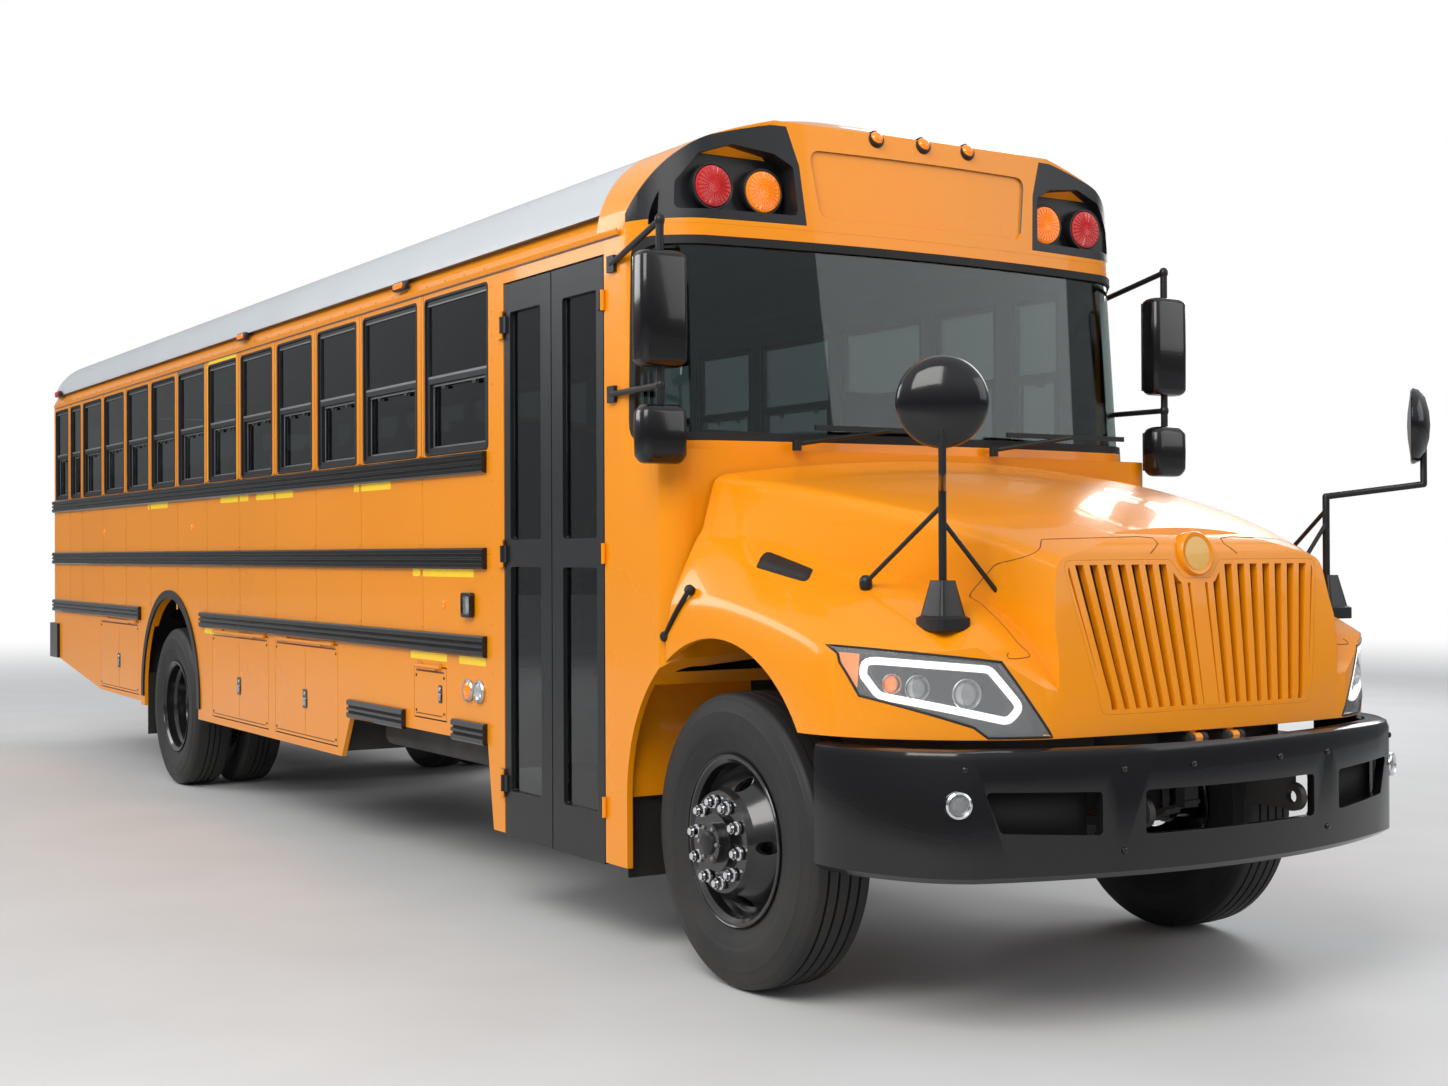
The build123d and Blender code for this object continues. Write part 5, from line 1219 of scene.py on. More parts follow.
@dataclass
class RoofShell:
    """Roof behind the front cap, rounded down at the rear, with a curb round each hatch."""

    hatches: tuple[float, ...] = (3.800, 7.500)
    wall: float = 0.050
    dome: float = 0.420

    def build(self) -> None:
        """Makes the roof."""
        rear, dome = BODY_REAR, BODY_REAR - self.dome
        side = [(CAP_REAR, 2.860), (rear, 2.860), (rear, 3.093), (rear - 0.02, 3.135), (rear - 0.09, 3.200),
                (rear - 0.24, 3.255), (dome, CROWN_Z + 0.01), (CAP_REAR, CROWN_Z + 0.01)]
        wall_rear, front, ceiling = rear - self.wall, CAP_REAR - 0.01, CROWN_Z - self.wall + 0.005
        inside = [(front, 2.0), (wall_rear, 2.0), (wall_rear, 3.065), (rear - 0.12, 3.140), (dome, ceiling),
                  (front, ceiling)]
        shell = Form.along(body_section(), CAP_REAR, rear) & Form.across(side, *ACROSS)
        shell -= (Form.along(body_section(self.wall), CAP_REAR - 0.005, rear)
                  & Form.across(inside, -HALF, HALF))
        for place in self.hatches:
            curb = Form.block(-0.300, 0.300, place - 0.300, place + 0.300, CROWN_Z - self.wall - 0.005, 3.294)
            hole = Form.block(-0.270, 0.270, place - 0.270, place + 0.270, 3.0, 3.34)
            shell = shell + curb - hole
        shell.piece("roof_shell", WHITE_ROOF, "bus", ["roof"])


def between_stations(stations: Sequence[Sequence[float]], steps: int) -> list[list[float]]:
    """Rows on smooth curves through the stations' rows; the first value of a row is its place.

    Args:
        stations: Rows of values.
        steps: Pieces between two stations.

    Returns:
        All rows, the stations' own among them.
    """
    def slope(n: int, k: int) -> float:
        """Rate of change of value k at station n."""
        a, b = stations[max(0, n - 1)], stations[min(len(stations) - 1, n + 1)]
        return (b[k] - a[k]) / (b[0] - a[0])

    rows = []
    for n in range(len(stations) - 1):
        first, second = stations[n], stations[n + 1]
        span = second[0] - first[0]
        for step in range(steps + (n == len(stations) - 2)):
            t = step / steps
            a, b, c, d = 2 * t**3 - 3 * t**2 + 1, t**3 - 2 * t**2 + t, -2 * t**3 + 3 * t**2, t**3 - t**2
            rows.append([first[0] + span * t] + [
                a * first[k] + b * span * slope(n, k) + c * second[k] + d * span * slope(n + 1, k)
                for k in range(1, len(first))])
    return rows


def flipped(places: Sequence[tuple[float, float] | Via]) -> list[tuple[float, float] | Via]:
    """The places on the other side of the middle, in the opposite order."""
    return [Via(-p.x, p.y) if isinstance(p, Via) else (-p[0], p[1]) for p in places[::-1]]


def eased(before: Sequence[float], corner: Sequence[float], after: Sequence[float], reach: float,
          steps: int = 5) -> Points:
    """Rounded corner of always as many points."""
    a, b, c = Vector(before), Vector(corner), Vector(after)
    start, end = (b + (p - b).normalized() * min(reach, 0.8 * (p - b).length) for p in (a, c))
    shares = (n / steps for n in range(steps + 1))
    return [tuple((1 - t) ** 2 * start + 2 * t * (1 - t) * b + t * t * end) for t in shares]


@dataclass
class HoodShell:
    """Tilting hood with both fenders, and the grille in its nose."""

    # Distance, crown z, shoulder x and z, crease x and z, fender crest x and z, fender edge x and z
    stations: tuple[tuple[float, ...], ...] = (
        (0.395, 1.922, 1.050, 1.840, 1.100, 1.640, 1.156, 1.505, 1.200, 1.330),
        (0.0, 1.862, 0.945, 1.790, 0.990, 1.585, 1.092, 1.500, 1.198, 1.362),
        (-0.500, 1.767, 0.812, 1.690, 0.830, 1.470, 0.985, 1.428, 1.194, 1.278),
        (-0.850, 1.672, 0.700, 1.600, 0.710, 1.385, 0.905, 1.330, 1.190, 1.150),
        (-1.230, 1.560, 0.575, 1.470, 0.632, 1.300, 0.850, 1.180, 1.185, 1.000),
    )
    low: float = 0.952
    side: float = 1.212
    shell: float = 0.026
    grille_size: tuple[float, float, float, float] = (1.018, 1.512, 0.482, 0.592)
    notch: tuple[float, float, float] = (0.114, 0.062, 1.450)
    slats: int = 9
    pivot: tuple[float, float] = (-1.192, 0.925)

    def centre(self, inset: float) -> Form:
        """Solid under the hood's middle part."""
        low, rings = self.low - 0.06 * (inset > 0), []
        for d, crown, sx, sz, cx, cz, *_ in between_stations(self.stations, 6):
            sx, cx, crown, sz = sx - inset, cx - inset, crown - inset, sz - inset
            arc = arc_points((sx, sz), (0, crown), (-sx, sz), 24)
            left = eased((cx, cz), (sx, sz), arc[0], 0.045)
            right = eased(arc[-1], (-sx, sz), (-cx, cz), 0.045)
            outline = [(-cx, low), (cx, low), (cx, cz)] + left + arc[1:-1] + right + [(-cx, cz)]
            rings.append([(x, back(d), z) for x, z in outline])
        return Form.lofted(rings)

    def fender(self, inset: float) -> Form:
        """Solid under the right fender, rounded over towards the headlamp."""
        low, side, rings = self.low - 0.06 * (inset > 0), self.side - inset, []
        for d, _, _, _, cx, cz, rx, rz, ex, ez in between_stations(self.stations, 6):
            crease, crest, edge = (-cx, cz - inset), (-rx, rz - inset), (-ex + inset, ez - inset)
            foot = (-side, max(ez - 0.120, self.low + 0.012))
            arc = arc_points(crease, crest, edge, 10)
            corner = eased(arc[-1], edge, foot, 0.030, 4)
            outline = [(-0.5, low), (-0.5, cz - inset), crease] + arc + corner + [foot, (-side, low)]
            rings.append([(x, back(d), z) for x, z in outline])
        front = curved([(0.5, 0.7), (-1.3, 0.7), (-1.194 + inset, 1.010), Via(-1.092 + inset, 1.196 - inset),
                        (-0.880, 1.372), (-0.7, 1.7), (0.5, 1.9)])
        return Form.lofted(rings) & Form.across(front, -1.3, -0.4)

    def outer(self, inset: float = 0.0) -> Form:
        """Hood and both fenders as one solid, drawn in by inset."""
        i, side = inset, self.side - inset + 0.002
        right = [(-side, -0.520), Via(-1.180 + i, -0.700 + i), (-1.105 + i, -0.845 + i),
                 Via(-0.925 + i, -1.030 + i), (-0.690 + i, -1.150 + i)]
        plan = curved([(-side, 0.5)] + right + [Via(0, -1.195 + i)] + flipped(right) + [(side, 0.5)], 16)
        nose = curved([(0.5, 0.8), (-1.194 + i, 0.8), (-1.194 + i, 0.950), (-1.108 + i, 1.522),
                       Via(-1.088 + i, 1.570 - 0.6 * i), (-1.034 + i, 1.600 - i), (-0.9, 2.1), (0.5, 2.1)])
        limits = Form.upright(plan, 0.7, 2.1) & Form.across(nose, -1.3, 1.3)
        wing = self.fender(inset) & limits
        return (self.centre(inset) & limits) + wing + wing.mirrored()

    def grille_outline(self, grow: float = 0.0, radius: float = 0.034) -> Points:
        """Opening of the grille from the front, notched under the emblem."""
        low, top, low_half, top_half = self.grille_size
        wide, narrow, foot = self.notch
        return rounded([(-low_half - grow, low - grow), (low_half + grow, low - grow),
                        (top_half + grow, top + grow), (wide - grow, top + grow),
                        (narrow - grow, foot + grow), (-narrow + grow, foot + grow),
                        (-wide + grow, top + grow), (-top_half - grow, top + grow)], radius, 5)

    def grille(self, whole: Form) -> None:
        """Upright slats either side of a middle bar, in a surround."""
        skin = whole - self.outer(0.070)
        field = skin & Form.along(self.grille_outline(-HAIR), -1.3, -1.0)
        bars = field - Form.along(self.grille_outline(-0.016, 0.026), -1.31, -0.99)
        low, top, low_half, top_half = self.grille_size
        pickets = None
        for n in range(-self.slats, self.slats + 1):
            share, half = n / (self.slats + 0.6), 0.034 if n == 0 else 0.0135
            a, b = share * low_half, share * top_half
            slat = Form.along([(a - half, low), (a + half, low), (b + half, top), (b - half, top)],
                              -1.3, -1.0)
            pickets = slat if pickets is None else pickets + slat
        (bars + (pickets & field)).piece("grille_slats", YELLOW_PAINT, "hood_body", ["grille"])

    def hood(self, whole: Form) -> None:
        """The shell, open for the grille, the lamps and the wheels, and its two lugs."""
        lamp = rounded([(-0.672, 0.957), (-0.827, 1.198), (-1.182, 1.245), (-1.177, 1.190), (-1.148, 1.084),
                        (-0.902, 0.990), (-0.864, 0.957)], 0.012, 3)
        bay = Form.along(lamp, -1.3, -0.64)
        ends = Form.upright(cowl_plan(-0.014), 0.7, 2.1) + Form.along(self.grille_outline(), -1.3, -1.0)
        arches = front_arches() - Form.block(-0.7, 0.7, -1, 1, 0, 2)
        shell = whole
        for cut in (bay, bay.mirrored(), self.outer(self.shell), arches, ends):
            shell = shell - cut
        shell.piece("hood_shell", YELLOW_PAINT, "hood_body", ["hood"])
        d, z = self.pivot
        for n, x in enumerate((-0.086, 0.086)):
            build = bmesh.new()
            ring = rectangle(0.0105, 0.019, -0.015, 0.015)
            add_turned(build, ring, facing((x, back(d), z), (1, 0, 0)), 24, closed=True)
            add_box(build, (x - 0.015, back(d + 0.014), z - 0.004),
                    (x + 0.015, back(d + 0.030), self.low + 0.008))
            built(f"hood_lug_{n}", build, YELLOW_PAINT, "hood_body")

    def build(self) -> None:
        """Makes the hood and the grille."""
        whole = self.outer()
        STANDS_FOR["headlamps"] = whole.mesh
        self.hood(whole)
        self.grille(whole)


@dataclass
class BumperShell:
    """Bowed front bumper with three openings, on two arms from the frame."""

    low: float = 0.515
    top: float = 0.928

    def plan(self, inset: float = 0.0) -> Points:
        """Plan of the bumper, drawn in by inset."""
        i = inset
        right = [(-1.200 + i, -0.582), Via(-1.182 + i, -0.770 + i / 2), (-1.140 + i, -0.900 + i),
                 Via(-1.065 + i, -1.030 + i), (-0.960 + i, -1.120 + i)]
        return curved(right + [Via(0, -1.300 + i)] + flipped(right), 16)

    def build(self) -> None:
        """Makes the bumper."""
        low, top = self.low, self.top
        rings = [[(x, back(d), z) for x, d in self.plan(inset)] for z, inset in (
            (low, 0.022), (low + 0.02, 0.0), (top - 0.03, 0.0), (top - 0.008, 0.006), (top, 0.018))]
        shell = Form.lofted(rings) - Form.upright(self.plan(0.028), self.low - 0.001, self.top - 0.014)
        shell -= Form.upright(self.plan(0.060), 0.9, 1.0)
        shell -= Form.block(-1.4, 1.4, -0.600, -0.500, 0, 1.2)
        end = rounded([(-0.546, 0.652), (-0.546, 0.788), (-0.930, 0.800), (-0.880, 0.672)], 0.016)
        for opening in (rounded(rectangle(-0.390, 0.390, 0.646, 0.786), 0.018), end,
                        [(-x, z) for x, z in end[::-1]]):
            shell -= Form.along(opening, -1.4, -0.9)
        for sign in (-1, 1):
            x0, x1 = sorted((sign * 0.354, sign * 0.430))
            shell += Form.block(x0, x1, -1.290, -1.080, 0.790, 0.915) & Form.upright(self.plan(0.014), 0, 2)
        shell.piece("front_bumper_shell", BLACK_GLOSS, "bus", ["front_bumper"])


def turned_head(width: float, depth: float, z0: float, z1: float, radius: float, x: float, d: float) -> Form:
    """Mirror head with well rounded corners and edges."""
    rings = []
    for n in range(13):
        t = math.pi * n / 12 - math.pi / 2
        rise, draw = math.sin(t), 1 - math.cos(t)
        z = z0 + radius * (1 + rise) if n < 6 else (z1 - radius * (1 - rise) if n > 6 else (z0 + z1) / 2)
        hx, hd = width - radius * draw * 0.75, depth - min(radius, depth * 0.8) * draw * 0.75
        corner = rounded(rectangle(-hx, hx, -hd, hd), min(radius, depth * 0.8), 5)
        rings.append([(x + px, back(d + pd), z) for px, pd in corner])
    return Form.lofted(rings)


@dataclass
class Mirrors:
    """Side mirrors on their stems and round fender mirrors on their masts."""

    stem: tuple[float, float] = (-1.262, 0.280)
    foot: tuple[float, float] = (-0.902, -0.895)
    lean: tuple[float, float] = (0.62, 0.78)
    brace_feet: tuple[Point, ...] = ((-0.960, -0.560, 1.440), (-0.650, -0.905, 1.372))

    def side_mirror(self) -> None:
        """Flat and convex heads, their glass, the stem and its two arms."""
        x, d = self.stem
        heads = [turned_head(0.097, 0.052, z0, z1, radius, x, d)
                 for z0, z1, radius in ((2.216, 2.636, 0.034), (1.864, 2.080, 0.046))]
        arms = [Form.rod((x, d, 2.060), (x, d, 2.750), 0.015)]
        for inner, outer in ((2.750, 2.650), (2.150, 2.150)):
            arms.append(Form.rod((x, d, inner), (-HALF - 0.008, 0.710, outer), 0.012))
            arms.append(Form.rod((x, d, inner - 0.004), (x, d, inner + 0.004), 0.019))
            arms.append(Form.block(-HALF - 0.016, -HALF - HAIR, 0.684, 0.740, outer - 0.032, outer + 0.032))
        glass = [Form.block(x - 0.083, x + 0.083, d + 0.0515, d + 0.0535, 2.236, 2.616),
                 Form.block(x - 0.078, x + 0.078, d + 0.0515, d + 0.0535, 1.890, 2.054)]
        for way, turn in (("right", lambda form: form), ("left", Form.mirrored)):
            for n, head in enumerate(heads):
                turn(head).piece(f"side_mirror_head_{way}_{n}", BLACK_GLOSS, "bus", angle=40)
                turn(glass[n]).piece(f"side_mirror_glass_{way}_{n}", MIRROR_GLASS, "bus")
            rig = turn(arms[0])
            for arm in arms[1:]:
                rig += turn(arm)
            rig.piece(f"side_mirror_arms_{way}", BLACK_SATIN, "bus",
                      ["side_mirrors"] if way == "right" else ())

    def fender_mirror(self) -> None:
        """Round convex mirror on a braced mast."""
        x, d = self.foot
        u, v = self.lean
        tip = (x - 0.340 * u, d - 0.340 * v)
        plan = rounded(rectangle(-0.062, 0.062, -0.072, 0.072), 0.02, 4)
        base = Form.lofted([[(x + px * share, back(d + pd * share), z) for px, pd in plan]
                            for z, share in ((1.290, 1.0), (1.330, 1.0), (1.338, 0.82), (1.450, 0.46))])
        rods = [((x, d, 1.440), (x, d, 1.740), 0.013), ((x, d, 1.740), (*tip, 1.780), 0.012),
                ((*tip, 1.780), (*tip, 1.990), 0.012), ((x, d, 1.690), self.brace_feet[0], 0.008),
                ((x, d, 1.640), self.brace_feet[1], 0.008)]
        rig = base
        for start, end, radius in rods:
            rig += Form.rod(start, end, radius)
        for fx, fd, fz in self.brace_feet:
            rig += Form.rod((fx, fd, fz - 0.01), (fx, fd, fz + 0.004), 0.022)
        middle = (tip[0] + 0.026 * u, back(tip[1] + 0.026 * v), 1.995)
        shell = [(0.0, -0.050), (0.050, -0.046), (0.100, -0.033), (0.132, -0.012), (0.141, 0.006),
                 (0.141, 0.014), (0.136, 0.018), (0.130, 0.016), (0.0, 0.016)]
        glass = [(0.0, 0.030), (0.045, 0.028), (0.090, 0.022), (0.129, 0.0165)]
        for way, sign, form, nodes in (("right", 1, rig, ["fender_mirrors"]),
                                       ("left", -1, rig.mirrored(), ())):
            form.piece(f"fender_mirror_rig_{way}", BLACK_SATIN, "hood_body", nodes)
            place = facing((sign * middle[0], middle[1], middle[2]), (sign * u, v, 0.0))
            turned(f"fender_mirror_head_{way}", shell, [place], BLACK_GLOSS, "hood_body", 64, 50)
            turned(f"fender_mirror_glass_{way}", glass, [place], MIRROR_GLASS, "hood_body", 64, 50)

    def build(self) -> None:
        """Makes all four mirrors."""
        self.side_mirror()
        self.fender_mirror()


@dataclass
class Arches:
    """Black lips round the rear wheel openings and the mud flaps."""

    centre: tuple[float, float] = (6.950, 0.600)
    inner: float = 0.654
    outer: float = 0.707
    foot: float = 0.560
    proud: float = 0.012

    def build(self) -> None:
        """Makes the lips and the flaps."""
        d, z = self.centre
        bend = [math.pi * n / 40 for n in range(41)]
        ring = [(d + self.outer, self.foot), *on_circle(d, z, self.outer, bend), (d - self.outer, self.foot),
                (d - self.inner, self.foot), *on_circle(d, z, self.inner, bend[::-1]),
                (d + self.inner, self.foot)]
        Form.across(ring, -HALF - self.proud, -HALF - HAIR).pair("arch_lip", BLACK_PLASTIC, "bus")
        Form.block(-1.185, -0.700, 0.669, 0.677, 0.300, 0.640).pair("front_mud_flap", RUBBER, "bus")
        rear = Form.block(-HALF + 0.026, -0.600, d + 0.659, d + 0.669, 0.290, 0.720)
        rear.pair("rear_mud_flap", RUBBER, "bus")


# Wheels

FRONT_WHEEL_X, REAR_WHEEL_X, REAR_INNER_X = 1.020, 1.048, 0.712


@dataclass
class Tyres:
    """The six tyres: a turned casing with tread blocks cut by straight grooves in front and lugs behind."""

    # Half section of the tyre from the inner bead to the tread: distance from the middle plane, radius
    section: Outline = (
        (0.0965, 0.2868), (0.104, 0.294), (0.110, 0.306), (0.118, 0.325), (0.1185, 0.328), (0.1240, 0.340),
        (0.1290, 0.355), (0.1335, 0.370), (0.1345, 0.3745), (0.1362, 0.377), (0.1385, 0.395), (0.1393, 0.410),
        (0.1385, 0.432), (0.1362, 0.455), (0.1345, 0.4575), (0.1330, 0.461), (0.1275, 0.480), (0.1215, 0.496),
        (0.1195, 0.4975), (0.1155, 0.506), (0.1090, 0.5145), (0.1010, 0.5195),
    )
    tread: float = 0.0985
    groove_depth: float = 0.013
    groove_half: float = 0.0052
    segments: int = 160
    # Foot of a lug: distance from the middle plane, distance round the tyre
    lug: Outline = ((0.040, 0.0), (0.078, 0.004), (0.101, 0.008), (0.101, 0.034), (0.078, 0.032),
                    (0.040, 0.029))
    lug_foot: float = 0.508
    lug_count: int = 58

    def crown(self, x: float) -> float:
        """Radius of the tread at a distance from the middle plane."""
        return 0.5243 - 0.0042 * (x / self.tread) ** 2

    def profile(self, grooves: Sequence[float]) -> Points:
        """Whole section with its grooves, from one bead to the other."""
        half = [(radius, x) for x, radius in self.section]
        tread = [(self.crown(self.tread), self.tread)]
        for groove in grooves:
            for side in (1, -1):
                edge = groove + side * self.groove_half
                wall = [(self.crown(edge), edge), (self.crown(edge) - self.groove_depth, edge - side * 0.001)]
                tread += wall[::side]
        tread.append((self.crown(self.tread), -self.tread))
        return half + tread + [(radius, -x) for radius, x in reversed(half)]

    def casing(self, name: str, places: Sequence[float], y: float, grooves: Sequence[float], body: str
               ) -> bpy.types.Object:
        """Tyres of one body, turned about their axle."""
        build = bmesh.new()
        for x in places:
            place = facing((x, y, TYRE_RADIUS), (1, 0, 0))
            add_turned(build, self.profile(grooves), place, self.segments, closed=True)
        return built(name, build, TYRE_RUBBER, body, 28)

    def lugs(self, name: str, places: Sequence[float], y: float, body: str) -> bpy.types.Object:
        """Cross cuts between the shoulder blocks of the driven tyres, as raised lugs."""
        build = bmesh.new()
        for x in places:
            for angle in turns(self.lug_count):
                turn = Matrix.Translation((x, y, TYRE_RADIUS)) @ Matrix.Rotation(angle, 4, "X")
                for side in (-1, 1):
                    outline = [(a * side, b) for a, b in self.lug]
                    low = [build.verts.new(turn @ Vector((a, b, self.lug_foot))) for a, b in outline]
                    high = [build.verts.new(turn @ Vector((a * 0.985, b * 0.94 + 0.001,
                                                           self.crown(abs(a)) + 0.0004)))
                            for a, b in outline]
                    build.faces.new(high)
                    bridge(build, low, high)
        return finish_piece(name, mesh_of(name, build, recalc=True), TYRE_RUBBER, body)

    def build(self) -> None:
        """Makes all six tyres in place of the plain ones."""
        ribs = (0.064, 0.0225, -0.0225, -0.064)
        rear_ribs = (0.036, 0.0, -0.036)
        for side in Side:
            way = side.name.lower()
            front_body, rear_body = f"front_wheel_{way}", f"rear_wheels_{way}"
            single = [side.value * FRONT_WHEEL_X]
            twins = [side.value * REAR_WHEEL_X, side.value * REAR_INNER_X]
            front = self.casing(f"tyre_casing_front_{way}", single, FRONT_AXLE_Y, ribs, front_body)
            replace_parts(front, f"tyre_front_{way}")
            rear = self.casing(f"tyre_casings_rear_{way}", twins, REAR_AXLE_Y, rear_ribs, rear_body)
            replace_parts(rear, f"tyres_rear_{way}")
            self.lugs(f"tread_lugs_rear_{way}", twins, REAR_AXLE_Y, rear_body)


@dataclass
class WheelHardware:
    """Bright nuts and studs, hub caps and their bolts on the wheels."""

    stud_circle: float = 0.142
    studs: int = 10
    first_stud: float = math.radians(9)
    nut_radius: float = 0.0198
    nut_height: float = 0.026

    def ring(self, x: float, y: float, way: int, radius: float, count: int, first: float = 0.0
             ) -> list[tuple[Point, Point]]:
        """Places on a circle about an axle, each facing outwards along it."""
        places = on_circle(y, TYRE_RADIUS, radius, (first + angle for angle in turns(count)))
        return [((x, *place), (way, 0, 0)) for place in places]

    def build(self) -> None:
        """Makes the hardware of all four wheels."""
        # End, body, axle, hub face, height of the nuts and of the cap, the wheel's middle, the bolts' circle
        # and count, and the finish of the cap
        ends = (("front", "front_wheel", FRONT_AXLE_Y, 1.188, 0.021, 0.048, FRONT_WHEEL_X, 0.058, 6,
                 BLACK_SATIN),
                ("rear", "rear_wheels", REAR_AXLE_Y, 0.880, 0.038, 0.098, REAR_WHEEL_X, 0.047, 8, STEEL))
        bead = [(0.3005, -0.003), (0.3045, -0.001), (0.3052, 0.004), (0.3025, 0.008), (0.2990, 0.006),
                (0.2975, 0.001)]
        for side in Side:
            way, sign = side.name.lower(), side.value
            for end, body, y, face, nut_out, cap, wheel_x, bolt_circle, bolt_count, finish in ends:
                body = f"{body}_{way}"
                nuts = self.ring(sign * (face + nut_out), y, sign, self.stud_circle, self.studs,
                                 self.first_stud)
                repeat(f"wheel_nuts_{end}_{way}", Repeat.HEX_NUT, nuts, self.nut_radius, self.nut_height,
                       CHROME, body)
                bolts = self.ring(sign * (face + cap + 0.001), y, sign, bolt_circle, bolt_count)
                repeat(f"hub_bolts_{end}_{way}", Repeat.HEX_NUT, bolts, 0.0085, 0.009, STEEL, body)
                dome = [(0.0, cap + 0.014), (0.030, cap + 0.013), (0.040, cap + 0.008), (0.043, cap - 0.002),
                        (0.0, cap - 0.002)]
                hub, rim = (facing((sign * x, y, TYRE_RADIUS), (sign, 0, 0))
                            for x in (face, wheel_x + 0.118 - 0.003))
                turned(f"hub_dome_{end}_{way}", dome, [hub], finish, body, 40)
                turned(f"rim_lip_{end}_{way}", bead + bead[:1], [rim], WHEEL_BLACK, body, 96)


# Lamps and fittings


@dataclass
class WarningLamps:
    """Lenses and rims of the eight round warning lamps."""

    height_front: float = 2.930
    height_rear: float = 2.940
    radius: float = 0.084
    lens_front: float = 0.433
    lens_rear: float = BODY_REAR + 0.037
    red_x: float = 0.943
    amber_x: float = 0.717
    rise: float = 0.016

    def lens(self, name: str, places: Sequence[Matrix], finish: Finish) -> None:
        """Domed lenses with a ring of facets pressed in."""
        rings = 9
        profile = [(0.0, 0.0165)]
        for n in range(1, rings + 1):
            radius = self.radius * 0.93 * n / rings
            height = self.rise * math.sqrt(max(0.0, 1 - (0.86 * n / rings) ** 2))
            profile += [(radius - 0.0030, height + 0.0016), (radius, height)]
        profile += [(self.radius * 0.945, 0.002), (self.radius * 0.945, -0.01)]
        turned(name, profile, places, finish, "bus", 72, 12)
        spokes = bmesh.new()
        spine = [(self.radius * 0.93 * t, self.rise * math.sqrt(max(0.0, 1 - (0.86 * t) ** 2)) + 0.0012)
                 for t in (0.32, 0.62, 0.92)]
        for place in places:
            for angle in turns(24):
                turn = place @ Matrix.Rotation(angle, 4, "Z")
                top = [spokes.verts.new(turn @ Vector((r, 0, h + 0.0022))) for r, h in spine]
                for side in (-1, 1):
                    edge = [spokes.verts.new(turn @ Vector((r, side * 0.0022 * (r / 0.04), h - 0.002)))
                            for r, h in spine]
                    for k in range(2):
                        quad = (top[k], top[k + 1], edge[k + 1], edge[k])
                        spokes.faces.new(quad if side < 0 else quad[::-1])
        built(f"{name}_ribs", spokes, finish, "bus", 20)

    def build(self) -> None:
        """Makes the lenses and their black plastic rims."""
        rim = [(0.0800, 0.004), (0.0835, 0.0075), (0.0885, 0.0075), (0.0905, 0.003), (0.0905, -0.012)]
        rims = []
        for x, finish, word in ((self.red_x, RED_LENS, "red"), (self.amber_x, AMBER_LENS, "amber")):
            places = []
            for sign in (-1, 1):
                places.append(facing((sign * x, back(self.lens_front) - 0.0005, self.height_front),
                                     (0, -1, 0)))
                places.append(facing((sign * x, back(self.lens_rear) + 0.0005, self.height_rear), (0, 1, 0)))
            self.lens(f"warning_lens_{word}", places, finish)
            rims += places
        turned("warning_lamp_rims", rim, rims, BLACK_PLASTIC, "bus", 64)


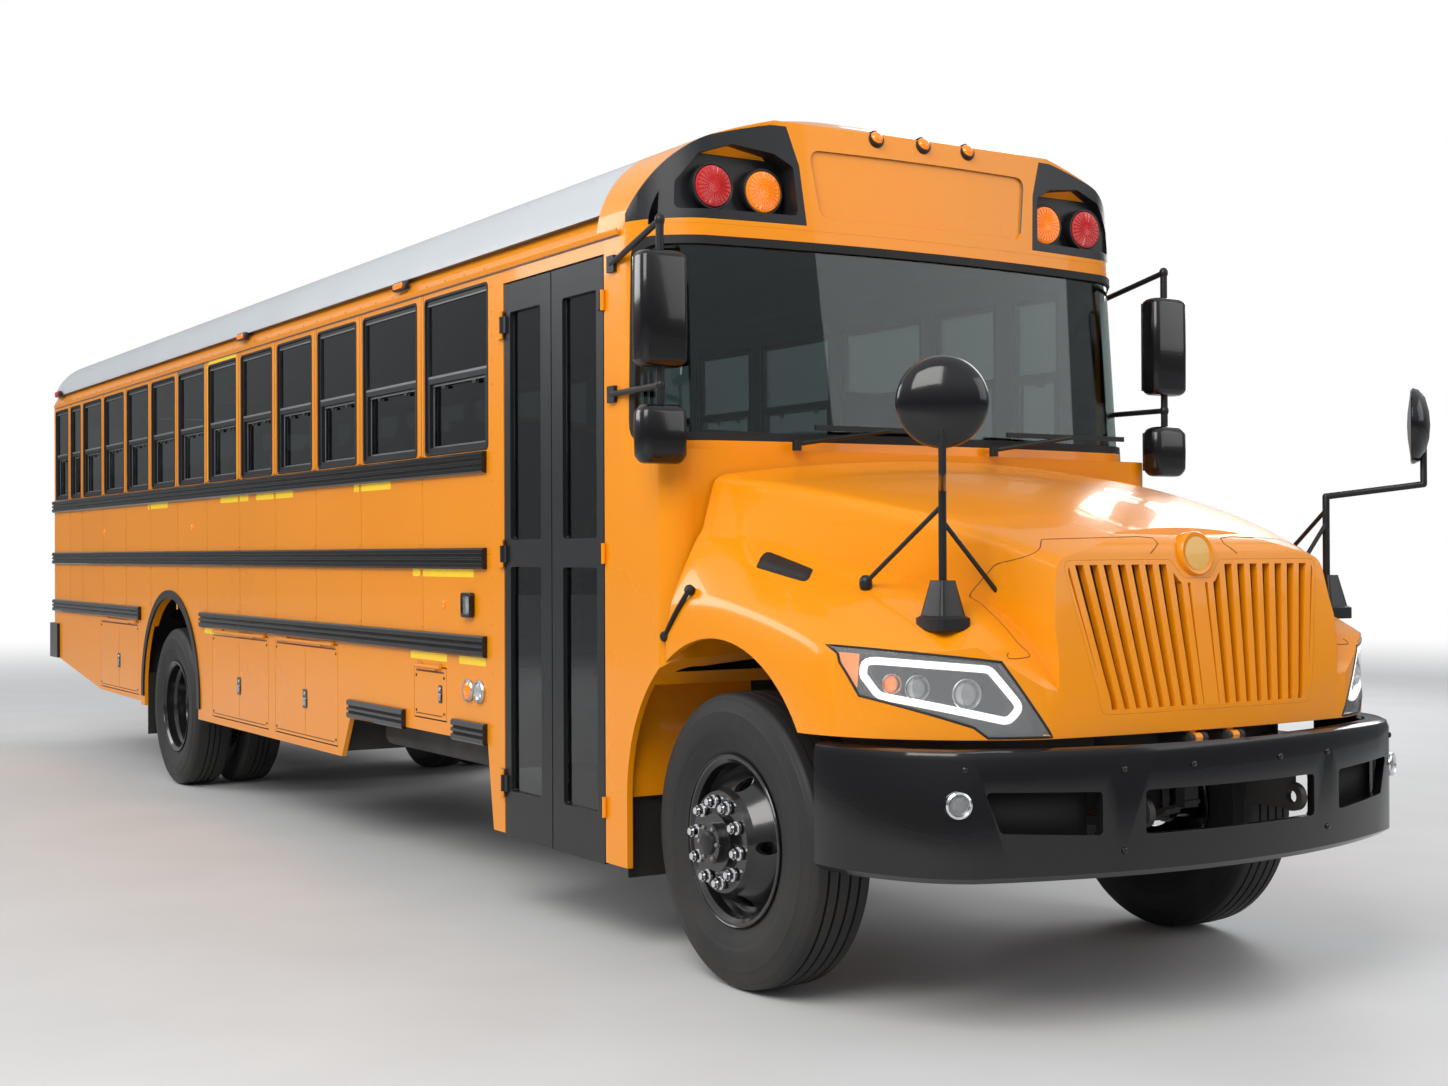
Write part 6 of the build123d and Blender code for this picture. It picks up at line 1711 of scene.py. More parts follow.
@dataclass
class Headlamps:
    """Headlamps behind their clear covers: black bowl, light guide, lenses and side reflector."""

    # Outlines seen from the front: distance from the middle, height
    cover: Outline = (
        (0.674, 0.959), (0.828, 1.196), (1.180, 1.243), (1.176, 1.190), (1.147, 1.086), (0.902, 0.992),
        (0.865, 0.959))
    guide: Outline = (
        (1.132, 1.199), (0.851, 1.172), (0.762, 1.052), (0.800, 1.008), (1.106, 1.086), (1.134, 1.150))
    reflector: Outline = ((1.146, 1.112), (1.172, 1.190), (1.174, 1.222), (1.142, 1.218))
    # Projector places: distance from the middle, height, radius
    projectors: tuple[tuple[float, float, float], ...] = ((1.020, 1.112, 0.034), (0.902, 1.094, 0.040))
    turn_lamp: tuple[float, float, float] = (1.074, 1.124, 0.027)
    depth: float = 0.055

    def lens(self, name: str, skin: Skin, x: float, z: float, radius: float, finish: Finish) -> None:
        """Domed lens in a bright ring, set back in the bowl."""
        found = skin.ahead(x, z)
        spot = found[0] + Vector((0, 0.040, 0))
        place = facing(spot, (0.28 * math.copysign(1, x), -1, 0))
        bowl = [(radius * 1.25, 0.010), (radius * 1.18, 0.014), (radius * 1.02, 0.004),
                (radius * 0.9, -0.012), (0.0, -0.018)]
        turned(name + "_ring", bowl, [place], BRIGHT_ALLOY, "hood_body", 40)
        dome = [(0.0, 0.012), (radius * 0.4, 0.0105), (radius * 0.75, 0.006), (radius * 0.97, -0.002),
                (radius * 0.97, -0.006)]
        turned(name + "_lens", dome, [place], finish, "hood_body", 40)

    def build(self) -> None:
        """Makes both lamps in place of the plain ones."""
        skin = Skin("headlamps")
        for side in Side:
            way, sign = side.name.lower(), side.value
            flip, lit, patch = ([(sign * x, z) for x, z in line]
                                for line in (self.cover, self.guide, self.reflector))
            bowl = draped(f"headlamp_bowl_{way}", flip, skin, BLACK_GLOSS, "hood_body", self.depth, 0.03)
            if side is Side.LEFT:
                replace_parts(bowl, "headlamps")
            edge = [skin.ahead(x, z) for x, z in walked(flip, 0.015)]
            seam(f"headlamp_seal_{way}", edge, BLACK_PLASTIC, "hood_body", 0.0045, -0.001, closed=True)
            wall = bmesh.new()
            outer = [wall.verts.new(place) for place in traced(edge, -0.002)]
            inner = [wall.verts.new(v.co + Vector((0, self.depth + 0.01, 0))) for v in outer]
            bridge(wall, outer, inner)
            thicken(built(f"headlamp_wall_{way}", wall, BLACK_GLOSS, "hood_body"), 0.004)
            draped(f"headlamp_cover_{way}", flip, skin, LAMP_COVER, "hood_body", 0.0, 0.0025)
            line = [skin.ahead(x, z) for x, z in walked(rounded(lit, 0.03, 4), 0.012)]
            points = [(x, y + 0.018, z) for x, y, z in traced(line)]
            bar(f"headlamp_guide_{way}", points, 0.0125, LED_WHITE, "hood_body", sides=3, closed=True)
            for n, (x, z, radius) in enumerate(self.projectors):
                self.lens(f"headlamp_beam_{way}_{n}", skin, sign * x, z, radius, CLEAR_LENS)
            x, z, radius = self.turn_lamp
            self.lens(f"headlamp_turn_{way}", skin, sign * x, z, radius, AMBER_LENS)
            # The amber side reflector glows with the lens finish: a painted glint, as it is no lamp.
            draped(f"headlamp_reflector_{way}", patch, skin, AMBER_LENS, "hood_body", 0.012, 0.006, 0.008)


@dataclass
class HoodFittings:
    """What sits on the hood: emblem disc, panel seams, vents, side latches and the near-black painted shade
    behind the grille.
    """

    disc_z: float = 1.531
    disc_radius: float = 0.074
    # Corners of the air slot seen from the side: distance behind the axle, height
    vent: Outline = ((-0.045, 1.545), (-0.300, 1.480), (-0.345, 1.440), (-0.080, 1.490))

    def emblem(self, skin: Skin) -> None:
        """Blank round disc in a raised bezel above the grille's notch."""
        found = skin.ahead(0.0, 1.545)
        seat = found[0] if found is not None else Vector((0, back(-1.10), 1.53))
        place = facing((0.0, seat.y - 0.006, self.disc_z), (0, -1, 0.12))
        radius = self.disc_radius
        bezel = [(0.0, 0.010), (radius * 0.80, 0.0115), (radius * 0.86, 0.0145), (radius * 0.95, 0.0150),
                 (radius, 0.0105), (radius * 1.03, 0.0), (radius * 1.03, -0.035)]
        turned("emblem_disc", bezel, [place], YELLOW_PAINT, "hood_body", 64)
        face = [(0.0, 0.0135), (radius * 0.5, 0.0132), (radius * 0.76, 0.0125), (radius * 0.76, 0.009)]
        turned("emblem_face", face, [place], PALE_GOLD, "hood_body", 64)

    def seams(self, skin: Skin) -> None:
        """Shut lines of the nose panel and the fenders."""
        nose = rounded([(0.09, 1.592), (0.560, 1.580), (0.690, 1.500), (0.735, 1.360), (0.720, 1.250),
                        (0.690, 1.208), (0.826, 1.200)], 0.03, 3)
        for side in Side:
            line = [skin.ahead(side.value * x, z) for x, z in walked(nose, 0.015, closed=False)]
            seam(f"nose_seam_{side.name.lower()}", line, SEAM_BROWN, "hood_body", 0.0022)

    def vents(self, skin: Skin) -> None:
        """Air slot low on each side of the hood: a near-black sheet laid on the surface, painted shade in the
        slot's opening, with a black rim.
        """
        outline = walked(rounded(self.vent, 0.012, 3), 0.02)
        for side in Side:
            way, rim = side.name.lower(), [skin.beside(side, d, z) for d, z in outline]
            # The slot itself is a near-black sheet on the hood: painted shade.
            build = bmesh.new()
            ring = [build.verts.new(place) for place in traced(rim, 0.0015)]
            if len(ring) > 3:
                build.faces.new(ring)
                thicken(built(f"hood_vent_{way}", build, SHADOW_BLACK, "hood_body"), 0.006)
            seam(f"hood_vent_rim_{way}", rim, BLACK_PLASTIC, "hood_body", 0.004, 0.001, closed=True)

    def latches(self, skin: Skin) -> None:
        """Rubber hood latch from each fender's rear edge to the cowl."""
        for side in Side:
            way = side.name.lower()
            top, foot = skin.beside(side, 0.190, 1.400), skin.beside(side, 0.352, 1.235)
            if top is None or foot is None:
                log.info("no place for the %s hood latch", way)
                continue
            a, b = top[0] + top[1] * 0.018, foot[0] + foot[1] * 0.014
            middle = (a + b) / 2 + top[1] * 0.012
            bar(f"hood_latch_{way}", [tuple(a), tuple(middle), tuple(b)], 0.0095, RUBBER, "hood_body",
                smooth=True)
            knob = [(0.0, 0.016), (0.014, 0.014), (0.020, 0.004), (0.017, -0.014), (0.0, -0.018)]
            for end, place, out in (("knob", a, top[1]), ("foot", b, foot[1])):
                turned(f"hood_latch_{end}_{way}", knob, [facing(place, out)], RUBBER, "hood_body", 20)

    def backing(self) -> None:
        """Painted shade behind the grille's slats: a near-black radiator screen, the radiator with shade
        painted on it, and a near-black sheet close behind the slats.
        """
        outline = [(-0.50, 1.00), (0.50, 1.00), (0.605, 1.50), (-0.605, 1.50)]
        place = Matrix.Translation((0, back(-1.02), 0)) @ Matrix.Rotation(math.radians(90), 4, "X")
        # Radiator screen in the near-black shade finish: the radiator's dark core with painted shade.
        plates("radiator_screen", [(outline, place, 0.006)], SHADOW_BLACK, "hood_body")
        # Near-black sheet just behind the slats' faces: painted shade in the gaps between them.
        shadow = [(-0.478, 1.024), (0.478, 1.024), (0.584, 1.504), (0.112, 1.504), (0.064, 1.446),
                  (-0.064, 1.446), (-0.112, 1.504), (-0.584, 1.504)]
        draped("grille_shadow", shadow, Skin("headlamps"), SHADOW_BLACK, "hood_body", 0.026, 0.004)

    def build(self) -> None:
        """Makes the fittings of the hood."""
        skin = Skin("hood", "grille")
        self.emblem(skin)
        self.seams(skin)
        self.vents(skin)
        self.latches(Skin("hood", "cowl"))
        self.backing()


@dataclass
class BumperFittings:
    """Fog lamps, bolts, and near-black sheets of painted shade inside the front bumper's openings."""

    fog_x: float = 1.003
    fog_z: float = 0.762
    bolts: Outline = ((0.47, 0.855), (0.47, 0.600), (0.985, 0.870), (0.20, 0.858))

    def build(self) -> None:
        """Makes the fittings of the front bumper."""
        skin = Skin("front_bumper")
        lamps = []
        for sign in (-1, 1):
            found = skin.ahead(sign * self.fog_x, self.fog_z)
            way = (found[1] + Vector((0, -0.6, 0))).normalized()
            lamps.append(facing(found[0] + Vector((0, -0.004, 0)), way))
        bezel = [(0.026, -0.006), (0.030, 0.006), (0.036, 0.012), (0.042, 0.008), (0.044, -0.006),
                 (0.044, -0.030)]
        turned("fog_lamp_bezels", bezel, lamps, CHROME, "bus", 40)
        cup = [(0.0, -0.014), (0.012, -0.012), (0.022, -0.004), (0.029, 0.006), (0.029, -0.020),
               (0.0, -0.022)]
        turned("fog_lamp_reflectors", cup, lamps, BRIGHT_ALLOY, "bus", 40)
        glass = [(0.0, 0.010), (0.012, 0.009), (0.022, 0.006), (0.030, 0.002), (0.030, -0.002)]
        turned("fog_lamp_glass", glass, lamps, CLEAR_LENS, "bus", 40)
        heads = []
        for x, z in self.bolts:
            for sign in (-1, 1):
                found = skin.ahead(sign * x, z)
                if found is not None:
                    heads.append((tuple(found[0] + found[1] * 0.002), tuple(found[1])))
        repeat("bumper_bolts", Repeat.RIVET, heads, 0.011, 0.006, BLACK_GLOSS, "bus")
        # Near-black sheets behind the end openings: painted shade in the bumper's pockets.
        for n, (x0, x1) in enumerate(((-0.94, -0.545), (0.545, 0.94))):
            build = bmesh.new()
            places = [x0 + (x1 - x0) * k / 10 for k in range(11)]
            line = [(x, skin.ahead(x, 0.85)[0].y + 0.075) for x in places]
            rows = [[build.verts.new((x, y, z)) for x, y in line] for z in (0.645, 0.725, 0.805)]
            for low, high in zip(rows, rows[1:]):
                bridge(build, low, high, closed=False)
            thicken(built(f"bumper_pocket_{n}", build, SHADOW_BLACK, "bus"), 0.006, -1.0)


# Sides


@dataclass
class SideWindows:
    """Sashes, catches, gaskets and exit borders of the side windows."""

    first: float = 1.815
    widths: tuple[float, ...] = (0.8, 0.8) + (0.672,) * 9 + (0.43, 0.597)
    post: float = 0.1
    sill: float = 2.0
    head: float = 2.728
    meeting: float = 2.349
    left_extra: Outline = ((0.850, 1.180), (1.290, 1.765))
    exits: tuple[int, ...] = (5, 6)

    def bays(self, side: Side) -> Points:
        """Front and rear edge of each window of a side."""
        start, found = self.first, []
        for width in self.widths:
            found.append((start + self.post / 2, start + width - self.post / 2))
            start += width
        found[-1] = (found[-1][0], BODY_REAR - 0.128)
        return found + (list(self.left_extra) if side is Side.LEFT else [])

    def sashes(self, side: Side) -> None:
        """Bright edges of the upper and lower sash, and two catches on each lower sash."""
        way, bright, catches = side.name.lower(), [], []
        for front, rear in self.bays(side):
            middle = self.meeting
            for low_z, high_z, inset, proud in (
                    (middle + 0.006, middle + 0.017, 0.026, -0.009),
                    (middle - 0.030, middle - 0.020, 0.040, -0.024),
                    (self.sill + 0.032, self.sill + 0.041, 0.041, -0.028),
                    (self.head - 0.034, self.head - 0.027, 0.027, -0.010)):
                bright.append((rectangle(front + inset, rear - inset, low_z, high_z),
                               on_side(side, proud), 0.004))
            for d in (front + 0.041, rear - 0.047):
                bright.append((rectangle(d, d + 0.006, self.sill + 0.041, middle - 0.03),
                               on_side(side, -0.028), 0.004))
            for d in (front + 0.16, rear - 0.20):
                catches.append((rounded(rectangle(d, d + 0.04, middle - 0.045, middle - 0.031), 0.004, 2),
                                on_side(side, -0.022), 0.008))
        plates(f"sash_edges_{way}", bright, SASH_GREY, "bus", 0.0008)
        plates(f"sash_catches_{way}", catches, BLACK_PLASTIC, "bus", 0.001)
        build = bmesh.new()
        for front, rear in self.bays(side):
            outer = rounded(rectangle(front - 0.004, rear + 0.004, self.sill - 0.004, self.head + 0.004),
                            0.028, 4)
            inner = rounded(rectangle(front + 0.009, rear - 0.009, self.sill + 0.009, self.head - 0.009),
                            0.018, 4)
            add_frame(build, outer, inner, on_side(side, -0.010), 0.013)
        built(f"window_gaskets_{way}", build, RUBBER, "bus", bevel=0.002)

    def exit_tape(self, side: Side) -> None:
        """Reflective border round one push-out window, bright with a painted glow, and a plain metal one
        round its neighbour.
        """
        bays = self.bays(side)
        for bay, finish in zip(self.exits, (TAPE_YELLOW, SASH_GREY)):
            front, rear = bays[bay]
            strips = [rectangle(front - 0.030, front - 0.005, self.sill + 0.01, self.head + 0.026),
                      rectangle(rear + 0.005, rear + 0.030, self.sill + 0.01, self.head + 0.026),
                      rectangle(front - 0.030, rear + 0.030, self.head + 0.006, self.head + 0.028)]
            name = f"exit_border_{bay}_{side.name.lower()}"
            plates(name, [(strip, on_side(side, 0.0002), 0.0012) for strip in strips], finish, "bus", 0.0003)

    def build(self) -> None:
        """Makes the window fittings of both sides."""
        for side in Side:
            self.sashes(side)
            self.exit_tape(side)


@dataclass
class SideBody:
    """Seams, rivets, drip rails, lamps and tapes of the two side walls."""

    seat_rail: tuple[float, float] = (1.4725, 1.5675)
    sill_rail: tuple[float, float] = (1.8955, 1.9905)
    floor_rail: tuple[float, float] = (1.0855, 1.1805)
    rail_depth: float = 0.024
    windows: SideWindows = field(default_factory=SideWindows)
    tapes: tuple[tuple[float, float, float], ...] = (
        (2.02, 2.72, 1.455), (3.0, 3.50, 1.878), (4.45, 5.10, 1.878), (5.25, 5.80, 1.878), (7.0, 7.5, 1.878),
        (1.895, 2.18, 1.066), (2.32, 2.75, 1.066), (5.45, 6.15, 1.066))

    def posts(self) -> list[float]:
        """Middle of each window post, behind the front axle; both sides have the same."""
        bays = sorted(self.windows.bays(Side.RIGHT))
        return [(a[1] + b[0]) / 2 for a, b in zip(bays, bays[1:])]

    def seams(self, side: Side) -> None:
        """Lap seams of the wall sheets under every post, and of the posts' own covers."""
        way, laps = side.name.lower(), []
        for d in self.posts():
            for low, high in ((self.seat_rail[1] + 0.002, self.sill_rail[0] - 0.002),
                              (self.floor_rail[1] + 0.002, self.seat_rail[0] - 0.002)):
                laps.append((rectangle(d - 0.017, d + 0.017, low, high), on_side(side), 0.0011))
        plates(f"wall_laps_{way}", laps, YELLOW_PANEL, "bus", 0.0006)
        posts = []
        for d in self.posts():
            posts.append((rectangle(d - 0.032, d + 0.032, 1.996, 2.750), on_side(side), 0.0035))
            posts.append((rectangle(d - 0.012, d + 0.012, 1.998, 2.748), on_side(side, 0.0034), 0.004))
        plates(f"post_covers_{way}", posts, YELLOW_PANEL, "bus", 0.003)

    def rivets(self, side: Side) -> None:
        """Rivets along the rails, under the posts and round the door post."""
        way, sign, heads = side.name.lower(), side.value, []
        out = (sign, 0, 0)
        face = sign * (HALF + 0.0008)
        lap_face = face + sign * 0.0009
        for d in self.posts():
            for z in (1.590, 1.875, 1.450, 1.205):
                heads += [((lap_face, back(d - 0.008), z), out), ((lap_face, back(d + 0.008), z), out)]
        heads += [((face, back(1.83), 1.02 + 0.105 * n), out) for n in range(17) if side is Side.RIGHT]
        heads += [((face, back(1.90 + 0.215 * n), 2.792), out) for n in range(40)]
        repeat(f"wall_rivets_{way}", Repeat.RIVET, heads, 0.0052, 0.0026, YELLOW_PANEL, "bus")
        screws = [((sign * (HALF + self.rail_depth), back(2.0 + 0.386 * n), z), out)
                  for z in (1.943, 1.520) for n in range(22)]
        repeat(f"rail_screws_{way}", Repeat.RIVET, screws, 0.006, 0.003, BLACK_GLOSS, "bus")

    def drip_rail(self, side: Side) -> None:
        """Rain gutter over the windows and the fold where the roof sheet starts."""
        way, sign = side.name.lower(), side.value
        start = 0.70 if side is Side.LEFT else 0.66
        gutter = [(0.0, 2.752), (0.011, 2.757), (0.017, 2.768), (0.017, 2.780), (0.012, 2.781),
                  (0.010, 2.772), (0.0, 2.768)]
        build = bmesh.new()
        add_prism(build, [(x * sign, z) for x, z in gutter],
                  Matrix(((1, 0, 0, sign * HALF), (0, 0, 1, back(start)), (0, 1, 0, 0), (0, 0, 0, 1))),
                  BODY_REAR - 0.13 - start)
        built(f"drip_rail_{way}", build, YELLOW_PANEL, "bus", 30)

    def tape(self, side: Side) -> None:
        """Reflective strips under the rails, made bright by a painted glow."""
        strips = [(rectangle(a, b, z - 0.019, z + 0.019), on_side(side), 0.0009) for a, b, z in self.tapes]
        plates(f"reflective_strips_{side.name.lower()}", strips, TAPE_YELLOW, "bus", 0.0002)

    def lamps(self, side: Side) -> None:
        """Square turn lamp, two round lamps and small marker lamps."""
        way, sign = side.name.lower(), side.value
        box = rounded(rectangle(2.009, 2.113, 1.257, 1.369), 0.018, 4)
        inner = rounded(rectangle(2.024, 2.098, 1.272, 1.354), 0.010, 4)
        build = bmesh.new()
        add_frame(build, box, inner, on_side(side), 0.026)
        built(f"turn_lamp_case_{way}", build, BLACK_GLOSS, "bus", bevel=0.004)
        side_plate(f"turn_lamp_reflector_{way}", inner, side, 0.0, 0.004, CHROME)
        ribs = [(rectangle(2.026 + 0.0142 * n, 2.034 + 0.0142 * n, 1.276, 1.350), on_side(side, 0.004), 0.006)
                for n in range(5)]
        plates(f"turn_lamp_ribs_{way}", ribs, CLEAR_LENS, "bus", 0.002)
        side_plate(f"turn_lamp_lens_{way}", inner, side, 0.017, 0.004, LAMP_COVER)
        ring = [(0.040, 0.0), (0.052, 0.0), (0.053, 0.010), (0.048, 0.017), (0.041, 0.016), (0.040, 0.006)]
        dome = [(0.0, 0.024), (0.012, 0.0235), (0.024, 0.021), (0.034, 0.017), (0.041, 0.011), (0.041, 0.002),
                (0.0, 0.002)]
        mirror = [(0.0, 0.0035), (0.038, 0.0035), (0.038, 0.001), (0.0, 0.001)]
        for name, d, finish in (("amber", 2.070, AMBER_LENS), ("clear", 1.952, CLEAR_LENS)):
            place = facing((sign * HALF, back(d), 0.934), (sign, 0, 0))
            for part, profile, look in (
                    ("ring", ring, BRIGHT_ALLOY), ("lens", dome, finish), ("mirror", mirror, CHROME)):
                turned(f"{name}_lamp_{part}_{way}", profile, [place], look, "bus", 40)
        markers = ((5.35, 2.842, AMBER_LENS), (10.28, 2.87, RED_LENS), (2.86, 2.832, AMBER_LENS))
        for n, (d, z, finish) in enumerate(markers):
            case = rounded(rectangle(d - 0.085, d + 0.085, z - 0.022, z + 0.022), 0.02, 4)
            lens = rounded(rectangle(d - 0.055, d + 0.055, z - 0.014, z + 0.014), 0.013, 4)
            side_plate(f"marker_case_{n}_{way}", case, side, -0.012, 0.026, BLACK_PLASTIC, bevel=0.006)
            side_plate(f"marker_lens_{n}_{way}", lens, side, 0.010, 0.013, finish, bevel=0.005)
        # These reflectors are no lamps; the amber lens finish's glow on them is a painted glint.
        spots = [facing((sign * HALF, back(d), z), (sign, 0, 0))
                 for d, z in ((8.75, 1.72), (6.42, 1.72), (2.35, 1.31))]
        dot = [(0.0, 0.008), (0.012, 0.007), (0.018, 0.004), (0.019, 0.0), (0.0, 0.0)]
        turned(f"side_reflectors_{way}", dot, spots, AMBER_LENS, "bus", 24)

    def build(self) -> None:
        """Makes the outside of both side walls."""
        for side in Side:
            self.seams(side)
            self.rivets(side)
            self.drip_rail(side)
            self.tape(side)
            self.lamps(side)


@dataclass
class Compartments:
    """Hinge and foot lines, latches, bolts and creases of the skirt's lids."""

    lids: tuple[tuple[str, float, float, float, float], ...] = (
        ("fuel_door", 2.325, 2.712, 0.770, 1.020), ("luggage_door_front", 3.745, 4.765, 0.535, 1.070),
        ("luggage_door_middle", 4.885, 5.985, 0.535, 1.070),
        ("luggage_door_rear", 7.760, 8.870, 0.555, 1.070))
    pan_depth: float = 0.0035

    def lid(self, name: str, front: float, rear: float, low: float, high: float) -> None:
        """Latch, hinge slot, corner bolts and stiffening seams of one lid."""
        body, middle = name + "_body", (front + rear) / 2
        found = Skin(name).beside(Side.RIGHT, middle, (low + high) / 2)
        proud = abs(found[0].x) - HALF if found is not None else 0.0
        small = name == "fuel_door"
        (d, z), (wide, tall) = ((front + 0.07, (low + high) / 2), (0.020, 0.042)) if small else (
            (middle, low + 0.22), (0.034, 0.052))
        hinge = rectangle(front + 0.03, rear - 0.03, high - 0.030, high - 0.022)
        foot = rectangle(front + 0.05, rear - 0.03, low + 0.020, low + 0.025)
        pan = rounded(rectangle(d - wide, d + wide, z - tall, z + tall), 0.010, 3)
        paddle = rounded(rectangle(d - wide * 0.62, d + wide * 0.62, z - tall * 0.72, z + tall * 0.1),
                         0.006, 3)
        for part, outline, lift, depth, finish, bevel in (
                ("hinge_line", hinge, -0.001, 0.0018, SEAM_BROWN, 0.0004),
                ("foot_line", foot, -0.001, 0.0018, SEAM_BROWN, 0.0004),
                ("latch_pan", pan, 0.0, self.pan_depth, BLACK_GLOSS, 0.0015),
                ("latch_paddle", paddle, self.pan_depth, 0.005, BRIGHT_ALLOY, 0.002)):
            side_plate(f"{name}_{part}", outline, Side.RIGHT, proud + lift, depth, finish, body, bevel)
        lock = facing((-HALF - proud - self.pan_depth, back(d), z + tall * 0.55), (-1, 0, 0))
        turned(f"{name}_lock", [(0.0, 0.004), (0.008, 0.004), (0.010, 0.002), (0.010, 0.0)],
               [lock], CHROME, body, 24)
        corners = [((-HALF - proud, back(d), z), (-1, 0, 0)) for d in (front + 0.03, rear - 0.03)
                   for z in (low + 0.035, high - 0.05)]
        repeat(f"{name}_bolts", Repeat.RIVET, corners, 0.0075, 0.004, BLACK_SATIN, body)
        if not small:
            crease = rectangle(middle - 0.002, middle + 0.002, low + 0.035, high - 0.045)
            side_plate(f"{name}_crease", crease, Side.RIGHT, proud, 0.0012, YELLOW_PAINT, body, 0.0004)

    def build(self) -> None:
        """Dresses the four lids."""
        for lid in self.lids:
            self.lid(*lid)


# Cabin, stop sign and rear end


def tilted(x: float, d: float, z: float, degrees: float) -> Matrix:
    """Frame at a place, tipped back about X."""
    return Matrix.Translation((x, back(d), z)) @ Matrix.Rotation(math.radians(degrees), 4, "X")


@dataclass
class Cabin:
    """Bench seats, the driver's seat and the yellow grab rails behind the doors."""

    rows: int = 12
    first: float = 1.990
    pitch: float = 0.680
    floor: float = 1.100
    seat_x: tuple[float, float] = (0.215, 1.165)

    def pad(self, name: str, size: Point, place: Matrix, crown: float) -> None:
        """One stuffed pad: a crowned face, rounded edges and sides that pull in between its corners.

        Args:
            name: Name of the piece.
            size: Width, length and thickness.
            place: Frame of its middle; the crowned face looks along Z.
            crown: How far its face stands up in the middle.
        """
        across, long, thick = size
        nx, ny = 10, 8
        build = bmesh.new()
        sheets = []
        for face in (1, -1):
            rows = []
            for j in range(ny + 1):
                row = []
                for i in range(nx + 1):
                    u, v = 2 * i / nx - 1, 2 * j / ny - 1
                    edge = max(abs(u), abs(v))
                    pull = 0.012 * (1 - min(abs(u), abs(v)) ** 2) * edge ** 6
                    x = u * (across / 2 - pull) - u * 0.010 * (edge > 0.99)
                    y = v * (long / 2 - pull) - v * 0.010 * (edge > 0.99)
                    swell = crown * (1 - u * u) * (1 - v * v) + 0.35 * thick * (1 - edge ** 5)
                    z = face * (thick * 0.15 + (swell if face > 0 else 0.35 * thick * (1 - edge ** 5)))
                    row.append(build.verts.new(place @ Vector((x, y, z))))
                rows.append(row)
            sheets.append(rows)
            for low, high in zip(rows, rows[1:]):
                bridge(build, low, high, closed=False)
        bridge(build, *([*rows[0][:nx], *(rows[j][nx] for j in range(ny)), *rows[ny][:0:-1],
                         *(rows[ny - j][0] for j in range(ny))] for rows in sheets))
        piece = built(name, build, SEAT_VINYL, "bus", 180)
        soft = piece.modifiers.new("soft", "SUBSURF")
        soft.levels = soft.render_levels = 1

    def bench(self, name: str, d: float, x0: float, x1: float) -> None:
        """Cushion and high back of one bench; the back covers the bench's frame."""
        width, middle = x1 - x0, (x0 + x1) / 2
        self.pad(name + "_cushion", (width, 0.400, 0.105),
                 tilted(middle, d + 0.205, self.floor + 0.375, 4), 0.020)
        self.pad(name + "_back", (width, 0.700, 0.085),
                 tilted(middle, d + 0.430, self.floor + 0.735, 84), 0.014)

    def frames(self) -> bpy.types.Object:
        """Legs and rails under all benches."""
        parts = []
        for row in range(self.rows):
            d = self.first + self.pitch * row
            for side in Side:
                inner, outer = self.seat_x
                for x in (inner + 0.06, outer - 0.16):
                    a, b = sorted((side.value * x, side.value * (x + 0.028)))
                    for leg in (0.05, 0.385):
                        parts.append(((a, back(d + leg), self.floor),
                                      (b, back(d + leg + 0.028), self.floor + 0.330)))
                    parts.append(((a, back(d + 0.02), self.floor), (b, back(d + 0.44), self.floor + 0.008)))
                a, b = sorted((side.value * (inner + 0.02), side.value * (outer - 0.02)))
                parts.append(((a, back(d + 0.03), self.floor + 0.305),
                              (b, back(d + 0.42), self.floor + 0.332)))
        return boxes("bench_frames", parts, BLACK_SATIN, "bus", 0.003)

    def driver(self) -> None:
        """Driver's seat on its pedestal."""
        self.pad("driver_cushion", (0.50, 0.46, 0.115), tilted(0.590, 1.140, self.floor + 0.480, 4), 0.022)
        self.pad("driver_back", (0.48, 0.72, 0.105), tilted(0.590, 1.385, self.floor + 0.850, 81), 0.018)
        post = [(0.0, 0.0), (0.15, 0.0), (0.15, 0.02), (0.11, 0.05), (0.105, 0.10), (0.112, 0.11),
                (0.105, 0.12), (0.112, 0.16), (0.105, 0.20), (0.112, 0.24), (0.11, 0.30), (0.16, 0.34),
                (0.19, 0.36), (0.19, 0.40), (0.0, 0.40)]
        turned("driver_pedestal", post, [Matrix.Translation((0.590, back(1.180), self.floor))],
               BLACK_SATIN, "bus")

    def rails(self) -> None:
        """Yellow grab rails beside the entry door."""
        floor = self.floor
        runs = ([(-0.66, 1.86, floor + 0.02), (-0.66, 1.86, floor + 0.95), (-0.70, 1.84, floor + 1.02),
                 (-1.15, 1.84, floor + 1.03)],
                [(-1.10, 1.58, 0.93), (-1.06, 1.45, 1.25), (-1.04, 1.24, 1.72), (-1.06, 1.06, 1.82),
                 (-1.10, 1.00, 1.80)],
                [(-1.13, 0.86, 1.05), (-1.02, 0.90, 1.25), (-1.02, 0.92, 1.75), (-1.13, 0.86, 1.95)])
        for n, run in enumerate(runs):
            bar(f"grab_rail_{n}", [(x, back(d), z) for x, d, z in run], 0.016, RAIL_YELLOW, "bus",
                smooth=True)

    def build(self) -> None:
        """Makes the seats and the rails."""
        inner, outer = self.seat_x
        for row in range(self.rows):
            d = self.first + self.pitch * row
            self.bench(f"bench_left_{row}", d, inner, outer)
            self.bench(f"bench_right_{row}", d, -outer, -inner)
        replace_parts(self.frames(), "seats")
        self.driver()
        self.rails()


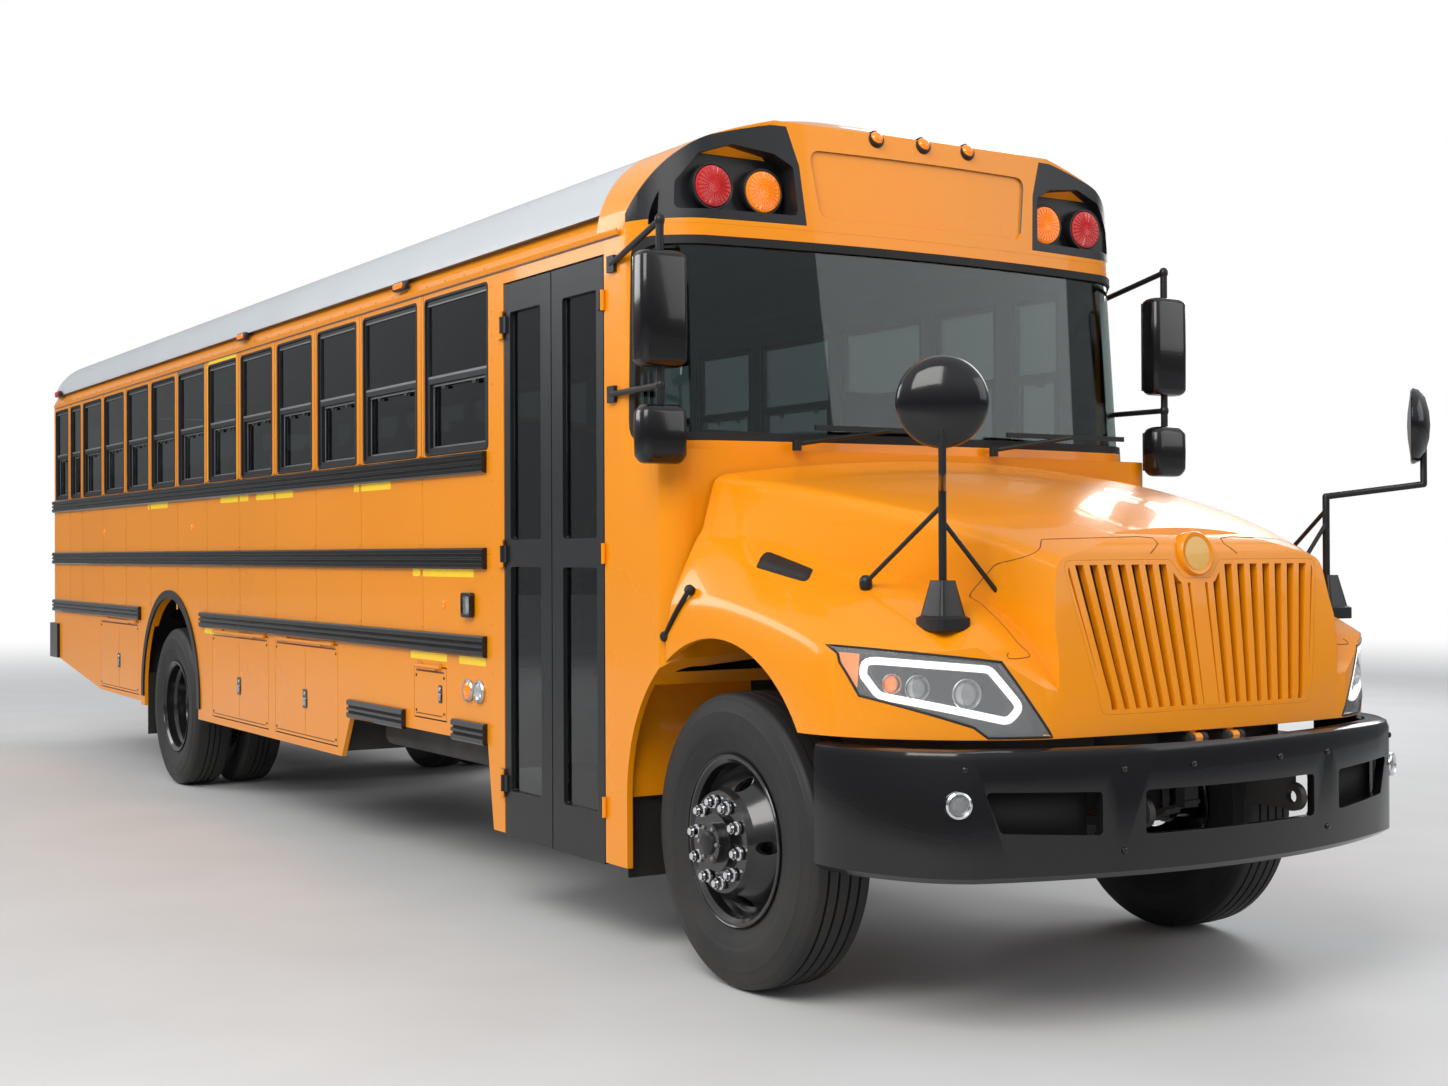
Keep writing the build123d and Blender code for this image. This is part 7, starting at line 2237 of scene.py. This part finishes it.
@dataclass
class StopSign:
    """Blank red octagon with its white border and two lamps."""

    hinge: tuple[float, float] = (2.330, 1.735)
    apothem: float = 0.225
    face_x: float = HALF + 0.036
    reach: float = 0.290

    def octagon(self, apothem: float) -> Points:
        """Corners of the octagon, as distance and height."""
        angles = (math.pi / 8 + math.pi * n / 4 for n in range(8))
        return on_circle(self.hinge[0] + self.reach, self.hinge[1], apothem / math.cos(math.pi / 8), angles)

    def build(self) -> None:
        """Makes the border, on both faces, and the lamps."""
        x = self.face_x
        for name, x0, x1 in (("outer", x + 0.0004, x + 0.0016), ("inner", x - 0.0076, x - 0.0064)):
            build = bmesh.new()
            place = (Matrix.Translation((x0, FRONT_AXLE_Y, 0))
                     @ Matrix(((0, 0, 1), (1, 0, 0), (0, 1, 0))).to_4x4())
            add_frame(build, self.octagon(self.apothem - 0.002), self.octagon(self.apothem - 0.022),
                      place, x1 - x0)
            built(f"stop_sign_border_{name}", build, SIGN_WHITE, "stop_arm_body")
        places = [facing((x + 0.0002, back(self.hinge[0] + self.reach), self.hinge[1] + dz), (1, 0, 0))
                  for dz in (-0.150, 0.150)]
        lens = [(0.0, 0.020), (0.020, 0.018), (0.036, 0.011), (0.042, 0.004), (0.042, 0.0)]
        rim = [(0.040, 0.008), (0.048, 0.008), (0.052, 0.0), (0.040, 0.0)]
        turned("stop_sign_lamps", lens, places, RED_LENS, "stop_arm_body", 32)
        turned("stop_sign_lamp_rims", rim, places, BLACK_PLASTIC, "stop_arm_body", 32)


@dataclass
class CapLamps:
    """Amber clearance lamps on the brow of the front cap, and red ones over the rear door."""

    places: tuple[float, ...] = (-0.23, 0.0, 0.23)

    def build(self) -> None:
        """Makes the lamps."""
        skin = Skin("front_cap")
        hits = [skin.ahead(x, 3.178) for x in self.places]
        front = [facing(found[0], (0, -1, 0.5)) for found in hits if found is not None]
        rear = [facing((x, back(BODY_REAR) + 0.001, 3.045), (0, 1, 0)) for x in self.places]
        lens = [(0.0, 0.022), (0.012, 0.020), (0.024, 0.012), (0.029, 0.002), (0.029, -0.012)]
        rim = [(0.028, 0.006), (0.034, 0.005), (0.037, -0.004), (0.037, -0.014)]
        for name, places, finish in (("cap", front, AMBER_LENS), ("rear", rear, RED_LENS)):
            turned(f"{name}_clearance_lenses", lens, places, finish, "bus", 28)
            turned(f"{name}_clearance_rims", rim, places, BLACK_PLASTIC, "bus", 28)


class RearEnd:
    """Tail, turn and reversing lamps, reflectors, blank plate, door furniture and the rear lamp surrounds."""

    def surrounds(self) -> None:
        """Black plates round the rear warning lamps."""
        build = bmesh.new()
        for sign in (-1, 1):
            x0, x1 = sorted((sign * 0.600, sign * 1.082))
            outer = rounded(rectangle(x0, x1, 2.846, 3.034), 0.06, 6)
            place = (Matrix.Translation((0, back(BODY_REAR) + 0.009, 0))
                     @ Matrix.Rotation(math.radians(90), 4, "X"))
            add_prism(build, outer, place, 0.0085)
        built("rear_lamp_surrounds", build, BLACK_PLASTIC, "bus", bevel=0.003)

    def both(self, x: float, z: float) -> list[Matrix]:
        """Frames on the rear wall, at the right and at the left."""
        return [facing((sign * x, back(BODY_REAR) + 0.0005, z), (0, 1, 0)) for sign in (-1, 1)]

    def lamps(self) -> None:
        """Round lamps on the rear wall."""
        lens = [(0.0, 0.026), (0.03, 0.025), (0.062, 0.020), (0.080, 0.012), (0.084, 0.0)]
        rim = [(0.082, 0.010), (0.090, 0.010), (0.097, 0.004), (0.098, 0.0), (0.082, 0.0)]
        rows = (("tail", 1.700, 0.80, RED_LENS, 1.0), ("brake", 1.700, 1.03, RED_LENS, 1.0),
                ("turn", 1.480, 1.03, AMBER_LENS, 1.0), ("reversing", 1.300, 1.03, CLEAR_LENS, 0.62))
        for name, z, x, finish, share in rows:
            turned(f"{name}_lamp_lenses", [(r * share, h) for r, h in lens], self.both(x, z),
                   finish, "bus", 40)
            turned(f"{name}_lamp_rims", [(r * share, h) for r, h in rim], self.both(x, z),
                   BLACK_PLASTIC, "bus", 40)
        # These reflectors are no lamps; the red lens finish's glow on them is a painted glint.
        disc = [(0.0, 0.008), (0.034, 0.008), (0.038, 0.005), (0.038, 0.0)]
        turned("rear_reflectors", disc, self.both(1.10, 1.130), RED_LENS, "bus", 28)

    def furniture(self) -> None:
        """Blank plate on its holder, door latch and handle, and window rubbers."""
        y = back(BODY_REAR)
        boxes("plate_holder", [((0.665, y + 0.0005, 1.170), (0.975, y + 0.010, 1.310))],
              BLACK_PLASTIC, "bus", 0.004)
        boxes("blank_plate", [((0.670, y + 0.010, 1.175), (0.970, y + 0.0125, 1.305))],
              SIGN_WHITE, "bus", 0.001)
        latch = ((-0.400, y - 0.004, 1.900), (-0.300, y + 0.008, 1.990))
        boxes("rear_door_latch", [latch], BLACK_SATIN, "rear_door_body", 0.004)
        handle = [(-0.350, y + 0.006, 1.950), (-0.350, y + 0.030, 1.950), (-0.250, y + 0.034, 1.945),
                  (-0.220, y + 0.034, 1.940)]
        bar("rear_door_handle", handle, 0.009, BRIGHT_ALLOY, "rear_door_body", smooth=True)
        panes = ((-1.080, -0.560, 1.980, 2.620, "bus"), (0.560, 1.080, 1.980, 2.620, "bus"),
                 (-0.330, 0.330, 1.960, 2.600, "rear_door_body"),
                 (-0.330, 0.330, 1.250, 1.800, "rear_door_body"))
        for n, (*pane, body) in enumerate(panes):
            line = rounded(rectangle(*pane), 0.06)
            bar(f"rear_window_rubber_{n}", [(x, y + 0.001, z) for x, z in line], 0.011, RUBBER, body,
                closed=True)

    def build(self) -> None:
        """Makes the rear end's fittings."""
        self.surrounds()
        self.lamps()
        self.furniture()


# Studio


@dataclass
class Studio:
    """Floor, world, lamps and the camera at the photograph's angle."""

    camera_place: Point = (-4.609, -10.200, 1.540)
    yaw: float = 0.5556
    pitch: float = 0.0054
    roll: float = -0.0042
    focal_share: float = 1852.34 / 1448
    floor_radius: float = 60.0

    def camera(self) -> None:
        """Sets up the camera as fitted to the photograph."""
        lens = bpy.data.cameras.new("photo_camera")
        lens.sensor_width = 36.0
        lens.lens = self.focal_share * lens.sensor_width
        lens.clip_end = 400
        ahead = Vector((math.sin(self.yaw) * math.cos(self.pitch), math.cos(self.yaw) * math.cos(self.pitch),
                        math.sin(self.pitch)))
        right = Vector((math.cos(self.yaw), -math.sin(self.yaw), 0))
        up = right.cross(ahead)
        level = math.cos(self.roll) * right + math.sin(self.roll) * up
        tall = -math.sin(self.roll) * right + math.cos(self.roll) * up
        turn = Matrix((level, tall, -ahead)).transposed()
        camera = bpy.data.objects.new("photo_camera", lens)
        COLLECTION.objects.link(camera)
        camera.matrix_world = Matrix.Translation(self.camera_place) @ turn.to_4x4()
        bpy.context.scene.camera = camera

    def floor(self) -> None:
        """Pale round floor that runs into the white background."""
        build = bmesh.new()
        bmesh.ops.create_circle(build, cap_ends=True, segments=96, radius=self.floor_radius)
        mesh = bpy.data.meshes.new("studio_floor")
        build.to_mesh(mesh)
        build.free()
        mesh.transform(Matrix.Translation((0, 0, CAD_BOX[0][2] - 0.002)))
        made = bpy.data.materials.new("pale_floor")
        graph = cleared(made)
        grey = graph.spread(graph.noise(1.4, 5.0), 0.3, 0.7, 0.60, 0.64)
        tone = graph.add("ShaderNodeCombineColor", {0: grey, 1: grey, 2: grey}).outputs[0]
        matt = graph.add("ShaderNodeBsdfPrincipled",
                         {"Base Color": tone, "Roughness": 0.6, "Specular IOR Level": 0.25})
        bright = graph.add("ShaderNodeEmission", {"Color": (1, 1, 1, 1), "Strength": 1.0})
        apart = graph.add("ShaderNodeVectorMath", {0: graph.place()}, operation="LENGTH").outputs["Value"]
        seen = graph.add("ShaderNodeLightPath").outputs["Is Camera Ray"]
        fade = graph.math("MULTIPLY", graph.spread(apart, 9.0, 26.0, smooth=True), seen)
        blend = graph.add("ShaderNodeMixShader", {0: fade, 1: matt.outputs[0], 2: bright.outputs[0]})
        graph.add("ShaderNodeOutputMaterial", {"Surface": blend.outputs[0]})
        mesh.materials.append(made)
        floor = bpy.data.objects.new("studio_floor", mesh)
        COLLECTION.objects.link(floor)

    def world(self) -> None:
        """White to the eye and in reflections, soft grey as light."""
        world = bpy.data.worlds.new("studio_world")
        bpy.context.scene.world = world
        graph = cleared(world)
        path = graph.add("ShaderNodeLightPath").outputs
        shown = graph.math("MAXIMUM", path["Is Camera Ray"], path["Is Transmission Ray"])
        up = graph.add("ShaderNodeSeparateXYZ",
                       {0: graph.add("ShaderNodeTexCoord").outputs["Generated"]}).outputs[2]
        mirrored = graph.spread(up, 0.0, 0.6, 0.18, 0.85, smooth=True)
        soft = graph.add("ShaderNodeBackground",
                         {"Color": (0.93, 0.965, 1.0, 1), "Strength": 0.50}).outputs[0]
        gloss = graph.add("ShaderNodeBackground",
                          {"Color": (0.95, 0.975, 1.0, 1), "Strength": mirrored}).outputs[0]
        white = graph.add("ShaderNodeBackground", {"Color": (1, 1, 1, 1), "Strength": 1.0}).outputs[0]
        first = graph.add("ShaderNodeMixShader", {0: path["Is Glossy Ray"], 1: soft, 2: gloss}).outputs[0]
        last = graph.add("ShaderNodeMixShader", {0: shown, 1: first, 2: white}).outputs[0]
        graph.add("ShaderNodeOutputWorld", {"Surface": last})

    def lamp(self, name: str, place: Point, target: Point, size: tuple[float, float], power: float,
             colour: Colour = (1.0, 1.0, 1.0)) -> None:
        """Soft area lamp aimed at a place."""
        light = bpy.data.lights.new(name, "AREA")
        light.shape = "RECTANGLE"
        light.size, light.size_y = size
        light.energy = power
        light.color = colour
        holder = bpy.data.objects.new(name, light)
        COLLECTION.objects.link(holder)
        holder.matrix_world = facing(place, Vector(place) - Vector(target))

    def build(self) -> None:
        """Makes the whole studio."""
        settings = bpy.context.scene.view_settings
        settings.view_transform = "Standard"
        self.camera()
        self.floor()
        self.world()
        self.lamp("key_softbox", (-9.0, -9.0, 9.5), (0.0, -1.0, 1.2), (9.0, 7.0), 1380, (1.0, 0.985, 0.96))
        self.lamp("front_fill", (7.0, -12.0, 6.0), (0.0, -4.0, 1.3), (7.0, 6.0), 210)
        self.lamp("rear_fill", (-10.0, 9.0, 7.5), (0.0, 3.0, 1.5), (8.0, 5.0), 620)
        self.lamp("left_fill", (11.0, 4.0, 7.0), (0.0, 1.0, 1.5), (9.0, 5.0), 620)


# Whole bus

ASSEMBLIES = (
    BodyFront(), RoofShell(), HoodShell(), BumperShell(), Mirrors(), Arches(), Cabin(), StopSign(),
    CapLamps(), RearEnd(), Tyres(), WheelHardware(), WarningLamps(), Headlamps(), HoodFittings(),
    BumperFittings(), SideWindows(), SideBody(), Compartments(), Studio(),
)

NODE_FINISH: dict[str, Finish] = {node: finish for finish, nodes in (
    (YELLOW_PANEL, "side_wall_left side_wall_right"),
    (YELLOW_FRONT, "front_cap rear_wall cowl rear_door"),
    (YELLOW_PAINT, "hood grille luggage_door_front luggage_door_middle luggage_door_rear fuel_door"),
    (WHITE_ROOF, "roof roof_hatch_front roof_hatch_rear"),
    (BLACK_GLOSS, "rub_rails front_bumper rear_bumper"),
    (BLACK_SATIN, "window_frames entry_leaf_front entry_leaf_rear fender_mirrors stop_arm_bracket wipers"),
    (BLACK_PLASTIC, "warning_lamps headlamps side_mirrors"),
    (TINTED_GLASS, "window_glass rear_door_glass entry_glass_front entry_glass_rear"),
    (SHIELD_GLASS, "windshield"),
    (FLOOR_RUBBER, "floor"),
    (STEP_BLACK, "step_well"),
    (CHASSIS_BLACK, "floor_wells chassis_frame crossmembers leaf_springs front_axle rear_axle tie_rod "
                    "fuel_tank"),
    (IRON, "knuckle_left knuckle_right engine"),
    (TYRE_RUBBER, "tyre_front_left tyre_front_right tyres_rear_left tyres_rear_right"),
    (WHEEL_BLACK, "wheel_front_left wheel_front_right wheels_rear_left wheels_rear_right"),
    (STEEL, "exhaust"),
    (SEAT_VINYL, "seats"),
    (DASH_PLASTIC, "dashboard"),
    (SIGN_RED, "stop_arm"),
) for node in nodes.split()}


def dress_nodes() -> None:
    """Gives every CAD node its finish."""
    for node, thing in frame["nodes"].items():
        for slot in thing.material_slots:
            slot.material = NODE_FINISH[node].material()


def main() -> None:
    """Builds the scene, sub-assembly by sub-assembly."""
    logging.basicConfig(level=logging.INFO, format="%(message)s")
    dress_nodes()
    for assembly in ASSEMBLIES:
        log.info("building %s", type(assembly).__name__)
        assembly.build()


if __name__ == "__main__":
    main()
